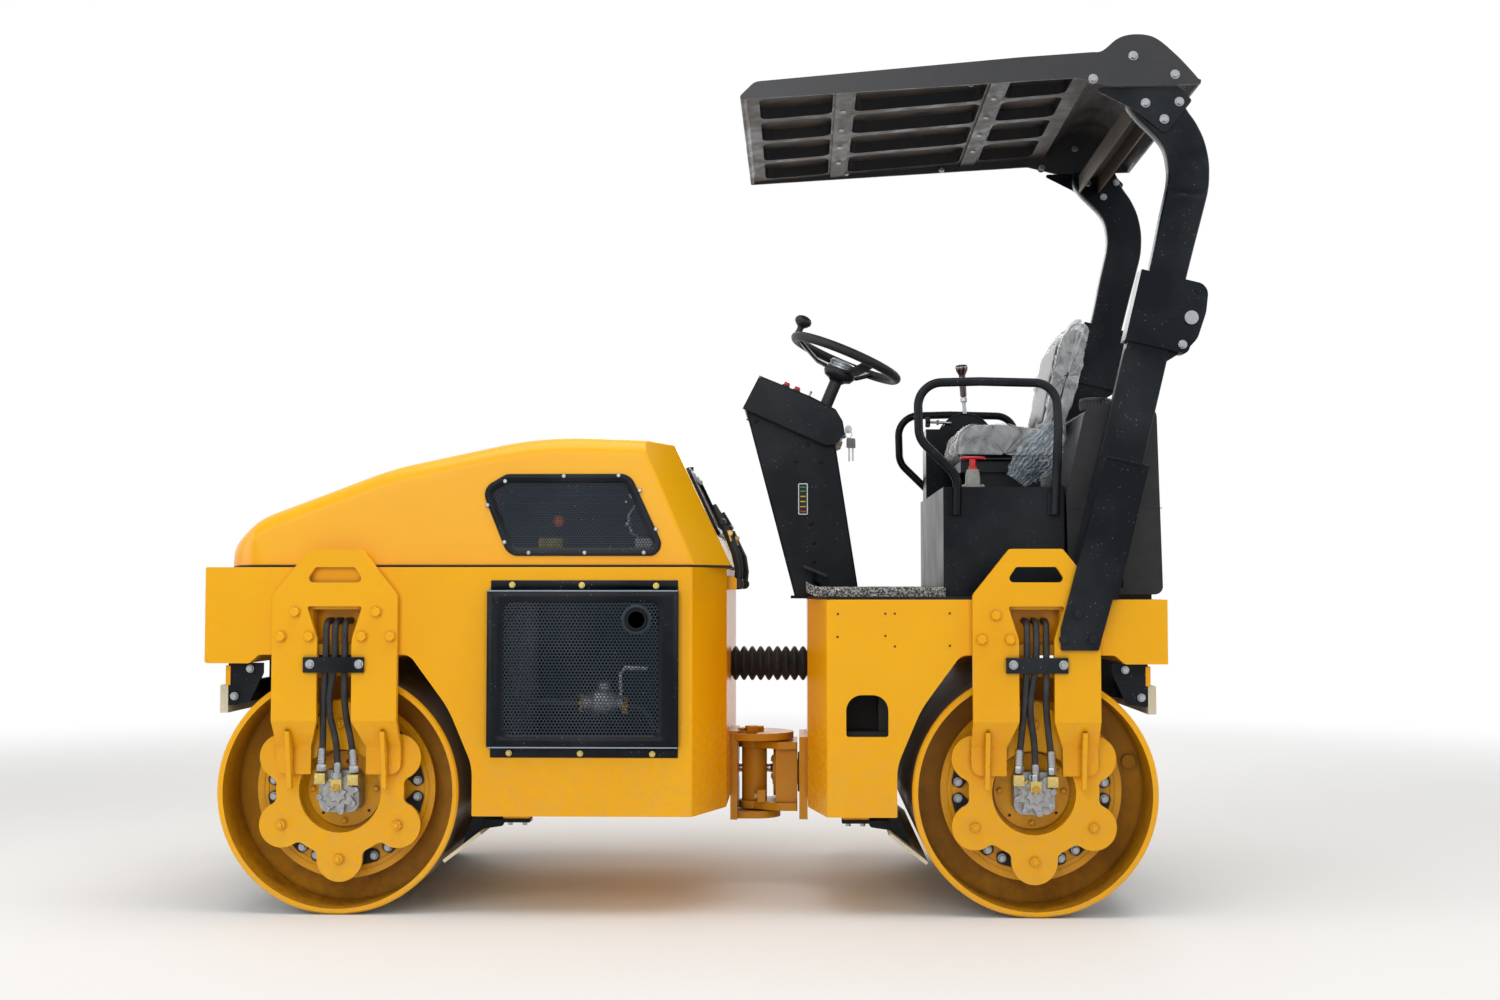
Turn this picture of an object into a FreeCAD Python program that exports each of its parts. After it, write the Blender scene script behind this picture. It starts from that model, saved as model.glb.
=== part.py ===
"""Small tandem road roller: two smooth steel drums, an articulated frame and a folding roll-over canopy.

Millimetres. +X runs from the hood end to the operator's end, +Y to the machine's right, +Z up.
Everything is laid out about the middle of the wheelbase, and moved along X at the end so that
the origin is under the middle of the whole machine, on the ground.
"""
import math
import os

import FreeCAD
import Part

V = FreeCAD.Vector

# Driving dimensions of the whole machine
WHEELBASE = 2000.0
DRUM_DIAMETER = 700.0
DRUM_WIDTH = 1200.0
FRAME_OVERHANG = 30.0            # frame's flank, out from the drum's end
FRAME_HALF_WIDTH = DRUM_WIDTH / 2 + FRAME_OVERHANG
PLATE = 12.0                     # side and end plates of both frames
RUNNING_GAP = 0.3                # soft or turning faces beside fixed ones
PIN_CLEARANCE = 0.05             # radial, shaft in bore

FRONT_AXLE_X = -WHEELBASE / 2
REAR_AXLE_X = WHEELBASE / 2
AXLE_Z = DRUM_DIAMETER / 2

# Drums
DRUM_SHELL = 17.0
DRUM_HEAD_INSET = 165.0          # head plate's outer face, in from the rim
DRUM_HEAD = 14.0
DRUM_HUB_RADIUS = 92.0
DRUM_EDGE_CHAMFER = 5.0
PLUG_RADIUS = 20.0
PLUG_RADIUS_AT = 302.0

# Drum carriers, the same at both drums: a round carrier, rubber buffers and the lobed outer plate
CARRIER_INSET = 105.0            # carrier's outer face, in from the rim
CARRIER_THICK = 16.0
CARRIER_RADIUS = 262.0
STAR_INSET = 30.0                # lobed plate's outer face, in from the rim
STAR_THICK = 16.0
STAR_BODY_RADIUS = 186.0
STAR_LOBES = 6
STAR_BOLT_CIRCLE = 195.0
STAR_LOBE_RADIUS = 66.0
STAR_VALLEY_FILLET = 22.0
STAR_HOLE_RADIUS = 120.0
BUFFER_RADIUS = 46.0
BUFFER_FLANGE = 6.0
BUFFER_EAR_RADIUS = 15.0
BUFFER_EAR_REACH = 85.0          # ear's middle, from the buffer's middle
BUFFER_WAIST = 40.0
MOTOR_FLANGE_RADIUS = 109.0
MOTOR_FLANGE = 14.0

# Fork brackets, the same at both drums, measured from the axle
FORK_HALF = 180.0
FORK_LEG_INNER = 50.0
FORK_TOP_HALF = 75.0
FORK_TOP_Z = 1047.0
FORK_SHOULDER_Z = 916.0
FORK_THICK = 22.0
FORK_BEND_TOP_Z = 557.0
FORK_BEND_LOW_Z = 479.0
FORK_FOOT_Z = 400.0
FORK_GUSSET_THICK = 12.5
FORK_GUSSET_X = 137.0
CLAMP_Z = 717.0
CLAMP_HALF = 87.0
CLAMP_HIGH = 44.0
CLAMP_THICK = 10.0

# Frames, seen from the side
END_OVERHANG = 382.0             # end boxes, past the axle
END_BOX_BOTTOM = 720.0
ARCH_TOP = 745.0
ARCH_REACH = 394.0               # frame's flank beside the drum, from the axle
FRAME_BOTTOM = 286.0
FRONT_FRAME_TOP = 996.0
REAR_FRAME_TOP = 903.0
FRONT_FRAME_REAR_X = 112.0
REAR_FRAME_FRONT_X = 354.0
JOINT_FACE_HALF = 390.0          # flat part of the faces beside the hitch
FRONT_CORNER_RUN = 90.0
REAR_CORNER_RUN = 54.0

# Hitch: an upright steering pin and a lengthwise oscillation shaft
HITCH_X = 185.0
HITCH_PIN_RADIUS = 25.0
HITCH_TUBE_RADIUS = 40.0
CLEVIS_TOP = (457.0, 479.0)
CLEVIS_LOW = (211.0, 233.0)
KNUCKLE_TOP = (430.0, 452.0)
KNUCKLE_LOW = (238.0, 262.0)
CLEVIS_TOP_RADIUS = 125.0
CLEVIS_LOW_RADIUS = 83.0
CLEVIS_BACK = 22.0
OSC_Z = 350.0
OSC_SHAFT_RADIUS = 40.0
OSC_HOUSING_RADIUS = 75.0
OSC_HOUSING_X = (246.0, 322.0)
OSC_FLANGE_X = 328.0
OSC_FLANGE_HALF = 150.0

# Steering cylinder, from the front frame to an arm on the knuckle
STEER_ARM = 150.0
STEER_ARM_ANGLE = 60.0           # degrees from +X, seen from above
STEER_ANCHOR_X = -290.0
STEER_ANCHOR_Y = 130.0
STEER_Z = 350.0
BARREL_RADIUS = 32.0
BARREL_LENGTH = 330.0
ROD_RADIUS = 15.0
EYE_RADIUS = 30.0
EYE_THICK = 28.0
EYE_PIN_RADIUS = 12.0
ARM_GAP = 40.0                   # between the arm's two plates, over and under the rod's eye
ARM_PLATE = 14.0

# Hood
HOOD_BOTTOM = 1000.0
HOOD_HALF = FRAME_HALF_WIDTH - 30.0
HOOD_SIDE_LEAN = 34.0            # each side leans in by this much over the section's height
HOOD_SECTION_BASE = HOOD_BOTTOM - 10.0
HOOD_SECTION_HIGH = 430.0
HOOD_SHEET = 5.0
HOOD_SETBACK = 35.0               # hood's nose, back from the frame's end
HOOD_NOSE_X = FRONT_AXLE_X - END_OVERHANG + HOOD_SETBACK
HOOD_NOSE_CORNER = 140.0
HOOD_REAR_X = FRONT_FRAME_REAR_X + 14.0
HOOD_TOP_FILLET = 55.0
HOOD_CORNER_RUN = 154.0           # length of the hood's cut-back rear corners

# Operator's platform
FLOOR_THICK = 8.0
MAT_THICK = 14.0
MAT_FRONT_X = 350.0
PEDESTAL_FRONT_X = 684.0
PEDESTAL_REAR_X = 1106.0
PEDESTAL_TOP = 1232.0
PEDESTAL_HALF = FRAME_HALF_WIDTH - 140.0
PEDESTAL_CORNER = 70.0
SHEET = 4.0

# Roll-over posts, leaning back by the same angle from foot to arch
POST_LEAN = 13.6
POST_WIDE = 120.0
POST_OUTER_Y = FRAME_HALF_WIDTH - 85.0   # tube's outer face, from the machine's middle
POST_DEEP = 56.0
SLEEVE_INNER_Y = FRAME_HALF_WIDTH - 130.0
POST_WALL = 6.0
POST_FOOT_X = 1130.0             # middle of the post's centre line at the foot's lower edge
POST_FOOT_Z = 760.0
POST_PLATE = 12.0
POST_PLATE_TOP_Z = 1296.0
FOLD_PIVOT_X = 1465.0
FOLD_PIVOT_Z = 1718.0
LOCK_HOLE_X = 1484.0             # empty hole over the pivot, where the lock bolt goes when folded
LOCK_HOLE_Z = 1796.0
LOCK_HOLE_RADIUS = 10.0
FOLD_PIN_RADIUS = 12.0
LOWER_POST_TOP = 985.0           # along the post's line
SLEEVE_TOP = 550.0
BRACKET_GAP = 1.5
BRACKET_SHEET = 8.0
CANOPY_HALF = POST_OUTER_Y + 15.0
CANOPY_SKIN = 8.0
ARCH_GUSSET = 6.0


def box(x0, x1, y0, y1, z0, z1):
    """Axis-aligned block between two corners."""
    return Part.makeBox(x1 - x0, y1 - y0, z1 - z0, V(x0, y0, z0))


def rod(start, end, radius):
    """Round bar from one point to another."""
    a = V(*start)
    along = V(*end) - a
    return Part.makeCylinder(radius, along.Length, a, along)


def disc_y(x, z, radius, y0, y1):
    """Disc with its axis along Y, between two Y values."""
    low, high = min(y0, y1), max(y0, y1)
    return Part.makeCylinder(radius, high - low, V(x, low, z), V(0, 1, 0))


def rounded_wire(corners, lift):
    """Closed wire through corners of (u, v, radius), each corner rounded where its radius isn't 0.

    lift turns a (u, v) pair into a point in space.
    """
    count = len(corners)
    edges = []
    ends = []
    for i in range(count):
        u, v, radius = corners[i]
        here = V(u, v, 0)
        before = V(corners[i - 1][0], corners[i - 1][1], 0) - here
        after = V(corners[(i + 1) % count][0], corners[(i + 1) % count][1], 0) - here
        if radius <= 0:
            ends.append((here, None, here))
            continue
        before.normalize()
        after.normalize()
        half = before.getAngle(after) / 2
        reach = radius / math.tan(half)
        middle = before + after
        middle.normalize()
        centre = here + middle * (radius / math.sin(half))
        ends.append((here + before * reach, centre - middle * radius, here + after * reach))
    for i in range(count):
        start, mid, end = ends[i]
        if mid is not None:
            edges.append(Part.Arc(lift(start), lift(mid), lift(end)).toShape())
        nxt = ends[(i + 1) % count][0]
        if (nxt - end).Length > 1e-6:
            edges.append(Part.LineSegment(lift(end), lift(nxt)).toShape())
    return Part.Wire(edges)


def side_prism(corners, y0, y1):
    """Outline of (x, z, corner radius) seen from the side, as thick as from y0 to y1."""
    low, high = min(y0, y1), max(y0, y1)
    wire = rounded_wire(corners, lambda p: V(p.x, low, p.y))
    return Part.Face(wire).extrude(V(0, high - low, 0))


def plan_prism(corners, z0, z1):
    """Outline of (x, y, corner radius) seen from above, as high as from z0 to z1."""
    wire = rounded_wire(corners, lambda p: V(p.x, p.y, z0))
    return Part.Face(wire).extrude(V(0, 0, z1 - z0))


def end_prism(corners, x0, x1):
    """Outline of (y, z, corner radius) seen from the end, as long as from x0 to x1."""
    wire = rounded_wire(corners, lambda p: V(x0, p.x, p.y))
    return Part.Face(wire).extrude(V(x1 - x0, 0, 0))


def route_wire(points, radius=None):
    """Straight runs joined by tangent arcs, each arc as large as its two runs allow."""
    pts = [V(*p) for p in points]
    edges = []
    last = pts[0]
    for i in range(1, len(pts) - 1):
        back = pts[i - 1] - pts[i]
        on = pts[i + 1] - pts[i]
        shorter = min(back.Length, on.Length)
        back.normalize()
        on.normalize()
        half = back.getAngle(on) / 2
        reach = 0.45 * shorter
        if radius is not None:
            reach = min(reach, radius / math.tan(half))
        bend = reach * math.tan(half)
        middle = back + on
        middle.normalize()
        centre = pts[i] + middle * (bend / math.sin(half))
        start = pts[i] + back * reach
        end = pts[i] + on * reach
        edges.append(Part.LineSegment(last, start).toShape())
        edges.append(Part.Arc(start, centre - middle * bend, end).toShape())
        last = end
    edges.append(Part.LineSegment(last, pts[-1]).toShape())
    return Part.Wire(edges)


def tube_on(points, outer, inner=0.0, radius=None):
    """Round tube or bar swept along a route."""
    path = route_wire(points, radius)
    along = V(*points[1]) - V(*points[0])
    start = V(*points[0])

    def sweep(r):
        """Sweep one circle along the path."""
        ring = Part.Wire([Part.Circle(start, along, r).toShape()])
        return path.makePipeShell([ring], True, False)

    solid = sweep(outer)
    if inner > 0:
        solid = solid.cut(sweep(inner))
    return solid


def mirrored(shape):
    """The same piece on the machine's other side."""
    return shape.mirror(V(0, 0, 0), V(0, 1, 0))


def both_sides(shape):
    """A piece and its mirror image, as one group of solids."""
    return Part.Compound(solids_of([shape, mirrored(shape)]))


def solids_of(shapes):
    """All solids in a list of shapes."""
    found = []
    for shape in shapes:
        found.extend(shape.Solids)
    return found


def fuse(shapes):
    """One clean solid from shapes that touch."""
    result = shapes[0].fuse(shapes[1:]) if len(shapes) > 1 else shapes[0]
    return result.removeSplitter()


def turned(shape, centre, axis, degrees):
    """A copy of a shape, turned about a point."""
    copy = shape.copy()
    copy.rotate(V(*centre), V(*axis), degrees)
    return copy


# Drums


def drum(axle_x):
    """Smooth shell with a dished end on each side, hubs and a filler plug on each head."""
    outer = DRUM_DIAMETER / 2
    half = DRUM_WIDTH / 2
    inner = outer - DRUM_SHELL
    shell = disc_y(axle_x, AXLE_Z, outer, -half, half)
    rims = [e for e in shell.Edges if e.Closed]
    shell = shell.makeChamfer(DRUM_EDGE_CHAMFER, rims)
    bore = disc_y(axle_x, AXLE_Z, inner, -half - 1, half + 1)
    pieces = [shell.cut(bore)]
    head_out = half - DRUM_HEAD_INSET
    hub_out = half - CARRIER_INSET - CARRIER_THICK - RUNNING_GAP
    for side in (-1, 1):
        pieces.append(disc_y(axle_x, AXLE_Z, inner + 1, side * (head_out - DRUM_HEAD), side * head_out))
        pieces.append(disc_y(axle_x, AXLE_Z, DRUM_HUB_RADIUS, side * (head_out - 1), side * hub_out))
        plug = (axle_x + PLUG_RADIUS_AT * math.cos(math.radians(15)),
                AXLE_Z + PLUG_RADIUS_AT * math.sin(math.radians(15)))
        pieces.append(disc_y(plug[0], plug[1], PLUG_RADIUS, side * (head_out - 1), side * (head_out + 14)))
    return fuse(pieces)


def star_plate(axle_x):
    """Lobed outer plate: a round body, one lobe for each buffer bolt and soft valleys between them."""
    outer_y = -(DRUM_WIDTH / 2 - STAR_INSET)
    inner_y = outer_y + STAR_THICK
    pieces = [disc_y(axle_x, AXLE_Z, STAR_BODY_RADIUS, outer_y, inner_y)]
    for i in range(STAR_LOBES):
        angle = math.radians(90 + i * 360 / STAR_LOBES)
        lobe_x = axle_x + STAR_BOLT_CIRCLE * math.cos(angle)
        lobe_z = AXLE_Z + STAR_BOLT_CIRCLE * math.sin(angle)
        pieces.append(disc_y(lobe_x, lobe_z, STAR_LOBE_RADIUS, outer_y, inner_y))
    plate = fuse(pieces)
    valleys = [e for e in plate.Edges if len(e.Vertexes) == 2 and abs(e.Length - STAR_THICK) < 1e-3
               and abs(e.tangentAt(e.FirstParameter).y) > 0.99]
    plate = plate.makeFillet(STAR_VALLEY_FILLET, valleys)
    return plate.cut(disc_y(axle_x, AXLE_Z, STAR_HOLE_RADIUS, outer_y - 1, inner_y + 1))


def fork(axle_x):
    """Outer bracket: window plate bolted on the frame, two legs that step in, and their gussets."""
    face_in = -FRAME_HALF_WIDTH
    face_out = face_in - FORK_THICK
    foot_out = -(DRUM_WIDTH / 2 - STAR_INSET) - FORK_THICK
    foot_in = foot_out + FORK_THICK
    outline = [
        (axle_x - FORK_TOP_HALF, FORK_TOP_Z, 12), (axle_x - FORK_HALF, FORK_SHOULDER_Z, 20),
        (axle_x - FORK_HALF, FORK_FOOT_Z, 30), (axle_x + FORK_HALF, FORK_FOOT_Z, 30),
        (axle_x + FORK_HALF, FORK_SHOULDER_Z, 20), (axle_x + FORK_TOP_HALF, FORK_TOP_Z, 12)]
    window = [
        (axle_x - 80, 884, 6), (axle_x + 80, 884, 6), (axle_x + FORK_LEG_INNER, 790, 30),
        (axle_x + FORK_LEG_INNER, FORK_BEND_TOP_Z, 20), (axle_x + FORK_LEG_INNER + 30, FORK_BEND_LOW_Z, 20),
        (axle_x + FORK_LEG_INNER + 30, FORK_FOOT_Z - 20, 0),
        (axle_x - FORK_LEG_INNER - 30, FORK_FOOT_Z - 20, 0), (axle_x - FORK_LEG_INNER - 30, FORK_BEND_LOW_Z, 20),
        (axle_x - FORK_LEG_INNER, FORK_BEND_TOP_Z, 20), (axle_x - FORK_LEG_INNER, 790, 30)]
    slot = [(axle_x - 57, 996, 8), (axle_x + 57, 996, 8), (axle_x + 86, 952, 12), (axle_x - 86, 952, 12)]
    bent = [(face_out, FORK_TOP_Z + 1, 0), (face_in, FORK_TOP_Z + 1, 0), (face_in, FORK_BEND_TOP_Z, 30),
            (foot_in, FORK_BEND_LOW_Z, 30), (foot_in, FORK_FOOT_Z - 1, 0), (foot_out, FORK_FOOT_Z - 1, 0),
            (foot_out, FORK_BEND_LOW_Z, 8), (face_out, FORK_BEND_TOP_Z, 8)]
    plate = side_prism(outline, face_out - 1, foot_in + 1)
    plate = plate.cut(side_prism(window, face_out - 2, foot_in + 2))
    plate = plate.cut(side_prism(slot, face_out - 2, foot_in + 2))
    plate = plate.common(end_prism(bent, axle_x - FORK_HALF - 1, axle_x + FORK_HALF + 1))
    return plate


def fork_with_star(axle_x):
    """Fork bracket, its gussets, the hose clamp across it and the lobed plate welded to its feet."""
    foot_out = -(DRUM_WIDTH / 2 - STAR_INSET) - FORK_THICK
    gusset = [(-FRAME_HALF_WIDTH - 14, FORK_BEND_TOP_Z - 30, 0), (foot_out, FORK_BEND_TOP_Z - 30, 0),
              (foot_out, FORK_FOOT_Z - 40, 0), (foot_out - 18, FORK_FOOT_Z - 40, 6)]
    pieces = [fork(axle_x), star_plate(axle_x)]
    for side in (-1, 1):
        x = axle_x + side * FORK_GUSSET_X
        rib = end_prism(gusset, x - FORK_GUSSET_THICK / 2, x + FORK_GUSSET_THICK / 2)
        pieces.append(rib.cut(pieces[0]))
    outer = -FRAME_HALF_WIDTH - FORK_THICK
    pieces.append(box(axle_x - CLAMP_HALF, axle_x + CLAMP_HALF, outer - CLAMP_THICK, outer,
                      CLAMP_Z - CLAMP_HIGH / 2, CLAMP_Z + CLAMP_HIGH / 2))
    return fuse(pieces)


def buffer_flange(axle_x, inner_y):
    """Two-eared flange of the top buffer, on the carrier's outer face."""
    tip = BUFFER_EAR_REACH + BUFFER_EAR_RADIUS
    ear_z = AXLE_Z + STAR_BOLT_CIRCLE
    outline = [(axle_x - tip, ear_z + BUFFER_EAR_RADIUS, BUFFER_EAR_RADIUS - 1), (axle_x, ear_z + BUFFER_WAIST, 60),
               (axle_x + tip, ear_z + BUFFER_EAR_RADIUS, BUFFER_EAR_RADIUS - 1),
               (axle_x + tip, ear_z - BUFFER_EAR_RADIUS, BUFFER_EAR_RADIUS - 1), (axle_x, ear_z - BUFFER_WAIST, 60),
               (axle_x - tip, ear_z - BUFFER_EAR_RADIUS, BUFFER_EAR_RADIUS - 1)]
    return side_prism(outline, inner_y - BUFFER_FLANGE, inner_y)


def buffers(axle_x):
    """Six round rubber buffers between the carrier and the lobed plate, each with a long flange."""
    inner_y = -(DRUM_WIDTH / 2 - CARRIER_INSET)
    outer_y = -(DRUM_WIDTH / 2 - STAR_INSET) + STAR_THICK
    made = []
    for i in range(STAR_LOBES):
        degrees = i * 360 / STAR_LOBES
        body = disc_y(axle_x, AXLE_Z + STAR_BOLT_CIRCLE, BUFFER_RADIUS, outer_y, inner_y)
        piece = fuse([body, buffer_flange(axle_x, inner_y)])
        made.append(turned(piece, (axle_x, 0, AXLE_Z), (0, 1, 0), degrees))
    return Part.Compound(solids_of(made))


def motor(axle_x):
    """Round carrier plate with the hydraulic motor on it: flange, cast body, end cover and three ports."""
    start = -(DRUM_WIDTH / 2 - CARRIER_INSET)
    pieces = [disc_y(axle_x, AXLE_Z, CARRIER_RADIUS, start, start + CARRIER_THICK)]
    pieces.append(disc_y(axle_x, AXLE_Z, MOTOR_FLANGE_RADIUS, start + 1, start - MOTOR_FLANGE))
    body = [(axle_x - 58, AXLE_Z - 42, 18), (axle_x - 42, AXLE_Z - 60, 18), (axle_x + 42, AXLE_Z - 60, 18),
            (axle_x + 58, AXLE_Z - 42, 18), (axle_x + 58, AXLE_Z + 42, 18), (axle_x + 42, AXLE_Z + 60, 18),
            (axle_x - 42, AXLE_Z + 60, 18), (axle_x - 58, AXLE_Z + 42, 18)]
    pieces.append(side_prism(body, start - MOTOR_FLANGE + 1, start - 84))
    pieces.append(disc_y(axle_x, AXLE_Z, 44, start - 83, start - 94))
    for dx, dz in MOTOR_PORTS:
        pieces.append(disc_y(axle_x + dx, AXLE_Z + dz, 13, start - 60, start - 90))
        pieces.append(box(axle_x + dx - ELBOW / 2, axle_x + dx + ELBOW / 2, start - 90 - ELBOW, start - 89,
                          AXLE_Z + dz - ELBOW / 2, AXLE_Z + dz + ELBOW / 2))
    return fuse(pieces)


# Ports of a drum motor: across and up from the axle
MOTOR_PORTS = ((-48.0, 40.0), (0.0, 22.0), (48.0, 36.0))
ELBOW = 30.0
HOSE_RADIUS = 9.5
# Where the three hoses pass the clamp, across from the axle, and how far they bow on the way down
HOSE_TOPS = (-26.0, 0.0, 28.0)
HOSE_BOWS = (-34.0, -22.0, 26.0)


def hoses(axle_x):
    """Three hoses out of the frame's side window, through the clamp and down to the motor."""
    elbow_y = -(DRUM_WIDTH / 2 - CARRIER_INSET) - 90 - ELBOW / 2
    clamp_y = -FRAME_HALF_WIDTH - FORK_THICK + HOSE_RADIUS + RUNNING_GAP
    made = []
    for top, bow, (dx, dz) in zip(HOSE_TOPS, HOSE_BOWS, MOTOR_PORTS):
        x = axle_x + top
        end_x = axle_x + dx
        low = AXLE_Z + dz + ELBOW / 2
        points = [
            (x, -FRAME_HALF_WIDTH + HOSE_POCKET - RUNNING_GAP, 842),
            (x, clamp_y + 1, 842),
            (x, clamp_y, CLAMP_Z),
            (axle_x + bow, clamp_y + 6, 600),
            (end_x * 0.8 + axle_x * 0.2 + bow * 0.1, elbow_y - 4, 490),
            (end_x, elbow_y, low + 30),
            (end_x, elbow_y, low)]
        made.append(tube_on(points, HOSE_RADIUS))
    return Part.Compound(solids_of(made))


# Frames


def frame_outline(axle_x, inward, top, inner_x):
    """Side view of a frame: end box, arch over the drum and a deep flank beside the hitch.

    inward is +1 where the hitch lies towards +X from the axle and -1 where it lies towards -X.
    """
    def at(distance):
        """X at a distance from the axle, towards the hitch."""
        return axle_x + inward * distance

    return [
        (at(-END_OVERHANG), top, 6), (at(-END_OVERHANG), END_BOX_BOTTOM, 10),
        (at(-252), END_BOX_BOTTOM, 14), (at(-224), ARCH_TOP, 14),
        (at(212), ARCH_TOP, 40), (at(325), 592, 300), (at(ARCH_REACH), 430, 150),
        (at(ARCH_REACH), FRAME_BOTTOM, 4), (inner_x, FRAME_BOTTOM, 4), (inner_x, top, 4)]


def frame_plan(end_x, inner_x, corner_run, inset, inward):
    """Plan view of a frame, with the corners beside the hitch cut back."""
    half = FRAME_HALF_WIDTH - inset
    face_half = JOINT_FACE_HALF - inset * 0.4
    end = end_x + inward * inset
    inner = inner_x - inward * inset
    corner = inner_x - inward * corner_run - inward * inset * 0.4
    return [(end, -half, 4), (corner, -half, 12), (inner, -face_half, 12),
            (inner, face_half, 12), (corner, half, 12), (end, half, 4)]


SIDE_OPENING = (-545.0, -32.0, 500.0, 915.0)      # x0, x1, z0, z1 in the front frame's flanks
HOSE_WINDOW_HALF = 70.0
HOSE_WINDOW = (775.0, 875.0)
HOSE_POCKET = 60.0                                # depth of the side pockets the hoses come out of
RIM = 50.0                                        # inner edge of the bay's top rim, in from the flank
DECK = 8.0
CYLINDER_WINDOW = (78.0, 182.0, 322.0, 378.0)     # y0, y1, z0, z1 in the front frame's rear plate


def front_frame():
    """Front frame: end box over the drum, an open engine bay behind it and the cylinder's lug in the bay."""
    end_x = FRONT_AXLE_X - END_OVERHANG
    outline = frame_outline(FRONT_AXLE_X, 1, FRONT_FRAME_TOP, FRONT_FRAME_REAR_X)
    plan = frame_plan(end_x, FRONT_FRAME_REAR_X, FRONT_CORNER_RUN, 0, 1)
    inner_plan = frame_plan(end_x, FRONT_FRAME_REAR_X, FRONT_CORNER_RUN, PLATE, 1)
    body = side_prism(outline, -FRAME_HALF_WIDTH - 1, FRAME_HALF_WIDTH + 1)
    body = body.common(plan_prism(plan, FRAME_BOTTOM - 1, FRONT_FRAME_TOP + 1))
    core = plan_prism(inner_plan, FRAME_BOTTOM + PLATE, FRONT_FRAME_TOP - DECK)
    bay_front = FRONT_AXLE_X + ARCH_REACH + PLATE
    bay = core.common(box(bay_front, FRONT_FRAME_REAR_X, -700, 700, FRAME_BOTTOM, FRONT_FRAME_TOP))
    rim_plan = frame_plan(end_x, FRONT_FRAME_REAR_X, FRONT_CORNER_RUN, RIM, 1)
    mouth = plan_prism(rim_plan, FRONT_FRAME_TOP - DECK - 1, FRONT_FRAME_TOP + 1)
    mouth = mouth.common(box(bay_front, FRONT_FRAME_REAR_X, -700, 700, FRAME_BOTTOM, FRONT_FRAME_TOP + 2))
    body = body.cut(bay).cut(mouth)
    x0, x1, z0, z1 = SIDE_OPENING
    body = body.cut(box(x0, x1, -FRAME_HALF_WIDTH - 5, FRAME_HALF_WIDTH + 5, z0, z1))
    body = body.cut(hose_pockets(FRONT_AXLE_X))
    body = body.cut(cylinder_window())
    return fuse([body, steer_anchor()] + hood_hinges())


def hose_pockets(axle_x):
    """Block to cut away on each side, where the drum's hoses come out of the frame."""
    pocket = box(axle_x - HOSE_WINDOW_HALF, axle_x + HOSE_WINDOW_HALF,
                 -FRAME_HALF_WIDTH - 5, -FRAME_HALF_WIDTH + HOSE_POCKET, *HOSE_WINDOW)
    return both_sides(pocket)


def cylinder_window():
    """Block to cut away where the steering cylinder's rod passes the frame's rear plate."""
    y0, y1, z0, z1 = CYLINDER_WINDOW
    return box(FRONT_FRAME_REAR_X - 3 * PLATE, FRONT_FRAME_REAR_X + CLEVIS_BACK + 1, y0, y1, z0, z1)


def clevis():
    """Hitch clevis on the front frame: back plate, two round-ended plates, the steering pin and its lock."""
    back = box(FRONT_FRAME_REAR_X, FRONT_FRAME_REAR_X + CLEVIS_BACK, -110, 110, CLEVIS_LOW[0], CLEVIS_TOP[1] + 8)
    pieces = [back]
    for (z0, z1), radius in ((CLEVIS_TOP, CLEVIS_TOP_RADIUS), (CLEVIS_LOW, CLEVIS_LOW_RADIUS)):
        tongue = box(FRONT_FRAME_REAR_X + CLEVIS_BACK / 2, HITCH_X, -min(radius, 110), min(radius, 110), z0, z1)
        round_end = Part.makeCylinder(radius, z1 - z0, V(HITCH_X, 0, z0))
        ahead = box(FRONT_FRAME_REAR_X + CLEVIS_BACK / 2, HITCH_X + radius + 1, -radius, radius, z0, z1)
        pieces.append(tongue)
        pieces.append(round_end.common(ahead))
    whole = fuse(pieces).cut(cylinder_window())
    pin = Part.makeCylinder(HITCH_PIN_RADIUS, CLEVIS_TOP[1] - CLEVIS_LOW[0] + 6, V(HITCH_X, 0, CLEVIS_LOW[0] - 6))
    lock = box(HITCH_X - 48, HITCH_X + 22, -22, 22, CLEVIS_TOP[1] - 1, CLEVIS_TOP[1] + 10)
    head = Part.makeCylinder(30, 17, V(HITCH_X, 0, CLEVIS_TOP[1] - 1))
    return fuse([whole, pin, lock, head])


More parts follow.
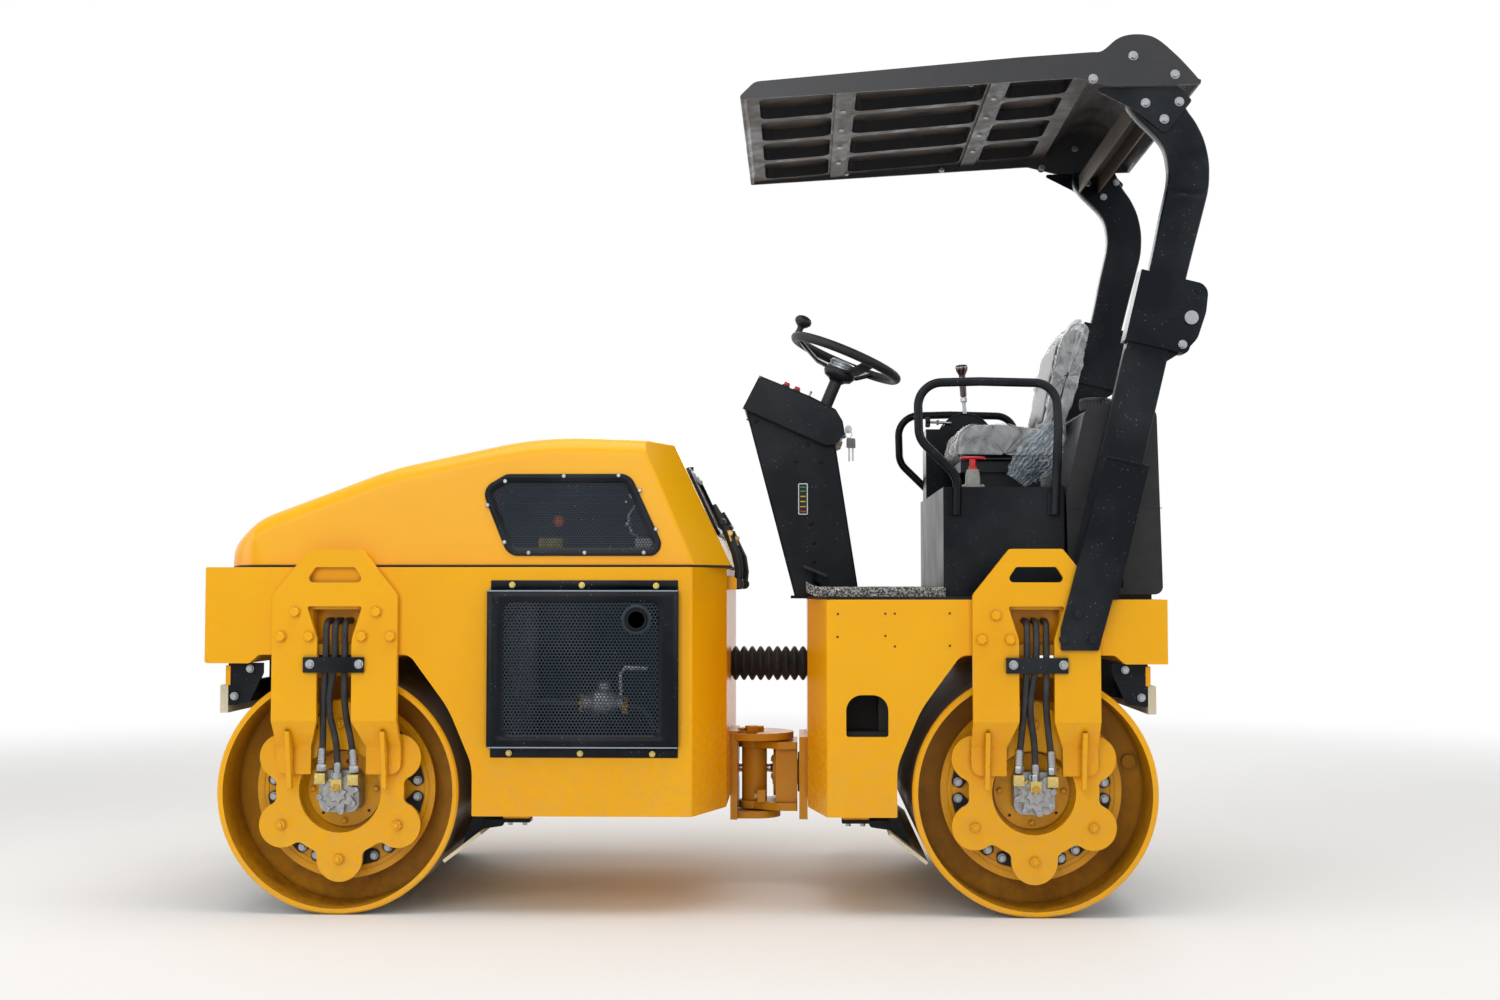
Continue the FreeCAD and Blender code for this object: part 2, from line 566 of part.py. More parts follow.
def knuckle():
    """Knuckle between the frames: upright tube, two plates, the oscillation housing and the steering arm."""
    pieces = [Part.makeCylinder(HITCH_TUBE_RADIUS, KNUCKLE_TOP[1] - KNUCKLE_LOW[0], V(HITCH_X, 0, KNUCKLE_LOW[0]))]
    x0, x1 = OSC_HOUSING_X
    plan = [(HITCH_X, -50, 0), (x1 - 60, -105, 10), (x1, -105, 4), (x1, 105, 4), (x1 - 60, 105, 10), (HITCH_X, 50, 0)]
    for z0, z1 in (KNUCKLE_TOP, KNUCKLE_LOW):
        pieces.append(plan_prism(plan, z0, z1))
        pieces.append(Part.makeCylinder(50, z1 - z0, V(HITCH_X, 0, z0)))
    pieces.append(Part.makeCylinder(OSC_HOUSING_RADIUS, x1 - x0, V(x0, 0, OSC_Z), V(1, 0, 0)))
    for side in (-1, 1):
        pieces.append(box(x0 + 8, x1, side * 82 - 8, side * 82 + 8, KNUCKLE_LOW[1] - 1, KNUCKLE_TOP[0] + 1))
    eye_x, eye_y = steer_eye()
    arm_plan = [(x0 + 8, 60, 0), (x1 - 8, 60, 0), (eye_x + 34, eye_y + 34, 30), (eye_x - 34, eye_y + 34, 30)]
    for z0 in (STEER_Z - ARM_GAP / 2 - ARM_PLATE, STEER_Z + ARM_GAP / 2):
        pieces.append(plan_prism(arm_plan, z0, z0 + ARM_PLATE))
        pieces.append(Part.makeCylinder(EYE_PIN_RADIUS + 10, ARM_PLATE + 6, V(eye_x, eye_y, z0 - 6 * (z0 < STEER_Z))))
    whole = fuse(pieces)
    whole = whole.cut(Part.makeCylinder(HITCH_PIN_RADIUS + PIN_CLEARANCE, 400, V(HITCH_X, 0, KNUCKLE_LOW[0] - 20)))
    bore = Part.makeCylinder(OSC_SHAFT_RADIUS + PIN_CLEARANCE, x1 - x0 + 40, V(x0 - 10, 0, OSC_Z), V(1, 0, 0))
    return whole.cut(bore)


def steer_eye():
    """Plan position of the steering cylinder's eye on the knuckle's arm."""
    angle = math.radians(STEER_ARM_ANGLE)
    return HITCH_X + STEER_ARM * math.cos(angle), STEER_ARM * math.sin(angle)


def steer_line():
    """Start and unit direction of the steering cylinder, from its anchor to its eye."""
    eye_x, eye_y = steer_eye()
    start = V(STEER_ANCHOR_X, STEER_ANCHOR_Y, STEER_Z)
    along = V(eye_x, eye_y, STEER_Z) - start
    length = along.Length
    along.normalize()
    return start, along, length


def steer_barrel():
    """Steering cylinder's barrel, with its eye at the anchor in the front frame."""
    start, along, _ = steer_line()
    body = Part.makeCylinder(BARREL_RADIUS, BARREL_LENGTH, start + along * 40, along)
    gland = Part.makeCylinder(BARREL_RADIUS + 6, 26, start + along * (40 + BARREL_LENGTH - 26), along)
    eye = Part.makeCylinder(EYE_RADIUS, EYE_THICK, start - V(0, 0, EYE_THICK / 2))
    neck = Part.makeCylinder(13, 34, start + along * 12, along)
    whole = fuse([body, gland, eye, neck])
    whole = whole.cut(Part.makeCylinder(EYE_PIN_RADIUS + PIN_CLEARANCE, 100, start - V(0, 0, 50)))
    return whole.cut(Part.makeCylinder(ROD_RADIUS + PIN_CLEARANCE, BARREL_LENGTH, start + along * 52, along))


def steer_rod():
    """Steering cylinder's rod, with its eye and pin between the plates of the knuckle's arm."""
    start, along, length = steer_line()
    inside = 200.0
    bar_length = length - inside - EYE_RADIUS + 4
    bar = Part.makeCylinder(ROD_RADIUS, bar_length, start + along * inside, along)
    centre = start + along * length
    eye = Part.makeCylinder(EYE_RADIUS - 2, EYE_THICK, centre - V(0, 0, EYE_THICK / 2))
    pin = Part.makeCylinder(EYE_PIN_RADIUS, EYE_THICK + 4, centre - V(0, 0, EYE_THICK / 2 + 2))
    return fuse([bar, eye, pin])


def steer_anchor():
    """Fork lug and pin on the front frame's floor that hold the barrel's eye."""
    start, _, _ = steer_line()
    floor = FRAME_BOTTOM + PLATE
    low = STEER_Z - EYE_THICK / 2
    pieces = [box(start.x - 70, start.x + 30, start.y - 40, start.y + 40, low - 17, low - 1)]
    pieces.append(box(start.x - 70, start.x + 30, start.y - 40, start.y + 40, low + EYE_THICK + 1, low + EYE_THICK + 17))
    pieces.append(box(start.x - 70, start.x - 46, start.y - 40, start.y + 40, floor, low + EYE_THICK + 17))
    pieces.append(box(start.x - 70, start.x + 30, start.y - 8, start.y + 8, floor, low - 16))
    pieces.append(Part.makeCylinder(EYE_PIN_RADIUS, EYE_THICK + 30, start - V(0, 0, EYE_THICK / 2 + 15)))
    return fuse(pieces)


def osc_shaft():
    """Flange plate on the rear frame and the lengthwise shaft that the knuckle rocks on."""
    plate = box(OSC_FLANGE_X, REAR_FRAME_FRONT_X, -OSC_FLANGE_HALF, OSC_FLANGE_HALF, KNUCKLE_LOW[0] - 20,
                KNUCKLE_TOP[1] + 20)
    x0 = OSC_HOUSING_X[0] - 3
    shaft = Part.makeCylinder(OSC_SHAFT_RADIUS, OSC_FLANGE_X - x0 + 1, V(x0, 0, OSC_Z), V(1, 0, 0))
    collar = Part.makeCylinder(OSC_HOUSING_RADIUS - 12, OSC_FLANGE_X - OSC_HOUSING_X[1] - 1,
                               V(OSC_HOUSING_X[1] + 1, 0, OSC_Z), V(1, 0, 0))
    return fuse([plate, shaft, collar])


REAR_HOLE = (462.0, 582.0, 513.0, 632.0)          # x0, x1, z0, z1 of the hole in the rear frame's flank


def rear_frame():
    """Rear frame: hollow flank with an arched hole on each side, and the end box over the drum."""
    end_x = REAR_AXLE_X + END_OVERHANG - 8
    outline = frame_outline(REAR_AXLE_X, -1, REAR_FRAME_TOP, REAR_FRAME_FRONT_X)
    plan = frame_plan(end_x, REAR_FRAME_FRONT_X, REAR_CORNER_RUN, 0, -1)
    inner_plan = frame_plan(end_x, REAR_FRAME_FRONT_X, REAR_CORNER_RUN, PLATE, -1)
    body = side_prism(outline, -FRAME_HALF_WIDTH - 1, FRAME_HALF_WIDTH + 1)
    body = body.common(plan_prism(plan, FRAME_BOTTOM - 1, REAR_FRAME_TOP + 1))
    core = plan_prism(inner_plan, FRAME_BOTTOM + PLATE, REAR_FRAME_TOP - DECK)
    bay_rear = REAR_AXLE_X - ARCH_REACH - PLATE
    body = body.cut(core.common(box(REAR_FRAME_FRONT_X, bay_rear, -700, 700, FRAME_BOTTOM, REAR_FRAME_TOP)))
    x0, x1, z0, z1 = REAR_HOLE
    hole = side_prism([(x0, z0, 8), (x1, z0, 8), (x1, z1, 45), (x0, z1, 45)],
                      -FRAME_HALF_WIDTH - 5, FRAME_HALF_WIDTH + 5)
    return body.cut(hole).cut(hose_pockets(REAR_AXLE_X))


# Engine bay


def engine():
    """Engine and pump as one plain block on the frame's floor."""
    floor = FRAME_BOTTOM + PLATE
    block = box(-470, -60, -190, 165, floor + 110, 1150)
    sump = box(-430, -120, -150, 40, floor + 60, floor + 111)
    feet = [box(x, x + 60, y, y + 60, floor, floor + 111) for x in (-450, -140) for y in (-180, -20)]
    return fuse([block, sump] + feet)


VENT = (-562.0, -16.0, 481.0, 930.0)              # x0, x1, z0, z1 of the vent pan's box
VENT_PROUD = 22.0
VENT_LIP = 28.0
EXHAUST_X = -135.0
EXHAUST_Z = 846.0


def vent_pan():
    """Vent pan on the frame's flank: a shallow folded tray with an upper and a lower flange."""
    x0, x1, z0, z1 = VENT
    face = -FRAME_HALF_WIDTH
    out = face - VENT_PROUD
    tray = box(x0, x1, out, face, z0, z1)
    tray = tray.cut(box(x0 + 3, x1 - 3, out + 3, face + 1, z0 + 3, z1 - 3))
    flanges = [box(x0, x1, face - 3, face, z1 - 1, z1 + VENT_LIP), box(x0, x1, face - 3, face, z0 - VENT_LIP, z0 + 1)]
    pan = fuse([tray] + flanges)
    return pan.cut(disc_y(EXHAUST_X, EXHAUST_Z, 31, out - 1, face))


def exhaust():
    """Exhaust pipe end in the left vent pan."""
    out = -FRAME_HALF_WIDTH - VENT_PROUD - 4
    pipe = disc_y(EXHAUST_X, EXHAUST_Z, 30, out, -190)
    return pipe.cut(disc_y(EXHAUST_X, EXHAUST_Z, 24, out - 1, -260))


# Hood

# Top line of the hood, from the nose to the rear edge: x, z, corner radius
HOOD_LINE = (
    (HOOD_NOSE_X + 4.0, 1062.0, 40.0),
    (HOOD_NOSE_X + 107.0, 1142.0, 260.0),
    (HOOD_NOSE_X + 487.0, 1286.0, 900.0),
    (HOOD_REAR_X - 546.0, 1380.0, 1100.0),
    (HOOD_REAR_X - 172.0, 1366.0, 34.0))
HOOD_REAR_LOW = (HOOD_REAR_X, HOOD_BOTTOM)


def long_top_edges(body, top_line_low):
    """Edges where the hood's sides meet its top, from the nose's curve to the rear edge."""
    found = []
    for edge in body.Edges:
        ends = [v.Point for v in edge.Vertexes]
        if len(ends) == 2 and abs(ends[0].x - ends[1].x) > 20 and min(p.z for p in ends) > top_line_low:
            if min(abs(p.y) for p in ends) > HOOD_HALF - 2 * HOOD_SIDE_LEAN:
                found.append(edge)
    return found


def hood_form(inset):
    """Outer form of the hood, or its inner form where inset is the sheet's thickness."""
    outline = [(HOOD_NOSE_X + inset, HOOD_BOTTOM - (inset > 0) * 5, 0)]
    for x, z, radius in HOOD_LINE:
        shift = inset if x < HOOD_NOSE_X + 50 else (-inset if x > HOOD_REAR_X - 226 else 0)
        outline.append((x + shift, z - inset, radius))
    outline.append((HOOD_REAR_X - inset * 1.1, HOOD_BOTTOM - (inset > 0) * 5, 0))
    half = HOOD_HALF - inset
    lean = HOOD_SIDE_LEAN
    body = side_prism(outline, -half, half)
    base = HOOD_SECTION_BASE
    top = base + HOOD_SECTION_HIGH
    section = [(-half, base, 0), (half, base, 0), (half - lean, top, 0), (-half + lean, top, 0)]
    body = body.common(end_prism(section, HOOD_NOSE_X - 5, HOOD_REAR_X + 5))
    corner = HOOD_NOSE_CORNER - inset
    body = body.makeFillet(HOOD_TOP_FILLET - inset, long_top_edges(body, top_line_low=HOOD_BOTTOM + 120))
    front = HOOD_NOSE_X - 1 + inset
    side_end = HOOD_REAR_X - HOOD_CORNER_RUN
    face_half = JOINT_FACE_HALF + 10 - inset
    plan = [(front, -half, corner), (side_end, -half, 6), (HOOD_REAR_X - inset, -face_half, 6),
            (HOOD_REAR_X - inset, face_half, 6), (side_end, half, 6), (front, half, corner)]
    return body.common(plan_prism(plan, base - 10, top))


GRILLE_TABLE = (                                   # x, z, corner radius of the side grille's outer edge
    (-592.0, 1224.0, 40.0), (-520.0, 1267.0, 40.0), (-160.0, 1267.0, 45.0),
    (-62.0, 1055.0, 34.0), (-90.0, 1029.0, 25.0), (-512.0, 1029.0, 45.0))
GRILLE_BORDER = 24.0


def inner_outline(table, border):
    """The same outline, moved in by a border, as a face at y = 0."""
    wire = rounded_wire(list(table), lambda p: V(p.x, 0, p.y))
    face = Part.Face(wire)
    return face.makeOffset2D(-border)


REAR_GRILLE = (70.0, 300.0)      # along the hood's rear slope, from its top corner
REAR_GRILLE_HALF = 330.0


def rear_slope_face(border):
    """Outline of the rear grille on the hood's rear slope, drawn in by a border, and the slope's outward normal."""
    top_x, top_z, _ = HOOD_LINE[-1]
    down = V(HOOD_REAR_X - top_x, 0, HOOD_BOTTOM - top_z)
    down.normalize()
    out = V(-down.z, 0, down.x)
    near, far = REAR_GRILLE[0] + border, REAR_GRILLE[1] - border
    half = REAR_GRILLE_HALF - border
    corner = 40 - border / 2
    outline = [(-half, near, corner), (half, near, corner), (half, far, corner), (-half, far, corner)]
    wire = rounded_wire(outline, lambda p: V(top_x + down.x * p.y, p.x, top_z + down.z * p.y))
    return Part.Face(wire), out


def rear_grille():
    """Frame and mesh sheet on the hood's rear slope."""
    face, out = rear_slope_face(0)
    ring = face.extrude(out * 6).cut(rear_slope_face(GRILLE_BORDER)[0].extrude(out * 6))
    mesh = rear_slope_face(GRILLE_BORDER - 5)[0].extrude(out * 2)
    return fuse([ring, mesh])


def hood():
    """Hood sheet: hollow, open below, with a window for each side grille and one in the rear slope."""
    outer = hood_form(0)
    inner = hood_form(HOOD_SHEET)
    shell = outer.cut(inner)
    window = inner_outline(GRILLE_TABLE, GRILLE_BORDER - 6)
    window.translate(V(0, -700, 0))
    shell = shell.cut(window.extrude(V(0, 1400, 0)))
    opening, out = rear_slope_face(GRILLE_BORDER - 6)
    shell = shell.cut(opening.extrude(out * -20)).cut(opening.extrude(out * 20))
    return fuse([shell] + hood_knuckles())


HINGE_X = HOOD_NOSE_X - 9.0
HINGE_Z = FRONT_FRAME_TOP + 8.0
HINGE_RADIUS = 7.0
HINGE_PIN_RADIUS = 4.0
HINGE_Y = (-330.0, 330.0)
HINGE_KNUCKLE = 26.0


def hood_knuckles():
    """The hood's half of each hinge: a knuckle with a short leaf on the nose."""
    made = []
    for y in HINGE_Y:
        y0, y1 = y - HINGE_KNUCKLE / 2, y + HINGE_KNUCKLE / 2
        leaf = box(HINGE_X, HOOD_NOSE_X + 3, y0, y1, HINGE_Z, HINGE_Z + 5)
        knuckle_piece = disc_y(HINGE_X, HINGE_Z, HINGE_RADIUS, y0, y1).fuse(leaf)
        made.append(knuckle_piece.cut(disc_y(HINGE_X, HINGE_Z, HINGE_PIN_RADIUS + PIN_CLEARANCE, y0 - 1, y1 + 1)))
    return made


def hood_hinges():
    """The frame's half of each hood hinge: two knuckles on a foot, with the pin between them."""
    made = []
    for y in HINGE_Y:
        pieces = [disc_y(HINGE_X, HINGE_Z, HINGE_PIN_RADIUS, y - 34, y + 34)]
        for side in (-1, 1):
            near = y + side * (HINGE_KNUCKLE / 2 + RUNNING_GAP)
            away = y + side * 34
            pieces.append(disc_y(HINGE_X, HINGE_Z, HINGE_RADIUS, near, away))
            pieces.append(box(HINGE_X - HINGE_RADIUS, HINGE_X + HINGE_RADIUS, min(near, away), max(near, away),
                              FRONT_FRAME_TOP - 1, HINGE_Z))
        made.extend(pieces)
    return made


def hood_seal():
    """Rubber strip on the frame's top edge, just under the hood."""
    z1 = HOOD_BOTTOM - RUNNING_GAP
    rear = FRONT_FRAME_REAR_X - 1
    end = HOOD_REAR_X - HOOD_CORNER_RUN
    half = HOOD_HALF
    face = JOINT_FACE_HALF - 2
    outer = [(HOOD_NOSE_X, -half, HOOD_NOSE_CORNER), (end, -half, 6), (rear - 23, -face - 61, 4), (rear, -face, 4),
             (rear, face, 4), (rear - 23, face + 61, 4), (end, half, 6), (HOOD_NOSE_X, half, HOOD_NOSE_CORNER)]
    inner = [(HOOD_NOSE_X + 12, -half + 12, HOOD_NOSE_CORNER - 12), (end - 6, -half + 12, 6),
             (rear - 33, -face - 56, 4), (rear - 12, -face + 4, 4), (rear - 12, face - 4, 4), (rear - 33, face + 56, 4),
             (end - 6, half - 12, 6), (HOOD_NOSE_X + 12, half - 12, HOOD_NOSE_CORNER - 12)]
    return plan_prism(outer, FRONT_FRAME_TOP, z1).cut(plan_prism(inner, FRONT_FRAME_TOP - 1, z1 + 1))


def hood_grille():
    """Side grille's frame and mesh sheet, on the hood's leaning side."""
    lean_angle = math.degrees(math.atan2(HOOD_SIDE_LEAN, HOOD_SECTION_HIGH))
    face = Part.Face(rounded_wire(list(GRILLE_TABLE), lambda p: V(p.x, 0, p.y)))
    ring = face.extrude(V(0, -5, 0)).cut(inner_outline(GRILLE_TABLE, GRILLE_BORDER).extrude(V(0, -5, 0)))
    mesh = inner_outline(GRILLE_TABLE, GRILLE_BORDER - 5).extrude(V(0, 2, 0))
    piece = fuse([ring, mesh])
    piece.rotate(V(0, 0, HOOD_SECTION_BASE), V(1, 0, 0), -lean_angle)
    piece.translate(V(0, -HOOD_HALF, 0))
    return piece


# Operator's platform


def floor_plate():
    """Platform plate on the rear frame with a tongue under the console, and the tank's bed behind it."""
    z0 = REAR_FRAME_TOP
    z1 = z0 + FLOOR_THICK
    rear = PEDESTAL_REAR_X - 8
    plan = [(REAR_FRAME_FRONT_X, -JOINT_FACE_HALF, 0), (REAR_FRAME_FRONT_X + REAR_CORNER_RUN, -FRAME_HALF_WIDTH, 0),
            (820, -FRAME_HALF_WIDTH, 0), (820, -FRAME_HALF_WIDTH + 26, 0),
            (rear, -FRAME_HALF_WIDTH + 26, 0), (rear, -PEDESTAL_HALF, 0),
            (PEDESTAL_REAR_X + 20, -PEDESTAL_HALF, 0), (PEDESTAL_REAR_X + 20, PEDESTAL_HALF, 0),
            (rear, PEDESTAL_HALF, 0), (rear, FRAME_HALF_WIDTH - 26, 0),
            (820, FRAME_HALF_WIDTH - 26, 0), (820, FRAME_HALF_WIDTH, 0),
            (REAR_FRAME_FRONT_X + REAR_CORNER_RUN, FRAME_HALF_WIDTH, 0), (REAR_FRAME_FRONT_X, JOINT_FACE_HALF, 0),
            (REAR_FRAME_FRONT_X, 215, 0), (302, 160, 10), (302, -160, 10), (REAR_FRAME_FRONT_X, -215, 0)]
    bed = box(PEDESTAL_REAR_X + 19, 1360, -TANK_HALF + 10, TANK_HALF - 10, z0, z0 + TANK_BED)
    return fuse([plan_prism(plan, z0, z1), bed])


def floor_mat():
    """Loop mat on the platform."""
    z0 = REAR_FRAME_TOP + FLOOR_THICK
    x0 = MAT_FRONT_X + 26
    half = FRAME_HALF_WIDTH - 50
    plan = [(x0 - 8, -JOINT_FACE_HALF, 20), (x0 + 40, -half, 20), (PEDESTAL_FRONT_X - 2, -half, 6),
            (PEDESTAL_FRONT_X - 2, half, 6), (x0 + 40, half, 20), (x0 - 8, JOINT_FACE_HALF, 20)]
    mat = plan_prism(plan, z0 + RUNNING_GAP, z0 + MAT_THICK)
    return mat.cut(box(300, 520, -200, 200, z0 - 1, z0 + 40))


CONSOLE_HALF = 160.0
DASH_HALF = 190.0


def console():
    """Steering console: leaning column and the wider dash head on top, both folded from sheet."""
    z0 = REAR_FRAME_TOP + FLOOR_THICK
    column = [(314, z0, 2), (162, 1492, 2), (440, 1384, 2), (514, z0, 2)]
    head = [(206, 1594, 6), (154, 1496, 6), (412, 1380, 8), (442, 1382, 8), (470, 1416, 8), (463, 1454, 10),
            (442, 1490, 10), (365, 1528, 6)]
    return fuse([side_prism(column, -CONSOLE_HALF, CONSOLE_HALF), side_prism(head, -DASH_HALF, DASH_HALF)])


WHEEL_TILT = 23.0
WHEEL_HUB = (452.0, 0.0, 1640.0)
WHEEL_RADIUS = 190.0
WHEEL_RIM = 15.0


def steering_wheel():
    """Three-spoked wheel on its column tube, tilted towards the seat, with a spinner knob."""
    x, _, z = WHEEL_HUB
    rim = Part.makeTorus(WHEEL_RADIUS - WHEEL_RIM, WHEEL_RIM, V(x, 0, z + 26))
    hub = Part.makeCylinder(38, 46, V(x, 0, z - 12))
    pieces = [rim, hub]
    for degrees in (0, 120, 240):
        spoke = box(x + 20, x + WHEEL_RADIUS - WHEEL_RIM, -14, 14, z + 4, z + 12)
        rise = box(x + WHEEL_RADIUS - 3 * WHEEL_RIM, x + WHEEL_RADIUS - WHEEL_RIM, -14, 14, z + 4, z + 26)
        pieces.append(turned(fuse([spoke, rise]), (x, 0, z), (0, 0, 1), degrees))
    pieces.append(Part.makeCylinder(11, 40, V(x - WHEEL_RADIUS + WHEEL_RIM, 0, z + 30)))
    pieces.append(Part.makeSphere(24, V(x - WHEEL_RADIUS + WHEEL_RIM, 0, z + 76)))
    pieces.append(Part.makeCylinder(20, 150, V(x, 0, z - 162)))
    whole = fuse(pieces)
    return turned(whole, (x, 0, z), (0, 1, 0), WHEEL_TILT)


def pedestal():
    """Seat pedestal: folded box with cut-back front corners."""
    z0 = REAR_FRAME_TOP + FLOOR_THICK
    half = PEDESTAL_HALF
    c = PEDESTAL_CORNER
    x0, x1 = PEDESTAL_FRONT_X, PEDESTAL_REAR_X
    plan = [(x0, -half + c, 4), (x0 + c, -half, 4), (x1, -half, 4), (x1, half, 4), (x0 + c, half, 4), (x0, half - c, 4)]
    body = plan_prism(plan, z0, PEDESTAL_TOP)
    s = SHEET
    inner = [(x0 + s, -half + c + s / 2, 0), (x0 + c + s / 2, -half + s, 0), (x1 - s, -half + s, 0),
             (x1 - s, half - s, 0), (x0 + c + s / 2, half - s, 0), (x0 + s, half - c - s / 2, 0)]
    return fuse([body.cut(plan_prism(inner, z0 - 1, PEDESTAL_TOP - s)), lever_console()])


def lever_console():
    """Taller box on the far side of the pedestal that holds the travel lever."""
    z0 = PEDESTAL_TOP
    body = box(760, 1090, 330, PEDESTAL_HALF - 4, z0 - 1, 1474)
    quadrant = [(812, 1474, 2), (842, 1512, 40), (880, 1532, 60), (925, 1532, 60), (965, 1512, 40), (990, 1474, 2)]
    return fuse([body, side_prism(quadrant, 396, 436)])


def travel_lever():
    """Travel lever: steel rod with a turned grip."""
    rod_piece = rod((900, 416, 1533.2), (893, 416, 1600), 7)
    grip = rod((893, 416, 1598), (890, 416, 1672), 14)
    top = rod((890, 416, 1668), (888, 416, 1702), 21)
    return fuse([rod_piece, grip, top])


SEAT_HALF = 235.0


def seat_cushion():
    """Seat cushion."""
    z0 = PEDESTAL_TOP + 96
    outline = [(786, z0 + 30, 24), (800, z0 + 112, 46), (960, z0 + 108, 30), (1118, z0 + 90, 20), (1118, z0, 10),
               (800, z0, 20)]
    return side_prism(outline, -SEAT_HALF, SEAT_HALF)


def seat_base():
    """Slide rails and pan under the cushion."""
    z0 = PEDESTAL_TOP
    pan = box(830, 1100, -190, 190, z0 + 62, z0 + 96 - RUNNING_GAP)
    rails = [box(850, 1080, y - 18, y + 18, z0, z0 + 63) for y in (-150, 150)]
    return fuse([pan] + rails)


def seat_back():
    """Seat back, leaning."""
    z0 = PEDESTAL_TOP + 96
    outline = [(1060, z0 + 108, 10), (1130, z0 + 370, 40), (1185, z0 + 440, 27), (1232, z0 + 425, 29),
               (1190, z0 + 240, 60), (1124, z0 + 40, 20)]
    body = side_prism(outline, -SEAT_HALF + 15, SEAT_HALF - 15)
    return body.cut(side_prism([(786, z0 - 5, 0), (786, z0 + 125, 0), (1119, z0 + 91, 0), (1119, z0 - 5, 0)],
                               -SEAT_HALF, SEAT_HALF))


RAIL_RADIUS = 13.0
RAIL_Y = PEDESTAL_HALF + 22.0
# Side of the hand rail, from its front foot to its rear foot: x, z
RAIL_TABLE = (
    (788.0, 1150.0), (792.0, 1262.0), (680.0, 1372.0), (676.0, 1536.0), (860.0, 1540.0),
    (1080.0, 1534.0), (1086.0, 1400.0), (1075.0, 1150.0))


def hand_rail():
    """Bent tube rail beside the seat, its feet on the pedestal's side."""
    points = [(x, -RAIL_Y, z) for x, z in RAIL_TABLE]
    return tube_on(points, RAIL_RADIUS, radius=70)


def rail_feet():
    """Plates that join the rail's feet to the pedestal's side."""
    feet = []
    for x in (RAIL_TABLE[0][0], RAIL_TABLE[-1][0]):
        feet.append(box(x - 20, x + 20, -RAIL_Y + RAIL_RADIUS - 2, -PEDESTAL_HALF, 1150, 1215))
    return feet


TANK_HALF = SLEEVE_INNER_Y - 20.0
TANK_BED = 14.0


def rear_tank():
    """Moulded tank behind the seat with a filler cap on each side."""
    z0 = REAR_FRAME_TOP + TANK_BED
    outline = [(1118, z0, 14), (1112, 1210, 10), (1168, 1455, 30), (1210, 1478, 20), (1378, 1468, 34), (1392, z0, 24)]
    body = side_prism(outline, -TANK_HALF, TANK_HALF)
    slot = box(1256, 1276, -TANK_HALF - 20, -TANK_HALF + 12, z0 + 20, 1440)
    body = body.cut(slot).cut(mirrored(slot))
    caps = [Part.makeCylinder(46, 34, V(1216, y, 1466)) for y in (100 - TANK_HALF, TANK_HALF - 100)]
    return fuse([body] + caps)


# Roll-over structure


def on_post(along, across):
    """Point in the side view at a distance along the post's line and across it, towards +X."""
    a = math.radians(POST_LEAN)
    x = POST_FOOT_X + along * math.sin(a) + across * math.cos(a)
    z = POST_FOOT_Z + along * math.cos(a) - across * math.sin(a)
    return x, z


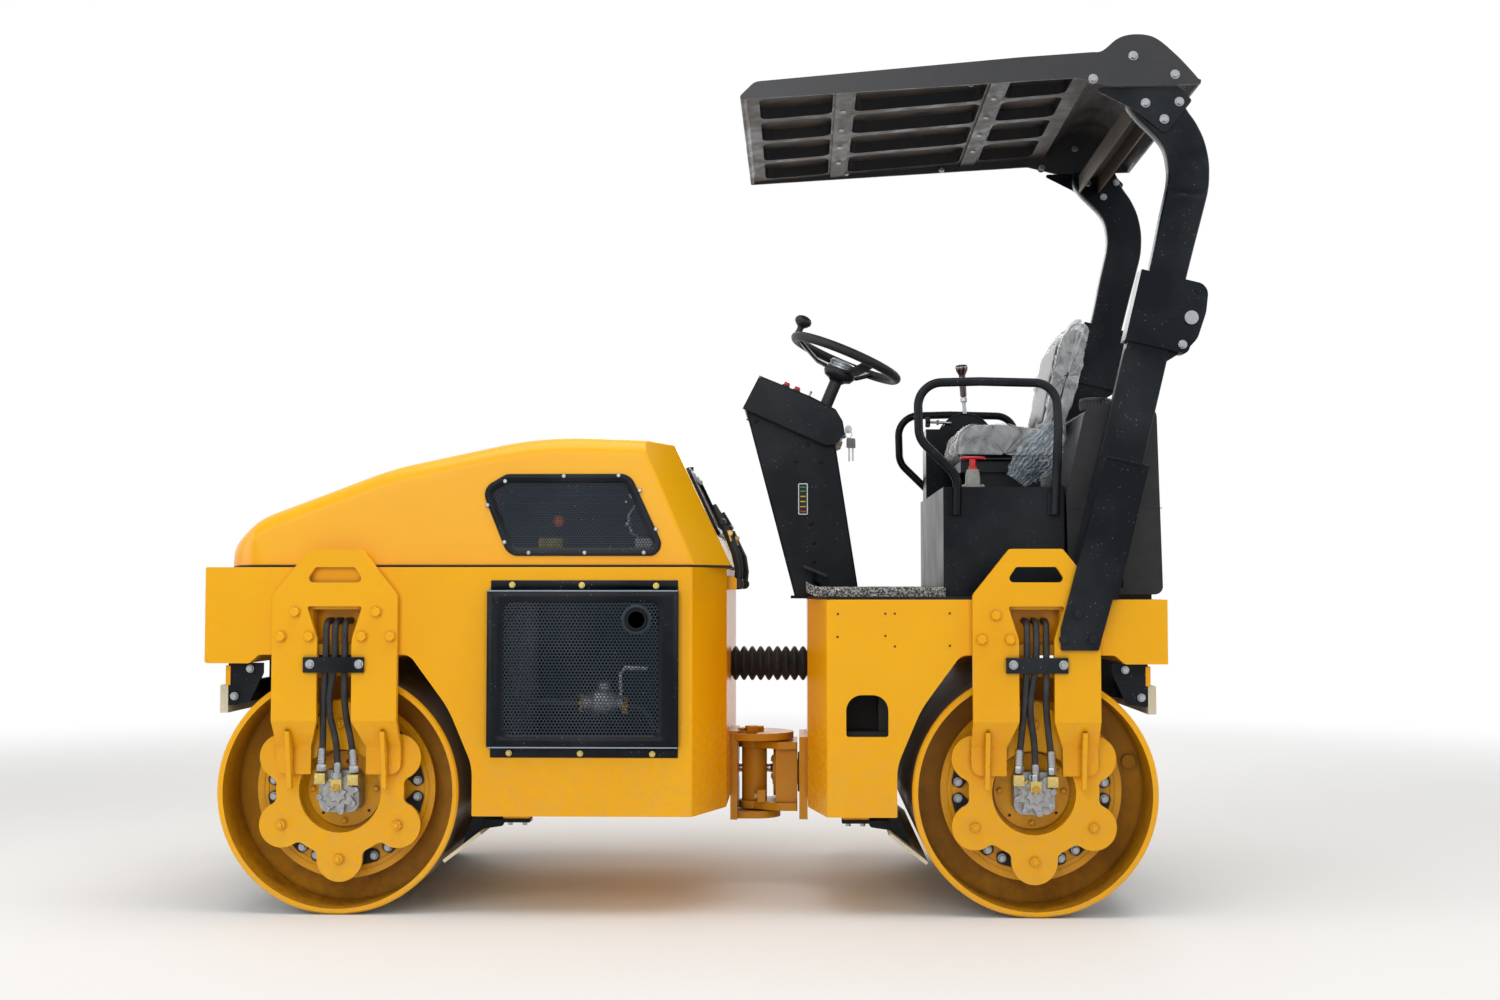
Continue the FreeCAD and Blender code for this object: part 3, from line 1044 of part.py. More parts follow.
def lower_post():
    """Lower post: sleeve over the frame, outer bolted plate, box tube, cap and the hinge lug."""
    plate_y = -FRAME_HALF_WIDTH - FORK_THICK
    outer_y = -POST_OUTER_Y
    inner_y = outer_y + POST_DEEP
    half = POST_WIDE / 2
    edge = half + 3
    wall = POST_WALL
    top = LOWER_POST_TOP
    sleeve_top = SLEEVE_TOP
    sleeve = side_prism([(*on_post(100, -edge), 0), (*on_post(sleeve_top, -edge), 0), (*on_post(sleeve_top, edge), 0),
                         (*on_post(100, edge), 0)], plate_y, -SLEEVE_INNER_Y)
    core = side_prism([(*on_post(90, wall - edge), 0), (*on_post(sleeve_top - wall, wall - edge), 0),
                       (*on_post(sleeve_top - wall, edge - wall), 0), (*on_post(90, edge - wall), 0)],
                      plate_y + wall, -SLEEVE_INNER_Y - wall)
    sleeve = sleeve.cut(core).cut(box(900, 1500, -800, 0, 600, REAR_FRAME_TOP))
    notch = side_prism([(REAR_AXLE_X, FORK_TOP_Z + 3, 0), (REAR_AXLE_X + FORK_TOP_HALF + 3, FORK_TOP_Z + 3, 0),
                        (REAR_AXLE_X + FORK_HALF + 4, FORK_SHOULDER_Z + 2, 0),
                        (REAR_AXLE_X + FORK_HALF + 4, 800, 0), (REAR_AXLE_X, 800, 0)],
                       plate_y - 1, -FRAME_HALF_WIDTH + 3)
    sleeve = sleeve.cut(notch)
    tube = side_prism([(*on_post(sleeve_top - 8, -half), 0), (*on_post(top, -half), 0), (*on_post(top, half), 0),
                       (*on_post(sleeve_top - 8, half), 0)], outer_y, inner_y)
    hollow = side_prism([(*on_post(sleeve_top - 9, wall - half), 0), (*on_post(top - wall, wall - half), 0),
                         (*on_post(top - wall, half - wall), 0), (*on_post(sleeve_top - 9, half - wall), 0)],
                        outer_y + wall, inner_y - wall)
    plate = side_prism([(POST_FOOT_X - 63, POST_FOOT_Z, 4), (POST_FOOT_X - 63, POST_FOOT_Z + 62, 8), (*on_post(sleeve_top, -edge), 3),
                        (*on_post(sleeve_top, edge), 3), (POST_FOOT_X + 42, POST_FOOT_Z, 4)], plate_y - POST_PLATE, plate_y)
    web = side_prism([(*on_post(868, half - 1), 0), (*on_post(980, half - 1), 0), (*on_post(1028, half + 17), 0),
                      (*on_post(1008, half + 70), 0), (*on_post(928, half + 60), 0), (*on_post(906, half + 36), 0)],
                     outer_y + 8, inner_y - 8)
    eyes = [disc_y(FOLD_PIVOT_X, FOLD_PIVOT_Z, 31, outer_y + 8, inner_y - 8),
            disc_y(*on_post(928, half + 36), 24, outer_y + 8, inner_y - 8)]
    lug = fuse([web] + eyes)
    lug = lug.cut(disc_y(FOLD_PIVOT_X, FOLD_PIVOT_Z, FOLD_PIN_RADIUS + PIN_CLEARANCE, outer_y - 5, inner_y + 5))
    return fuse([sleeve, tube.cut(hollow), plate, lug])


def upper_arch():
    """Upper arch: U bracket round the post's top, bent tube, and the gusset that carries the canopy."""
    outer_y = -POST_OUTER_Y
    inner_y = outer_y + POST_DEEP
    half = POST_WIDE / 2
    gap = BRACKET_GAP
    sheet = BRACKET_SHEET
    low = LOWER_POST_TOP - 80
    high = LOWER_POST_TOP + 132
    cheek = [(*on_post(low, -half - gap - sheet), 4), (*on_post(high, -half - gap - sheet), 8),
             (*on_post(high, half + 70), 36), (*on_post(high - 80, half + 80), 90),
             (*on_post(low + 52, half + 73), 50), (*on_post(low, half + 44), 24)]
    near = side_prism(cheek, outer_y - gap - sheet, outer_y - gap)
    far = side_prism(cheek, inner_y + gap, inner_y + gap + sheet)
    front = side_prism([(*on_post(low, -half - gap - sheet), 0), (*on_post(high, -half - gap - sheet), 0),
                        (*on_post(high, -half - gap), 0), (*on_post(low, -half - gap), 0)],
                       outer_y - gap - sheet, inner_y + gap + sheet)
    stub_low = LOWER_POST_TOP + 15
    stub = side_prism([(*on_post(stub_low, -half - gap), 0), (*on_post(high, -half - gap), 0),
                       (*on_post(high, half), 0), (*on_post(stub_low, half), 0)], outer_y - gap, inner_y + gap)
    arch = side_prism([
        (*on_post(high - 8, -half), 0), (*on_post(1410, -half), 120), (1398, 2236, 20), (1290, 2330, 10),
        (1300, 2392, 10), (1440, 2392, 40), (1516, 2240, 150), (*on_post(1415, half), 150),
        (*on_post(high - 8, half), 0)], outer_y, inner_y)
    gusset = side_prism([(1190, 2396, 6), (1437, 2402, 6), (1478, 2358, 10), (1395, 2262, 10), (1240, 2356, 20)],
                        outer_y - ARCH_GUSSET, outer_y)
    whole = fuse([near, far, front, stub, arch, gusset])
    bores = [disc_y(FOLD_PIVOT_X, FOLD_PIVOT_Z, FOLD_PIN_RADIUS + PIN_CLEARANCE, outer_y - 40, inner_y + 40),
             disc_y(LOCK_HOLE_X, LOCK_HOLE_Z, LOCK_HOLE_RADIUS, outer_y - 40, inner_y + 40)]
    return whole.cut(bores)


def fold_pin():
    """Pivot bolt of the folding arch."""
    outer_y = -POST_OUTER_Y
    inner_y = outer_y + POST_DEEP
    cheek = BRACKET_GAP + BRACKET_SHEET + RUNNING_GAP
    bolt = disc_y(FOLD_PIVOT_X, FOLD_PIVOT_Z, FOLD_PIN_RADIUS, outer_y - cheek - 1, inner_y + cheek + 1)
    head = disc_y(FOLD_PIVOT_X, FOLD_PIVOT_Z, 20, outer_y - cheek - 12, outer_y - cheek)
    nut = disc_y(FOLD_PIVOT_X, FOLD_PIVOT_Z, 20, inner_y + cheek, inner_y + cheek + 14)
    return fuse([bolt, head, nut])


CHANNEL_TOP = 2378.0
CANOPY_ROOF = ((200.0, 2421.0), (1222.0, 2503.0))   # two points on the roof's outer line
CANOPY_LINING = 34.0             # depth of the ribbed lining under the roof
CANOPY_POCKETS = ((212.0, 432.0), (500.0, 892.0), (960.0, 1148.0))   # x0, x1 of each row's recesses
CANOPY_ROWS = 4
CANOPY_RIB = 36.0                # between the rows
CANOPY_STRAPS = ((440.0, 490.0), (900.0, 950.0))    # x0, x1 of the straps across the lining
CANOPY_STRAP = 8.0
# Side view of the canopy: x, z, corner radius
CANOPY_TABLE = (
    (156.0, 2368.0, 6.0), (158.0, 2380.0, 14.0), (200.0, 2421.0, 40.0), (980.0, 2487.0, 900.0),
    (1222.0, 2503.0, 60.0), (1278.0, 2553.0, 40.0), (1350.0, 2553.0, 60.0), (1470.0, 2470.0, 80.0),
    (1506.0, 2404.0, 6.0), (1250.0, 2397.0, 10.0), (1140.0, 2425.0, 30.0))


def roof_z(x):
    """Height of the canopy's roof line."""
    (x0, z0), (x1, z1) = CANOPY_ROOF
    return z0 + (z1 - z0) * (x - x0) / (x1 - x0)


def under_roof(x0, x1, near, far, half):
    """Layer under the roof between two X values, from one depth to another and across both halves."""
    outline = [(x0, roof_z(x0) - near, 0), (x1, roof_z(x1) - near, 0), (x1, roof_z(x1) - far, 0),
               (x0, roof_z(x0) - far, 0)]
    return side_prism(outline, -half, half)


def canopy_lining(half):
    """Ribbed lining: rows of long recesses with round corners, and the straps across them."""
    low = CANOPY_SKIN + CANOPY_LINING
    start, end = CANOPY_POCKETS[0][0] - 40, CANOPY_POCKETS[-1][1] + 50
    layer = under_roof(start, end, CANOPY_SKIN - 2, low, half)
    pitch = (2 * half - CANOPY_RIB) / CANOPY_ROWS
    for x0, x1 in CANOPY_POCKETS:
        for row in range(CANOPY_ROWS):
            y0 = -half + CANOPY_RIB + row * pitch
            y1 = y0 + pitch - CANOPY_RIB
            layer = layer.cut(plan_prism([(x0, y0, 30), (x1, y0, 30), (x1, y1, 30), (x0, y1, 30)], 2300, 2600))
    straps = [under_roof(x0, x1, low - 1, low + CANOPY_STRAP, half) for x0, x1 in CANOPY_STRAPS]
    return fuse([layer] + straps)


def canopy():
    """Moulded canopy: a tray with a ribbed lining, its raised rear end over the arches' gussets."""
    half = CANOPY_HALF
    wall = half - POST_OUTER_Y - ARCH_GUSSET - RUNNING_GAP
    outer = side_prism(list(CANOPY_TABLE), -half, half)
    inner = Part.Face(rounded_wire(list(CANOPY_TABLE), lambda p: V(p.x, -half + wall, p.y)))
    inner = inner.makeOffset2D(-CANOPY_SKIN).extrude(V(0, 2 * (half - wall), 0))
    below = inner.fuse([inner.translated(V(0, 0, -9 * i)) for i in range(1, 6)])
    shell = outer.cut(below.removeSplitter())
    return fuse([shell, canopy_lining(half - wall + 1).common(outer)])


def cross_channel():
    """Channel between the two arches' tops, under the canopy's rear end."""
    inner_y = -POST_OUTER_Y + POST_DEEP
    outer = box(1310, 1382, inner_y, -inner_y, 2318, CHANNEL_TOP)
    return outer.cut(box(1316, 1376, inner_y - 1, 1 - inner_y, 2310, CHANNEL_TOP - 6))


# Bellows between the frames


BELLOWS_Z = 695.0
BELLOWS_RADIUS = 55.0
BELLOWS_PITCH = 22.4


def bellows(x0, x1):
    """Ribbed conduit between two X values, as one revolved outline."""
    count = int(round((x1 - x0) / BELLOWS_PITCH))
    pitch = (x1 - x0) / count
    points = [V(x0, 0, 0), V(x0, 0, BELLOWS_RADIUS - 10)]
    for i in range(count):
        points.append(V(x0 + (i + 0.5) * pitch, 0, BELLOWS_RADIUS))
        points.append(V(x0 + (i + 1) * pitch, 0, BELLOWS_RADIUS - 10))
    points.append(V(x1, 0, 0))
    points.append(points[0])
    face = Part.Face(Part.makePolygon(points))
    solid = face.revolve(V(0, 0, 0), V(1, 0, 0), 360)
    solid.translate(V(0, 0, BELLOWS_Z))
    return solid


SCRAPER_HALF = DRUM_WIDTH / 2 - 8.0
SCRAPER_PLATE = 10.0
INNER_BLADE = ((304.0, 156.0), (410.0, 237.0))      # tip and heel of the inner blade, from the axle: across, z
INNER_BRACKETS = (-520.0, -180.0, 180.0, 520.0)


def scraper_plates(axle_x, outward):
    """Brackets under a frame's end box and the bar between them that holds the blade."""
    def at(distance):
        """X at a distance from the axle, outwards."""
        return axle_x + outward * distance

    outline = [(at(222), END_BOX_BOTTOM + 2, 0), (at(222), 690, 10), (at(262), 604, 14), (at(323), 596, 6),
               (at(323), END_BOX_BOTTOM + 2, 0)]
    plates = [side_prism(outline, y - SCRAPER_PLATE / 2, y + SCRAPER_PLATE / 2)
              for y in (-SCRAPER_HALF + 5, -190, 190, SCRAPER_HALF - 5)]
    low, high = sorted((at(311), at(323)))
    return fuse(plates + [box(low, high, -SCRAPER_HALF, SCRAPER_HALF, 598, 660)]).common(
        box(axle_x - 500, axle_x + 500, -700, 700, 500, END_BOX_BOTTOM))


def scraper_blade(axle_x, outward):
    """Moulded blade across the drum, on the outside of its bar."""
    low, high = sorted((axle_x + outward * 323, axle_x + outward * 346))
    return box(low, high, -SCRAPER_HALF, SCRAPER_HALF, 576, 656)


def inner_scraper(axle_x, inward):
    """Leaning blade on the drum's hitch side, and the brackets that hang it from the frame."""
    def at(distance):
        """X at a distance from the axle, towards the hitch."""
        return axle_x + inward * distance

    (tip, tip_z), (heel, heel_z) = INNER_BLADE
    length = math.hypot(heel - tip, heel_z - tip_z)
    across = SCRAPER_PLATE * (heel_z - tip_z) / length
    upright = SCRAPER_PLATE * (heel - tip) / length
    blade = side_prism([(at(tip), tip_z, 0), (at(heel), heel_z, 0), (at(heel + across), heel_z - upright, 0),
                        (at(tip + across), tip_z - upright, 0)], -SCRAPER_HALF, SCRAPER_HALF)
    outline = [(at(heel - 26), FRAME_BOTTOM, 0), (at(heel + 66), FRAME_BOTTOM, 0), (at(heel + 58), heel_z + 8, 10),
               (at(heel), heel_z, 0), (at(heel - 60), heel_z - 60 * (heel_z - tip_z) / (heel - tip), 0)]
    brackets = [side_prism(outline, y - SCRAPER_PLATE / 2, y + SCRAPER_PLATE / 2) for y in INNER_BRACKETS]
    return blade, brackets


def build():
    """All pieces of the machine by node name."""
    nodes = {}
    nodes["front_frame"] = front_frame()
    nodes["hitch_clevis"] = clevis()
    nodes["knuckle"] = knuckle()
    nodes["steer_barrel"] = steer_barrel()
    nodes["steer_rod"] = steer_rod()
    nodes["osc_shaft"] = osc_shaft()
    nodes["rear_frame"] = rear_frame()
    nodes["engine"] = engine()
    nodes["vent_pans"] = both_sides(vent_pan())
    nodes["exhaust_pipe"] = exhaust()
    nodes["hood"] = hood()
    nodes["hood_grilles"] = Part.Compound(solids_of([both_sides(hood_grille()), rear_grille()]))
    nodes["hood_seal"] = hood_seal()
    for name, axle_x in (("front", FRONT_AXLE_X), ("rear", REAR_AXLE_X)):
        nodes[name + "_drum"] = drum(axle_x)
        nodes[name + "_forks"] = both_sides(fork_with_star(axle_x))
        nodes[name + "_buffers"] = both_sides(buffers(axle_x))
        nodes[name + "_drives"] = both_sides(motor(axle_x))
        nodes[name + "_hoses"] = both_sides(hoses(axle_x))
    nodes["floor_plate"] = floor_plate()
    nodes["floor_mat"] = floor_mat()
    nodes["console"] = console()
    nodes["steering_wheel"] = steering_wheel().cut(nodes["console"])
    nodes["seat_pedestal"] = pedestal()
    nodes["travel_lever"] = travel_lever()
    nodes["seat_base"] = seat_base()
    nodes["seat_cushions"] = Part.Compound([seat_cushion(), seat_back()])
    rail = fuse([hand_rail()] + rail_feet())
    nodes["hand_rails"] = both_sides(rail)
    nodes["rear_tank"] = rear_tank()
    nodes["lower_posts"] = both_sides(lower_post())
    nodes["upper_arches"] = both_sides(upper_arch())
    nodes["arch_channel"] = cross_channel()
    nodes["fold_pins"] = both_sides(fold_pin())
    nodes["canopy"] = canopy()
    middle = HITCH_X + 60
    nodes["bellows_front"] = bellows(FRONT_FRAME_REAR_X, middle)
    nodes["bellows_rear"] = bellows(middle + RUNNING_GAP, REAR_FRAME_FRONT_X)
    for name, axle_x, outward in (("front", FRONT_AXLE_X, -1), ("rear", REAR_AXLE_X, 1)):
        inner_blade, brackets = inner_scraper(axle_x, -outward)
        nodes[name + "_scraper_bars"] = Part.Compound(solids_of([scraper_plates(axle_x, outward)] + brackets))
        nodes[name + "_scraper_blades"] = Part.Compound([scraper_blade(axle_x, outward), inner_blade])
    return nodes


def main():
    """Build every piece, centre the machine over the origin and write one file for each piece."""
    nodes = build()
    whole = Part.Compound(list(nodes.values()))
    extent = whole.optimalBoundingBox(True)
    shift = V(-(extent.XMin + extent.XMax) / 2, 0, 0)
    os.makedirs("parts", exist_ok=True)
    for name, shape in nodes.items():
        shape.translate(shift)
        shape.exportStep("parts/" + name + ".step")
    print("shift", round(shift.x, 3), "box", extent)


main()
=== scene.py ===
"""Looks of a small articulated tandem road roller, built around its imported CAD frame.

Lengths in the classes and tables are millimetres in the part's own layout: X from the middle of the wheelbase
towards the operator's end, Y across the machine and Z up from the ground. at() turns them into the frame's metres.
"""

import logging
import math
import random
from dataclasses import dataclass
from enum import Enum
from functools import cached_property
from typing import Callable, Iterable, Sequence

import bmesh
import bpy
from mathutils import Matrix, Vector, noise


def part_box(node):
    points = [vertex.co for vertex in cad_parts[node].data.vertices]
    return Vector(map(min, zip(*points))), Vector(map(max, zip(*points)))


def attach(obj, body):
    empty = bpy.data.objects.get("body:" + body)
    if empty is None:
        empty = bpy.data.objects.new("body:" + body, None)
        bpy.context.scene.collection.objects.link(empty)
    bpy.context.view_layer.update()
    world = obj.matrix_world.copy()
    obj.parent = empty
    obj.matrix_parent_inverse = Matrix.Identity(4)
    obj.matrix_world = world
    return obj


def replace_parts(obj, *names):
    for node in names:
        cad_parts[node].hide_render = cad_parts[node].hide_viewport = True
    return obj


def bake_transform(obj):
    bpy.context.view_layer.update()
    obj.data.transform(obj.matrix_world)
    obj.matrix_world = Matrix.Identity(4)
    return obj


LOG = logging.getLogger("roller")
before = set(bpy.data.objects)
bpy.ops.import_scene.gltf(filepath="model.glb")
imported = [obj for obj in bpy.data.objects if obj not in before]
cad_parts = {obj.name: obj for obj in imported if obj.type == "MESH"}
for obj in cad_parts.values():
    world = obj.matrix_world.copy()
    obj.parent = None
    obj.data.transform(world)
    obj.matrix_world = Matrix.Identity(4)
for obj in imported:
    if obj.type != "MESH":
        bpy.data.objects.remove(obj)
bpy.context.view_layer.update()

Pair = tuple[float, float]
Corner = tuple[float, float, float]

WHEELBASE = 2000.0
AXLE_Z = 350.0
FRONT_AXLE = -WHEELBASE / 2
REAR_AXLE = WHEELBASE / 2
FLANK = 630.0
BRACKET_FACE = 652.0
SHIFT = sum(p.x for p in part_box("front_drum")) / 2 + WHEELBASE / 2000.0


class Body(Enum):
    """Moving bodies of the frame that new pieces ride on."""

    REAR = "rear_end"
    FRONT = "front_end"
    KNUCKLE = "knuckle_body"
    FRONT_ROLL = "front_roll"
    REAR_ROLL = "rear_roll"
    HOOD = "hood_body"
    CANOPY = "canopy_body"


class Finish(Enum):
    """Finishes of the machine, named as the record's material slots where it has one."""

    YELLOW = "yellow_paint"
    HITCH_YELLOW = "hitch_yellow"
    BLACK = "black_paint"
    GREY = "grey_paint"
    DRUM = "drum_steel"
    ZINC = "zinc_steel"
    PASSIVATED = "yellow_zinc"
    CAST = "cast_aluminium"
    BRASS = "brass"
    CHROME = "chrome_rod"
    RUBBER = "rubber"
    HOSE = "hose_rubber"
    PLASTIC = "black_plastic"
    CREAM = "cream_plastic"
    CANOPY = "canopy_plastic"
    MAT = "mat_fabric"
    VINYL = "seat_vinyl"
    FILM = "clear_film"
    BAG = "grey_film"
    WOOD = "lever_wood"
    RED = "red_plastic"
    SWITCH_GREY = "grey_plastic"
    LAMP_YELLOW = "lamp_yellow"
    LAMP_GREEN = "lamp_green"
    ORANGE = "orange_lens"
    # near-black, mostly painted shade in enclosed places
    DARK = "dark_inside"
    # near-black: soot on the exhaust, and painted shade of the enclosed bay on the engine
    SOOT_AND_SHADE = "sooty_shaded_paint"
    # darker yellow painted as shade inside the drums, with real dust on it
    DRUM_SIDE_SHADE = "dusty_shaded_drum_paint"
    MESH = "pressed_mesh"
    CHANNEL = "dusty_channel"
    # pale painted highlight for reflections on folded edges
    FOLD_HIGHLIGHT = "painted_fold_highlight"
    FLOOR = "studio_floor"


def at(x: float, y: float, z: float) -> Vector:
    """Point of the layout in the frame's metres.

    Args:
        x: distance from the middle of the wheelbase, mm.
        y: distance from the machine's middle plane, mm.
        z: height over the ground, mm.

    Returns:
        The point in metres.
    """
    return Vector((x / 1000.0 + SHIFT, y / 1000.0, z / 1000.0))


def linear(code: str) -> tuple[float, float, float, float]:
    """Linear colour of an sRGB hex code.

    Args:
        code: six hex digits.

    Returns:
        Red, green, blue and an alpha of 1.
    """
    parts = [int(code[i:i + 2], 16) / 255.0 for i in (0, 2, 4)]
    curve = [c / 12.92 if c <= 0.04045 else ((c + 0.055) / 1.055) ** 2.4 for c in parts]
    return (curve[0], curve[1], curve[2], 1.0)


def per_mm(size: float) -> float:
    """Texture scale at which a pattern repeats about once in this many millimetres."""
    return 1000.0 / size


# Materials


class Graph:
    """Node tree of one material round its Principled shader."""

    def __init__(self, name: str) -> None:
        """Start a material of this name."""
        self.material = bpy.data.materials.new(name)
        self.material.use_nodes = True
        self.tree = self.material.node_tree
        self.shader = self.tree.nodes["Principled BSDF"]
        self.place = self.add("ShaderNodeTexCoord", out="Object")

    def add(self, kind: str, inputs: dict[int | str, object] | None = None, out: int | str = 0,
            **settings: object) -> bpy.types.NodeSocket:
        """Add a node with its settings and links.

        Args:
            kind: the node's type.
            inputs: a value or a source socket for each input, by name or index.
            out: which output to hand back.
            **settings: the node's own attributes.

        Returns:
            The output socket.
        """
        node = self.tree.nodes.new(kind)
        for key, value in settings.items():
            setattr(node, key, value)
        for key, value in (inputs or {}).items():
            self.feed(node.inputs[key], value)
        return node.outputs[out]

    def feed(self, socket: bpy.types.NodeSocket, value: object) -> None:
        """Link a source to a socket, or set its value."""
        if isinstance(value, bpy.types.NodeSocket):
            self.tree.links.new(value, socket)
        else:
            socket.default_value = value

    def dress(self, inputs: dict[str, object]) -> bpy.types.Material:
        """Feed the shader's own sockets.

        Args:
            inputs: values or source sockets by the shader's socket names.

        Returns:
            The finished material.
        """
        for key, value in inputs.items():
            self.feed(self.shader.inputs[key], value)
        return self.material


@dataclass(frozen=True)
class Enamel:
    """Sprayed two-pack enamel: glossy with a slight orange peel, dust where the machine has stood, and painted shade in
    its crevices.
    """

    name: str
    colour: str
    shade: str
    roughness: float = 0.24
    dusty: float = 0.4
    dust: str = "b3a078"
    # brown of the painted shade in crevices and seams
    painted_crevice_shade: str = "5a3c08"

    def make(self) -> bpy.types.Material:
        """Build it; the dust lies low on the machine and on what faces up, and takes the gloss off there. Crevices are
        darkened as painted shade, found by ambient occlusion.
        """
        g = Graph(self.name)
        broad = g.add("ShaderNodeTexNoise", {"Vector": g.place, "Scale": per_mm(450), "Detail": 3.0})
        fine = g.add("ShaderNodeTexNoise", {"Vector": g.place, "Scale": per_mm(38), "Detail": 7.0,
                                            "Roughness": 0.7})
        tone = g.add("ShaderNodeMapRange", {0: broad, 1: 0.35, 2: 0.7, 3: 0.0, 4: 0.8})
        body = g.add("ShaderNodeMix", {0: tone, 6: linear(self.colour), 7: linear(self.shade)}, 2,
                     data_type="RGBA")
        height = g.add("ShaderNodeSeparateXYZ", {0: g.place}, "Z")
        low = g.add("ShaderNodeMapRange", {0: height, 1: 0.02, 2: 0.62, 3: 1.0, 4: 0.1})
        cloud = g.add("ShaderNodeMapRange", {0: fine, 1: 0.4, 2: 0.78, 3: 0.0, 4: 1.0})
        settled = g.add("ShaderNodeMath", {0: cloud, 1: low}, operation="MULTIPLY")
        up = g.add("ShaderNodeSeparateXYZ", {0: g.add("ShaderNodeNewGeometry", out="Normal")}, "Z")
        lying = g.add("ShaderNodeMapRange", {0: up, 1: 0.5, 2: 1.0, 3: 0.0, 4: 0.22})
        top = g.add("ShaderNodeMath", {0: cloud, 1: lying, 2: settled}, operation="MULTIPLY_ADD")
        share = g.add("ShaderNodeMath", {0: top, 1: self.dusty}, operation="MULTIPLY")
        dusted = g.add("ShaderNodeMix", {0: share, 6: body, 7: linear(self.dust)}, 2, data_type="RGBA")
        # painted shade: ambient occlusion darkens crevices, seams and the feet of bolts towards a dark brown
        open_ = g.add("ShaderNodeAmbientOcclusion", {"Distance": 0.02}, "AO")
        painted_shade_share = g.add("ShaderNodeMapRange", {0: open_, 1: 0.35, 2: 0.85, 3: 0.55, 4: 0.0})
        colour = g.add("ShaderNodeMix", {0: painted_shade_share, 6: dusted, 7: linear(self.painted_crevice_shade)}, 2, data_type="RGBA")
        rough = g.add("ShaderNodeMapRange", {0: top, 1: 0.0, 2: 1.0, 3: self.roughness,
                                             4: self.roughness + 0.35})
        peel = g.add("ShaderNodeTexNoise", {"Vector": g.place, "Scale": per_mm(7), "Detail": 1.0})
        skin = g.add("ShaderNodeBump", {"Height": peel, "Distance": 0.0002, "Strength": 0.25}, "Normal")
        return g.dress({"Base Color": colour, "Roughness": rough, "IOR": 1.36, "Normal": skin})


@dataclass(frozen=True)
class PowderCoat:
    """Black powder coat on folded steel: satin, faintly pebbled, with pale dust specks and water marks."""

    name: str
    colour: str
    roughness: float = 0.34
    specks: float = 0.5
    mark: str = "9aa0a6"

    def make(self) -> bpy.types.Material:
        """Build it; the specks, a millimetre or two across, are what gives the dark sheet its scale."""
        g = Graph(self.name)
        broad = g.add("ShaderNodeTexNoise", {"Vector": g.place, "Scale": per_mm(280), "Detail": 5.0})
        dots = g.add("ShaderNodeTexVoronoi", {"Vector": g.place, "Scale": per_mm(13)}, "Distance")
        gate = g.add("ShaderNodeTexNoise", {"Vector": g.place, "Scale": per_mm(70), "Detail": 5.0})
        dot = g.add("ShaderNodeMapRange", {0: dots, 1: 0.07, 2: 0.13, 3: 1.0, 4: 0.0})
        here = g.add("ShaderNodeMapRange", {0: gate, 1: 0.47, 2: 0.62, 3: 0.0, 4: self.specks})
        speck = g.add("ShaderNodeMath", {0: dot, 1: here}, operation="MULTIPLY")
        haze = g.add("ShaderNodeMapRange", {0: broad, 1: 0.42, 2: 0.75, 3: 0.0, 4: 0.07})
        share = g.add("ShaderNodeMath", {0: speck, 1: haze}, operation="ADD")
        colour = g.add("ShaderNodeMix", {0: share, 6: linear(self.colour), 7: linear(self.mark)}, 2,
                       data_type="RGBA")
        rough = g.add("ShaderNodeMapRange", {0: broad, 1: 0.3, 2: 0.75, 3: self.roughness - 0.07,
                                             4: self.roughness + 0.12})
        grit = g.add("ShaderNodeTexNoise", {"Vector": g.place, "Scale": per_mm(3.5), "Detail": 1.0})
        skin = g.add("ShaderNodeBump", {"Height": grit, "Distance": 0.00015, "Strength": 0.4}, "Normal")
        return g.dress({"Base Color": colour, "Roughness": rough, "IOR": 1.25, "Normal": skin})


@dataclass(frozen=True)
class RolledSteel:
    """Bare rolled steel of a drum's running face, scored round and round by the road."""

    name: str
    colour: str = "8d8a87"
    rust: str = "64523f"

    def make(self) -> bpy.types.Material:
        """Build it; scores round the drum stretch the highlight, and dried mud clouds it."""
        g = Graph(self.name)
        across = g.add("ShaderNodeMapping", {"Vector": g.place, "Scale": (1.5, 140.0, 1.5)})
        scores = g.add("ShaderNodeTexNoise", {"Vector": across, "Scale": 3.0, "Detail": 6.0, "Roughness": 0.7})
        broad = g.add("ShaderNodeTexNoise", {"Vector": g.place, "Scale": per_mm(160), "Detail": 6.0})
        stain = g.add("ShaderNodeMapRange", {0: broad, 1: 0.45, 2: 0.75, 3: 0.0, 4: 0.7})
        colour = g.add("ShaderNodeMix", {0: stain, 6: linear(self.colour), 7: linear(self.rust)}, 2,
                       data_type="RGBA")
        rough = g.add("ShaderNodeMapRange", {0: scores, 1: 0.3, 2: 0.7, 3: 0.36, 4: 0.58})
        skin = g.add("ShaderNodeBump", {"Height": scores, "Distance": 0.0004, "Strength": 0.4}, "Normal")
        return g.dress({"Base Color": colour, "Metallic": 0.8, "Roughness": rough, "Normal": skin})


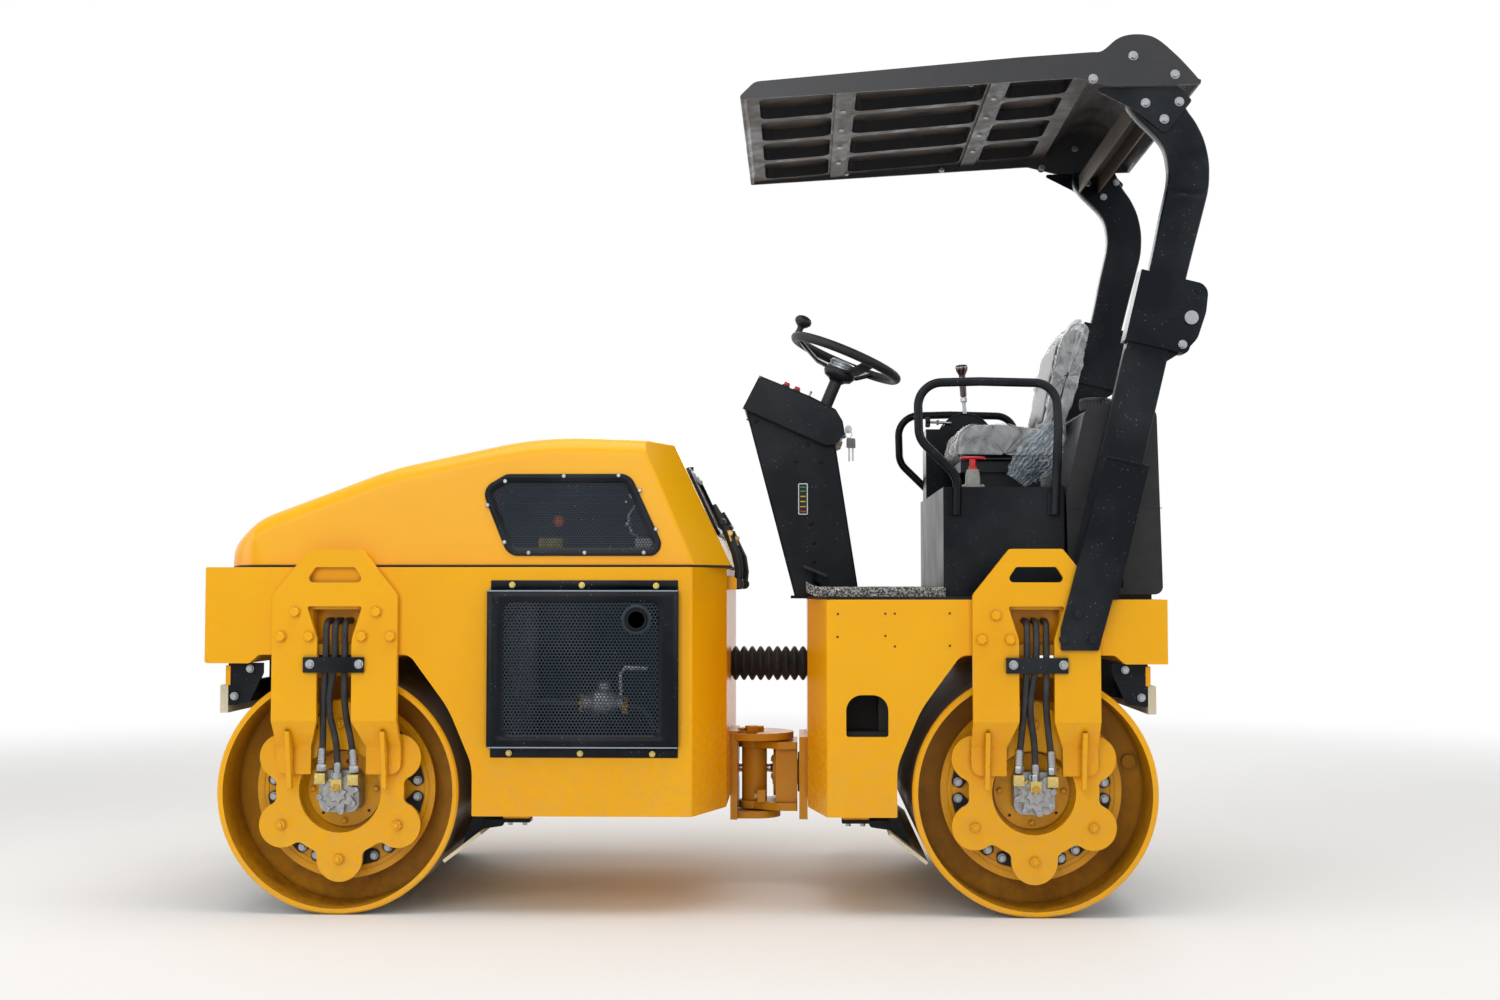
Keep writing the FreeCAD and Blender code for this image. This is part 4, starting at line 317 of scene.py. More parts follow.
@dataclass(frozen=True)
class BareMetal:
    """Metal left bright: zinc plate, chrome, brass or cast aluminium, told apart by tint and roughness."""

    name: str
    colour: str
    roughness: float
    grain: float = 2.5
    depth: float = 0.06
    tarnish: str = "57534c"
    tarnished: float = 0.3

    def make(self) -> bpy.types.Material:
        """Build it; a cloudy tarnish keeps small fittings from looking new."""
        g = Graph(self.name)
        cloud = g.add("ShaderNodeTexNoise", {"Vector": g.place, "Scale": per_mm(16), "Detail": 5.0})
        dull = g.add("ShaderNodeMapRange", {0: cloud, 1: 0.42, 2: 0.75, 3: 0.0, 4: self.tarnished})
        colour = g.add("ShaderNodeMix", {0: dull, 6: linear(self.colour), 7: linear(self.tarnish)}, 2,
                       data_type="RGBA")
        rough = g.add("ShaderNodeMapRange", {0: cloud, 1: 0.3, 2: 0.75, 3: self.roughness,
                                             4: self.roughness + 0.15})
        grit = g.add("ShaderNodeTexNoise", {"Vector": g.place, "Scale": per_mm(self.grain), "Detail": 2.0})
        skin = g.add("ShaderNodeBump", {"Height": grit, "Distance": self.depth / 1000, "Strength": 0.5}, "Normal")
        return g.dress({"Base Color": colour, "Metallic": 1.0, "Roughness": rough, "Normal": skin})


@dataclass(frozen=True)
class Moulding:
    """Moulded rubber, ABS or polyethylene, one colour right through, with the mould's grain on its skin."""

    name: str
    colour: str
    roughness: float
    grain: float = 2.0
    depth: float = 0.1
    bloom: str = "6d6a66"
    bloomed: float = 0.15
    sheen: float = 0.0

    def make(self) -> bpy.types.Material:
        """Build it; the bloom is the grey that black plastic and rubber take on outdoors."""
        g = Graph(self.name)
        cloud = g.add("ShaderNodeTexNoise", {"Vector": g.place, "Scale": per_mm(130), "Detail": 6.0,
                                             "Roughness": 0.65})
        share = g.add("ShaderNodeMapRange", {0: cloud, 1: 0.42, 2: 0.76, 3: 0.0, 4: self.bloomed})
        colour = g.add("ShaderNodeMix", {0: share, 6: linear(self.colour), 7: linear(self.bloom)}, 2,
                       data_type="RGBA")
        rough = g.add("ShaderNodeMapRange", {0: cloud, 1: 0.3, 2: 0.75, 3: self.roughness - 0.06,
                                             4: self.roughness + 0.1})
        pits = g.add("ShaderNodeTexVoronoi", {"Vector": g.place, "Scale": per_mm(self.grain)}, "Distance",
                     feature="SMOOTH_F1")
        skin = g.add("ShaderNodeBump", {"Height": pits, "Distance": self.depth / 1000, "Strength": 0.5}, "Normal")
        return g.dress({"Base Color": colour, "Roughness": rough, "IOR": 1.38, "Sheen Weight": self.sheen,
                        "Normal": skin})


@dataclass(frozen=True)
class RibbedMoulding:
    """Canopy ABS, drawn over a mould with fine upright lines, its underside brown with road dust."""

    name: str
    colour: str = "24262b"
    dust: str = "57493a"

    def make(self) -> bpy.types.Material:
        """Build it; the dust shows on what faces down, as splashed from the hall's floor."""
        g = Graph(self.name)
        cloud = g.add("ShaderNodeTexNoise", {"Vector": g.place, "Scale": per_mm(90), "Detail": 7.0,
                                             "Roughness": 0.7})
        up = g.add("ShaderNodeSeparateXYZ", {0: g.add("ShaderNodeNewGeometry", out="Normal")}, "Z")
        under = g.add("ShaderNodeMapRange", {0: up, 1: -0.3, 2: -0.9, 3: 0.12, 4: 1.0})
        spots = g.add("ShaderNodeMapRange", {0: cloud, 1: 0.38, 2: 0.7, 3: 0.0, 4: 0.8})
        share = g.add("ShaderNodeMath", {0: under, 1: spots}, operation="MULTIPLY")
        colour = g.add("ShaderNodeMix", {0: share, 6: linear(self.colour), 7: linear(self.dust)}, 2,
                       data_type="RGBA")
        drawn = g.add("ShaderNodeMapping", {"Vector": g.place, "Scale": (1.0, 1.0, 0.06)})
        lines = g.add("ShaderNodeTexNoise", {"Vector": drawn, "Scale": per_mm(5), "Detail": 3.0})
        skin = g.add("ShaderNodeBump", {"Height": lines, "Distance": 0.0004, "Strength": 0.5}, "Normal")
        rough = g.add("ShaderNodeMapRange", {0: share, 1: 0.0, 2: 0.6, 3: 0.33, 4: 0.62})
        return g.dress({"Base Color": colour, "Roughness": rough, "Normal": skin})


@dataclass(frozen=True)
class HoseCover:
    """Black rubber hose cover, bound in cloth tape while it cured, which leaves a fine slanting weave."""

    name: str
    colour: str = "1a1a1c"

    def make(self) -> bpy.types.Material:
        """Build it; the dull weave keeps the hoses apart from the glossy sheet behind them."""
        g = Graph(self.name)
        weave = g.add("ShaderNodeTexWave", {"Vector": g.place, "Scale": per_mm(24), "Distortion": 0.6}, "Fac",
                      bands_direction="DIAGONAL")
        cloud = g.add("ShaderNodeTexNoise", {"Vector": g.place, "Scale": per_mm(40), "Detail": 5.0})
        share = g.add("ShaderNodeMapRange", {0: cloud, 1: 0.45, 2: 0.8, 3: 0.0, 4: 0.35})
        colour = g.add("ShaderNodeMix", {0: share, 6: linear(self.colour), 7: linear("5b5751")}, 2,
                       data_type="RGBA")
        skin = g.add("ShaderNodeBump", {"Height": weave, "Distance": 0.0004, "Strength": 0.6}, "Normal")
        return g.dress({"Base Color": colour, "Roughness": 0.6, "Normal": skin})


@dataclass(frozen=True)
class CoilThreads:
    """Coil mat of extruded black, grey and white vinyl threads, seen from above as salt and pepper."""

    name: str

    def make(self) -> bpy.types.Material:
        """Build it; each speck is the top of one 4 mm loop."""
        g = Graph(self.name)
        loops = g.add("ShaderNodeTexVoronoi", {"Vector": g.place, "Scale": per_mm(4)}, "Color")
        dots = g.add("ShaderNodeTexVoronoi", {"Vector": g.place, "Scale": per_mm(4)}, "Distance")
        tone = g.add("ShaderNodeSeparateColor", {0: loops}, 0)
        share = g.add("ShaderNodeMapRange", {0: tone, 1: 0.35, 2: 0.9, 3: 0.0, 4: 1.0})
        colour = g.add("ShaderNodeMix", {0: share, 6: linear("3a3c40"), 7: linear("c4c1b8")}, 2,
                       data_type="RGBA")
        skin = g.add("ShaderNodeBump", {"Height": dots, "Distance": 0.003, "Strength": 0.8}, "Normal")
        return g.dress({"Base Color": colour, "Roughness": 0.8, "Sheen Weight": 0.15, "Normal": skin})


@dataclass(frozen=True)
class SeatVinyl:
    """Black vinyl pressed with a leather grain, over foam."""

    name: str

    def make(self) -> bpy.types.Material:
        """Build it; the grain breaks up the sheen of the stretched cover."""
        g = Graph(self.name)
        edges = g.add("ShaderNodeTexVoronoi", {"Vector": g.place, "Scale": per_mm(3)}, "Distance",
                      feature="DISTANCE_TO_EDGE")
        cloud = g.add("ShaderNodeTexNoise", {"Vector": g.place, "Scale": per_mm(80), "Detail": 4.0})
        share = g.add("ShaderNodeMapRange", {0: cloud, 1: 0.4, 2: 0.8, 3: 0.0, 4: 0.5})
        colour = g.add("ShaderNodeMix", {0: share, 6: linear("1c1d20"), 7: linear("37393d")}, 2,
                       data_type="RGBA")
        grain = g.add("ShaderNodeMapRange", {0: edges, 1: 0.0, 2: 0.15, 3: 0.0, 4: 1.0})
        skin = g.add("ShaderNodeBump", {"Height": grain, "Distance": 0.0003, "Strength": 0.5}, "Normal")
        return g.dress({"Base Color": colour, "Roughness": 0.44, "Normal": skin})


@dataclass(frozen=True)
class PackingFilm:
    """Thin polyethylene film, still on the new seat: milky where it doubles over, with creases that glint."""

    name: str
    colour: str
    solid: float

    def make(self) -> bpy.types.Material:
        """Build it; the veil is uneven because the film lies in one, two or three layers."""
        g = Graph(self.name)
        folds = g.add("ShaderNodeTexNoise", {"Vector": g.place, "Scale": per_mm(75), "Detail": 5.0,
                                             "Distortion": 1.6}, noise_type="RIDGED_MULTIFRACTAL")
        veil = g.add("ShaderNodeTexNoise", {"Vector": g.place, "Scale": per_mm(60), "Detail": 5.0,
                                            "Distortion": 1.2})
        alpha = g.add("ShaderNodeMapRange", {0: veil, 1: 0.38, 2: 0.7, 3: self.solid * 0.6, 4: self.solid * 1.4})
        skin = g.add("ShaderNodeBump", {"Height": folds, "Distance": 0.003, "Strength": 0.4}, "Normal")
        return g.dress({"Base Color": linear(self.colour), "Roughness": 0.26, "IOR": 1.5, "Alpha": alpha,
                        "Normal": skin})


@dataclass(frozen=True)
class TurnedWood:
    """Brown hardwood grip, turned and varnished, its grain along the handle."""

    name: str

    def make(self) -> bpy.types.Material:
        """Build it; the varnish gives a hard little highlight."""
        g = Graph(self.name)
        drawn = g.add("ShaderNodeMapping", {"Vector": g.place, "Scale": (6.0, 6.0, 0.7)})
        grain = g.add("ShaderNodeTexNoise", {"Vector": drawn, "Scale": per_mm(24), "Detail": 6.0})
        share = g.add("ShaderNodeMapRange", {0: grain, 1: 0.35, 2: 0.7, 3: 0.0, 4: 1.0})
        colour = g.add("ShaderNodeMix", {0: share, 6: linear("4d2016"), 7: linear("241009")}, 2,
                       data_type="RGBA")
        return g.dress({"Base Color": colour, "Roughness": 0.22, "Coat Weight": 0.6})


@dataclass(frozen=True)
class SmallMoulding:
    """Small glossy mouldings, lenses and inserts: two near shades, as moulded plastic clouds."""

    name: str
    colour: str
    shade: str
    roughness: float = 0.32

    def make(self) -> bpy.types.Material:
        """Build it from the two shades."""
        g = Graph(self.name)
        cloud = g.add("ShaderNodeTexNoise", {"Vector": g.place, "Scale": per_mm(18), "Detail": 3.0})
        share = g.add("ShaderNodeMapRange", {0: cloud, 1: 0.35, 2: 0.65, 3: 0.0, 4: 1.0})
        colour = g.add("ShaderNodeMix", {0: share, 6: linear(self.colour), 7: linear(self.shade)}, 2,
                       data_type="RGBA")
        return g.dress({"Base Color": colour, "Roughness": self.roughness})


@dataclass(frozen=True)
class StudioPaper:
    """Matt pale studio floor that keeps the object's shadow and runs out into the white background."""

    name: str
    colour: str = "f0efed"
    shade: str = "eeedeb"
    near: float = 2.6
    far: float = 8.0

    def make(self) -> bpy.types.Material:
        """Build it: matt paper round the object, and pure white to the eye and in reflections farther out."""
        g = Graph(self.name)
        tone = g.add("ShaderNodeTexNoise", {"Vector": g.place, "Scale": 0.4, "Detail": 2.0})
        share = g.add("ShaderNodeMapRange", {0: tone, 1: 0.3, 2: 0.7, 3: 0.0, 4: 1.0})
        colour = g.add("ShaderNodeMix", {0: share, 6: linear(self.colour), 7: linear(self.shade)}, 2,
                       data_type="RGBA")
        g.dress({"Base Color": colour, "Roughness": 0.75})
        away = g.add("ShaderNodeVectorMath", {0: g.place}, "Value", operation="LENGTH")
        out = g.add("ShaderNodeMapRange", {0: away, 1: self.near, 2: self.far, 3: 0.0, 4: 1.0},
                    interpolation_type="SMOOTHSTEP")
        path = g.tree.nodes.new("ShaderNodeLightPath").outputs
        seen = g.add("ShaderNodeMath", {0: path["Is Camera Ray"], 1: path["Is Glossy Ray"]}, operation="MAXIMUM")
        seen = g.add("ShaderNodeMath", {0: seen, 1: path["Is Transmission Ray"]}, operation="MAXIMUM")
        mix = g.add("ShaderNodeMath", {0: out, 1: seen}, operation="MULTIPLY")
        white = g.add("ShaderNodeEmission", {"Color": (1.0, 1.0, 1.0, 1.0), "Strength": 1.0})
        both = g.add("ShaderNodeMixShader", {0: mix, 1: g.shader.outputs[0], 2: white})
        g.tree.links.new(both, g.tree.nodes["Material Output"].inputs["Surface"])
        return g.material


class Paintshop:
    """Makes each finish once and hands it out."""

    recipes: dict[Finish, object] = {
        Finish.YELLOW: Enamel("warm_yellow_enamel", "f8b404", "f2aa04"),
        Finish.HITCH_YELLOW: Enamel("brushed_yellow_enamel", "dd9b0a", "c58406", 0.38, 0.6),
        Finish.BLACK: PowderCoat("black_powder_coat", "040a12"),
        Finish.CHANNEL: PowderCoat("dusty_channel_coat", "4d453d", 0.5, 0.3),
        Finish.GREY: PowderCoat("grey_machine_paint", "26282b", specks=0.2),
        # near-black: soot on the exhaust, and painted shade of the enclosed bay on the engine
        Finish.SOOT_AND_SHADE: PowderCoat("sooty_engine_paint_painted_shade", "121315", 0.5, 0.3),
        Finish.MESH: PowderCoat("pressed_mesh_coat", "2c3640", 0.34, 0.5),
        # painted highlight: pale blue-grey for the sky's reflection on folded edges
        Finish.FOLD_HIGHLIGHT: PowderCoat("painted_highlight_fold_coat", "8d9cab", 0.26, 0.7),
        # painted shade: the drum's sides inside the rim take a darker yellow than the body; the dust mixed in is real
        Finish.DRUM_SIDE_SHADE: Enamel("dusty_drum_enamel_painted_shade", "c98c05", "a56f07", 0.42, 0.75, "6f5227"),
        Finish.DRUM: RolledSteel("rolled_drum_steel"),
        Finish.ZINC: BareMetal("bright_zinc_plate", "a9adb1", 0.28),
        Finish.PASSIVATED: BareMetal("yellow_passivated_zinc", "cdb76c", 0.3, tarnish="b09f98"),
        Finish.CAST: BareMetal("cast_aluminium", "a3a4a5", 0.45, 2.2, 0.25),
        Finish.BRASS: BareMetal("machined_brass", "c9a04a", 0.26),
        Finish.CHROME: BareMetal("hard_chrome", "dddee0", 0.08, 4.0, 0.01, tarnished=0.05),
        Finish.RUBBER: Moulding("moulded_rubber", "17181a", 0.52, sheen=0.1),
        Finish.HOSE: HoseCover("wrapped_hose_rubber"),
        Finish.PLASTIC: Moulding("rotomoulded_polyethylene", "212226", 0.42, 2.6, 0.25),
        Finish.CREAM: Moulding("cream_nylon", "d9cfb4", 0.5, 3.0, 0.1, "8b7a58", 0.35),
        Finish.CANOPY: RibbedMoulding("drawn_canopy_abs"),
        Finish.MAT: CoilThreads("coil_mat_threads"),
        Finish.VINYL: SeatVinyl("grained_black_vinyl"),
        Finish.FILM: PackingFilm("clear_seat_film", "e2e6e9", 0.44),
        Finish.BAG: PackingFilm("bunched_grey_film", "bccad4", 0.6),
        Finish.WOOD: TurnedWood("varnished_brown_wood"),
        Finish.RED: SmallMoulding("red_abs", "d41420", "bb0f1a"),
        Finish.SWITCH_GREY: SmallMoulding("grey_abs", "8f908a", "7c7d78", 0.42),
        Finish.LAMP_YELLOW: SmallMoulding("yellow_insert", "c8b320", "a8960f"),
        Finish.LAMP_GREEN: SmallMoulding("green_insert", "2f8f46", "27743a"),
        Finish.ORANGE: SmallMoulding("orange_lens", "f0701a", "d95a10", 0.18),
        # near-black that is painted shade in the bay, the hood, holes and pockets; the indicator strip's field is
        # really this dark
        Finish.DARK: SmallMoulding("dark_plastic_and_painted_shade", "0c0c0d", "151413", 0.7),
        Finish.FLOOR: StudioPaper("pale_studio_floor"),
    }

    def __init__(self) -> None:
        """Start with nothing made."""
        self.made: dict[Finish, bpy.types.Material] = {}

    def get(self, finish: Finish) -> bpy.types.Material:
        """The finish's material, built on first use."""
        if finish not in self.made:
            self.made[finish] = self.recipes[finish].make()
        return self.made[finish]


PAINT = Paintshop()


# Mesh tools


@dataclass(frozen=True)
class Facing:
    """A working plane: its origin and the directions of its two axes and its outward normal."""

    origin: Vector
    right: Vector
    up: Vector

    @cached_property
    def out(self) -> Vector:
        """Outward normal."""
        return self.right.cross(self.up).normalized()

    def point(self, u: float, v: float, w: float = 0.0) -> Vector:
        """Point at u along right, v along up and w outwards, in the layout's millimetres."""
        return self.origin + self.right * u + self.up * v + self.out * w


def side_face(y: float, x: float = 0.0, z: float = 0.0) -> Facing:
    """Working plane on the machine's near side, facing away from the machine."""
    return Facing(Vector((x, y, z)), Vector((1, 0, 0)), Vector((0, 0, 1)))


def rounded(corners: Iterable[Corner], steps: int = 5) -> list[Pair]:
    """Outline with its corners rounded by arcs.

    Args:
        corners: u, v and radius of each corner, in order round the outline.
        steps: spans of each arc.

    Returns:
        The outline's points.
    """
    table = list(corners)
    points: list[Pair] = []
    for i, (u, v, radius) in enumerate(table):
        here = Vector((u, v))
        if radius <= 0:
            points.append((u, v))
            continue
        before = (Vector(table[i - 1][:2]) - here).normalized()
        after = (Vector(table[(i + 1) % len(table)][:2]) - here).normalized()
        half = before.angle(after) / 2
        reach = radius / math.tan(half)
        middle = (before + after).normalized()
        centre = here + middle * (radius / math.sin(half))
        start = here + before * reach - centre
        turn = (here + after * reach - centre).angle_signed(start)
        for k in range(steps + 1):
            spoke = start.copy()
            spoke.rotate(Matrix.Rotation(turn * k / steps, 2))
            points.append(tuple(centre + spoke))
    return points


def inside(outline: Sequence[Pair], u: float, v: float) -> bool:
    """Whether a point lies within an outline."""
    hit = False
    for (u0, v0), (u1, v1) in zip(outline, list(outline[1:]) + [outline[0]]):
        if (v0 > v) != (v1 > v) and u < (u1 - u0) * (v - v0) / (v1 - v0) + u0:
            hit = not hit
    return hit


class Piece:
    """Mesh under construction, in the layout's millimetres, that becomes one named object."""

    def __init__(self, name: str, body: Body | str, *finishes: Finish) -> None:
        """Start a piece.

        Args:
            name: the object's name.
            body: the body it rides on.
            *finishes: its materials; brush() picks the one that new faces take.
        """
        self.name = name
        self.body = body.value if isinstance(body, Body) else body
        self.finishes = finishes
        self.mesh = bmesh.new()
        self.colour = 0

    def brush(self, finish: Finish) -> "Piece":
        """Give the faces made from here on this finish."""
        self.colour = self.finishes.index(finish)
        return self

    def face(self, verts: Sequence[bmesh.types.BMVert]) -> None:
        """Add one face with the present finish."""
        try:
            made = self.mesh.faces.new(verts)
        except ValueError:
            return
        made.material_index = self.colour
        made.smooth = True

    def loft(self, rings: Sequence[Sequence[Vector]], closed: bool = True, caps: bool = True) -> None:
        """Skin a row of rings of equally many points.

        Args:
            rings: the rings, each a list of points.
            closed: whether each ring closes on itself.
            caps: whether the first and last rings are filled.
        """
        rows = [[self.mesh.verts.new(p) for p in ring] for ring in rings]
        count = len(rows[0])
        for low, high in zip(rows, rows[1:]):
            for i in range(count if closed else count - 1):
                j = (i + 1) % count
                self.face((low[i], low[j], high[j], high[i]))
        if caps and closed:
            self.face(rows[0][::-1])
            self.face(rows[-1])

    def lathe(self, profile: Sequence[Pair], origin: Vector, axis: Vector, spans: int = 20,
              caps: bool = True) -> None:
        """Turn a profile of (radius, height) round an axis.

        Args:
            profile: the radius and the height along the axis, from one end to the other.
            origin: where height 0 lies.
            axis: the axis's direction.
            spans: sides of the turned form; 6 makes a hexagon.
            caps: whether both ends are closed.
        """
        along = axis.normalized()
        across = along.orthogonal().normalized()
        beside = along.cross(across)
        rings = []
        for radius, height in profile:
            middle = origin + along * height
            rings.append([middle + (across * math.cos(t) + beside * math.sin(t)) * max(radius, 0.01)
                          for t in (2 * math.pi * k / spans for k in range(spans))])
        self.loft(rings, caps=caps)

    def slab(self, outline: Sequence[Pair], plane: Facing, low: float, high: float, edge: float = 0.8) -> None:
        """Plate with softened edges.

        Args:
            outline: its points in the plane.
            plane: where it lies.
            low: its inner face, along the plane's normal.
            high: its outer face.
            edge: how far its edges are broken.
        """
        centre_u = sum(p[0] for p in outline) / len(outline)
        centre_v = sum(p[1] for p in outline) / len(outline)
        reach = max(math.hypot(u - centre_u, v - centre_v) for u, v in outline)
        shrink = 1.0 - edge / reach

        def ring(scale: float, height: float) -> list[Vector]:
            """The outline drawn in by a scale, at one height."""
            return [plane.point(centre_u + (u - centre_u) * scale, centre_v + (v - centre_v) * scale, height)
                    for u, v in outline]

        self.loft([ring(shrink, low), ring(1.0, low + edge), ring(1.0, high - edge), ring(shrink, high)])

    def band(self, outer: Sequence[Pair], inner: Sequence[Pair], plane: Facing, low: float, high: float) -> None:
        """Frame between two outlines of equally many points, with a solid section."""
        rows = [[plane.point(u, v, low) for u, v in outer], [plane.point(u, v, high) for u, v in outer],
                [plane.point(u, v, high) for u, v in inner], [plane.point(u, v, low) for u, v in inner]]
        self.loft(rows + [rows[0]], caps=False)

    def tube(self, points: Sequence[Vector], radius: float | Sequence[float], spans: int = 12,
             closed: bool = False) -> None:
        """Round bar along a line of points.

        Args:
            points: the line.
            radius: one radius, or one for each point.
            spans: sides of its section.
            closed: whether the line closes on itself.
        """
        count = len(points)
        rings = []
        across = Vector()
        for i, point in enumerate(points):
            ahead = points[(i + 1) % count] if closed or i < count - 1 else point
            behind = points[i - 1] if closed or i > 0 else point
            along = (ahead - behind).normalized()
            across = (across - along * across.dot(along)) if across.length else along.orthogonal()
            across.normalize()
            beside = along.cross(across)
            size = radius if isinstance(radius, (int, float)) else radius[i]
            rings.append([point + (across * math.cos(t) + beside * math.sin(t)) * size
                          for t in (2 * math.pi * k / spans for k in range(spans))])
        self.loft(rings + [rings[0]] if closed else rings, caps=not closed)

    def bolt(self, seat: Vector, out: Vector, across: float, height: float | None = None,
             washer: float = 0.0, stub: float = 0.0) -> None:
        """Hexagon head with its crown turned off, on a washer.

        Args:
            seat: middle of the surface it sits on.
            out: direction away from that surface.
            across: size across the flats.
            height: height of the head; 0.62 of its width where None.
            washer: the washer's outer radius, or 0 for none.
            stub: how far a threaded end stands out of a nut, or 0 for a head.
        """
        tall = height or across * 0.62
        corner = across / math.sqrt(3)
        start = 0.0
        if washer:
            start = 2.4
            self.lathe([(washer - 0.6, -0.5), (washer, 0.6), (washer, 1.8), (washer - 0.6, start)], seat, out, 24)
        self.lathe([(corner, start - 0.2), (corner, start + tall - 1.2), (corner * 0.9, start + tall)], seat, out, 6)
        if stub:
            self.lathe([(across * 0.27, start), (across * 0.27, start + tall + stub - 1),
                        (across * 0.22, start + tall + stub)], seat, out, 12)

    def dome(self, seat: Vector, out: Vector, radius: float, height: float) -> None:
        """Round-headed screw with a flat little socket ring."""
        profile = [(radius, -0.3), (radius, height * 0.35), (radius * 0.86, height * 0.75),
                   (radius * 0.55, height), (radius * 0.42, height), (radius * 0.36, height * 0.55)]
        self.lathe(profile, seat, out, 16)

    def mesh_sheet(self, outline: Sequence[Pair], plane: Facing, pitch: float, hole: float, lift: float = 0.0,
                   skip: Callable[[float, float], bool] | None = None) -> int:
        """Perforated sheet with staggered round holes.

        Args:
            outline: the sheet's edge in the plane.
            plane: where it lies.
            pitch: distance between hole centres.
            hole: radius of the holes.
            lift: height over the plane.
            skip: tells which points the sheet leaves open.

        Returns:
            How many holes were made.
        """
        low_u, high_u = min(p[0] for p in outline), max(p[0] for p in outline)
        low_v, high_v = min(p[1] for p in outline), max(p[1] for p in outline)
        row_step = pitch * math.sqrt(3) / 2
        corner = pitch / math.sqrt(3)
        shared: dict[tuple[int, int], bmesh.types.BMVert] = {}
        made = 0

        def vertex(u: float, v: float) -> bmesh.types.BMVert:
            """The sheet's vertex at a cell corner, shared by the cells that meet there."""
            key = (round(u * 20), round(v * 20))
            if key not in shared:
                shared[key] = self.mesh.verts.new(plane.point(u, v, lift))
            return shared[key]

        for row in range(int((high_v - low_v) / row_step) + 2):
            v = low_v + row * row_step
            for column in range(int((high_u - low_u) / pitch) + 2):
                u = low_u + (column + 0.5 * (row % 2)) * pitch
                if not inside(outline, u, v) or (skip and skip(u, v)):
                    continue
                angles = [math.radians(30 + 60 * k) for k in range(6)]
                rim = [vertex(u + corner * math.cos(a), v + corner * math.sin(a)) for a in angles]
                ring = [self.mesh.verts.new(plane.point(u + hole * math.cos(a), v + hole * math.sin(a), lift))
                        for a in (math.radians(30 + 30 * k) for k in range(12))]
                for k in range(6):
                    self.face((rim[k], rim[(k + 1) % 6], ring[(2 * k + 2) % 12], ring[2 * k + 1], ring[2 * k]))
                made += 1
        return made

    def borrow(self, node: str, place: Vector, ahead: Vector) -> None:
        """Take over a CAD node's mesh and leave out what lies ahead of a plane."""
        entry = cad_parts[node]
        for part in (entry if isinstance(entry, (list, tuple)) else (entry,)):
            self.mesh.from_mesh(part.data)
        for vert in self.mesh.verts:
            vert.co = (vert.co - Vector((SHIFT, 0, 0))) * 1000
        bmesh.ops.remove_doubles(self.mesh, verts=self.mesh.verts[:], dist=0.05)
        bmesh.ops.bisect_plane(self.mesh, geom=self.mesh.verts[:] + self.mesh.edges[:] + self.mesh.faces[:],
                               dist=0.01, plane_co=place, plane_no=ahead, clear_outer=True)
        for face in self.mesh.faces:
            face.material_index = 0

    def mirror(self) -> "Piece":
        """Repeat everything made so far on the machine's other side."""
        faces = list(self.mesh.faces)
        twins = {v: self.mesh.verts.new((v.co.x, -v.co.y, v.co.z)) for v in list(self.mesh.verts)}
        for old in faces:
            new = self.mesh.faces.new([twins[v] for v in reversed(old.verts)])
            new.material_index = old.material_index
            new.smooth = old.smooth
        return self

    def bare(self) -> bpy.types.Object:
        """Turn the mesh into an object without material or body, to be cut or to cut with."""
        bmesh.ops.recalc_face_normals(self.mesh, faces=self.mesh.faces)
        for vert in self.mesh.verts:
            vert.co = at(*vert.co)
        data = bpy.data.meshes.new(self.name)
        self.mesh.to_mesh(data)
        self.mesh.free()
        made = bpy.data.objects.new(self.name, data)
        bpy.context.scene.collection.objects.link(made)
        return made

    def make(self, sharp: float = 32.0, tidy_normals: bool = True) -> bpy.types.Object:
        """Turn the mesh into an object that rides on its body.

        Args:
            sharp: edges that turn by more degrees than this are shaded sharp.
            tidy_normals: whether the normals are turned outwards.

        Returns:
            The object.
        """
        if tidy_normals:
            bmesh.ops.recalc_face_normals(self.mesh, faces=self.mesh.faces)
        for vert in self.mesh.verts:
            vert.co = at(*vert.co)
        limit = math.radians(sharp)
        for edge in self.mesh.edges:
            edge.smooth = len(edge.link_faces) == 2 and edge.calc_face_angle(0.0) < limit
        data = bpy.data.meshes.new(self.name)
        self.mesh.to_mesh(data)
        self.mesh.free()
        return enrol(self.name, data, self.body, *self.finishes)


def enrol(name: str, data: bpy.types.Mesh, body: str, *finishes: Finish) -> bpy.types.Object:
    """Make an object of a finished mesh, give it its materials and let it ride on a body.

    Args:
        name: the object's name.
        data: its mesh, in the frame's metres.
        body: the body it rides on, or nothing where it rides on none.
        *finishes: its materials in the order of the mesh's indices.

    Returns:
        The object.
    """
    made = bpy.data.objects.new(name, data)
    bpy.context.scene.collection.objects.link(made)
    for finish in finishes:
        data.materials.append(PAINT.get(finish))
    if body:
        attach(made, body)
    LOG.info("%s: %d faces on %s", name, len(data.polygons), body)
    return made


# CAD nodes that keep their shape


def keep_shape(thing: bpy.types.Object) -> None:
    """Swap an object's mesh for what its modifiers make of it."""
    bpy.context.view_layer.update()
    shown = thing.evaluated_get(bpy.context.evaluated_depsgraph_get())
    kept = bpy.data.meshes.new_from_object(shown)
    thing.modifiers.clear()
    old = thing.data
    thing.data = kept
    bpy.data.meshes.remove(old)


def reshape(thing: bpy.types.Object, kind: str, **settings: object) -> None:
    """Put a modifier on an object and keep its result."""
    step = thing.modifiers.new(kind.lower(), kind)
    for key, value in settings.items():
        setattr(step, key, value)
    keep_shape(thing)


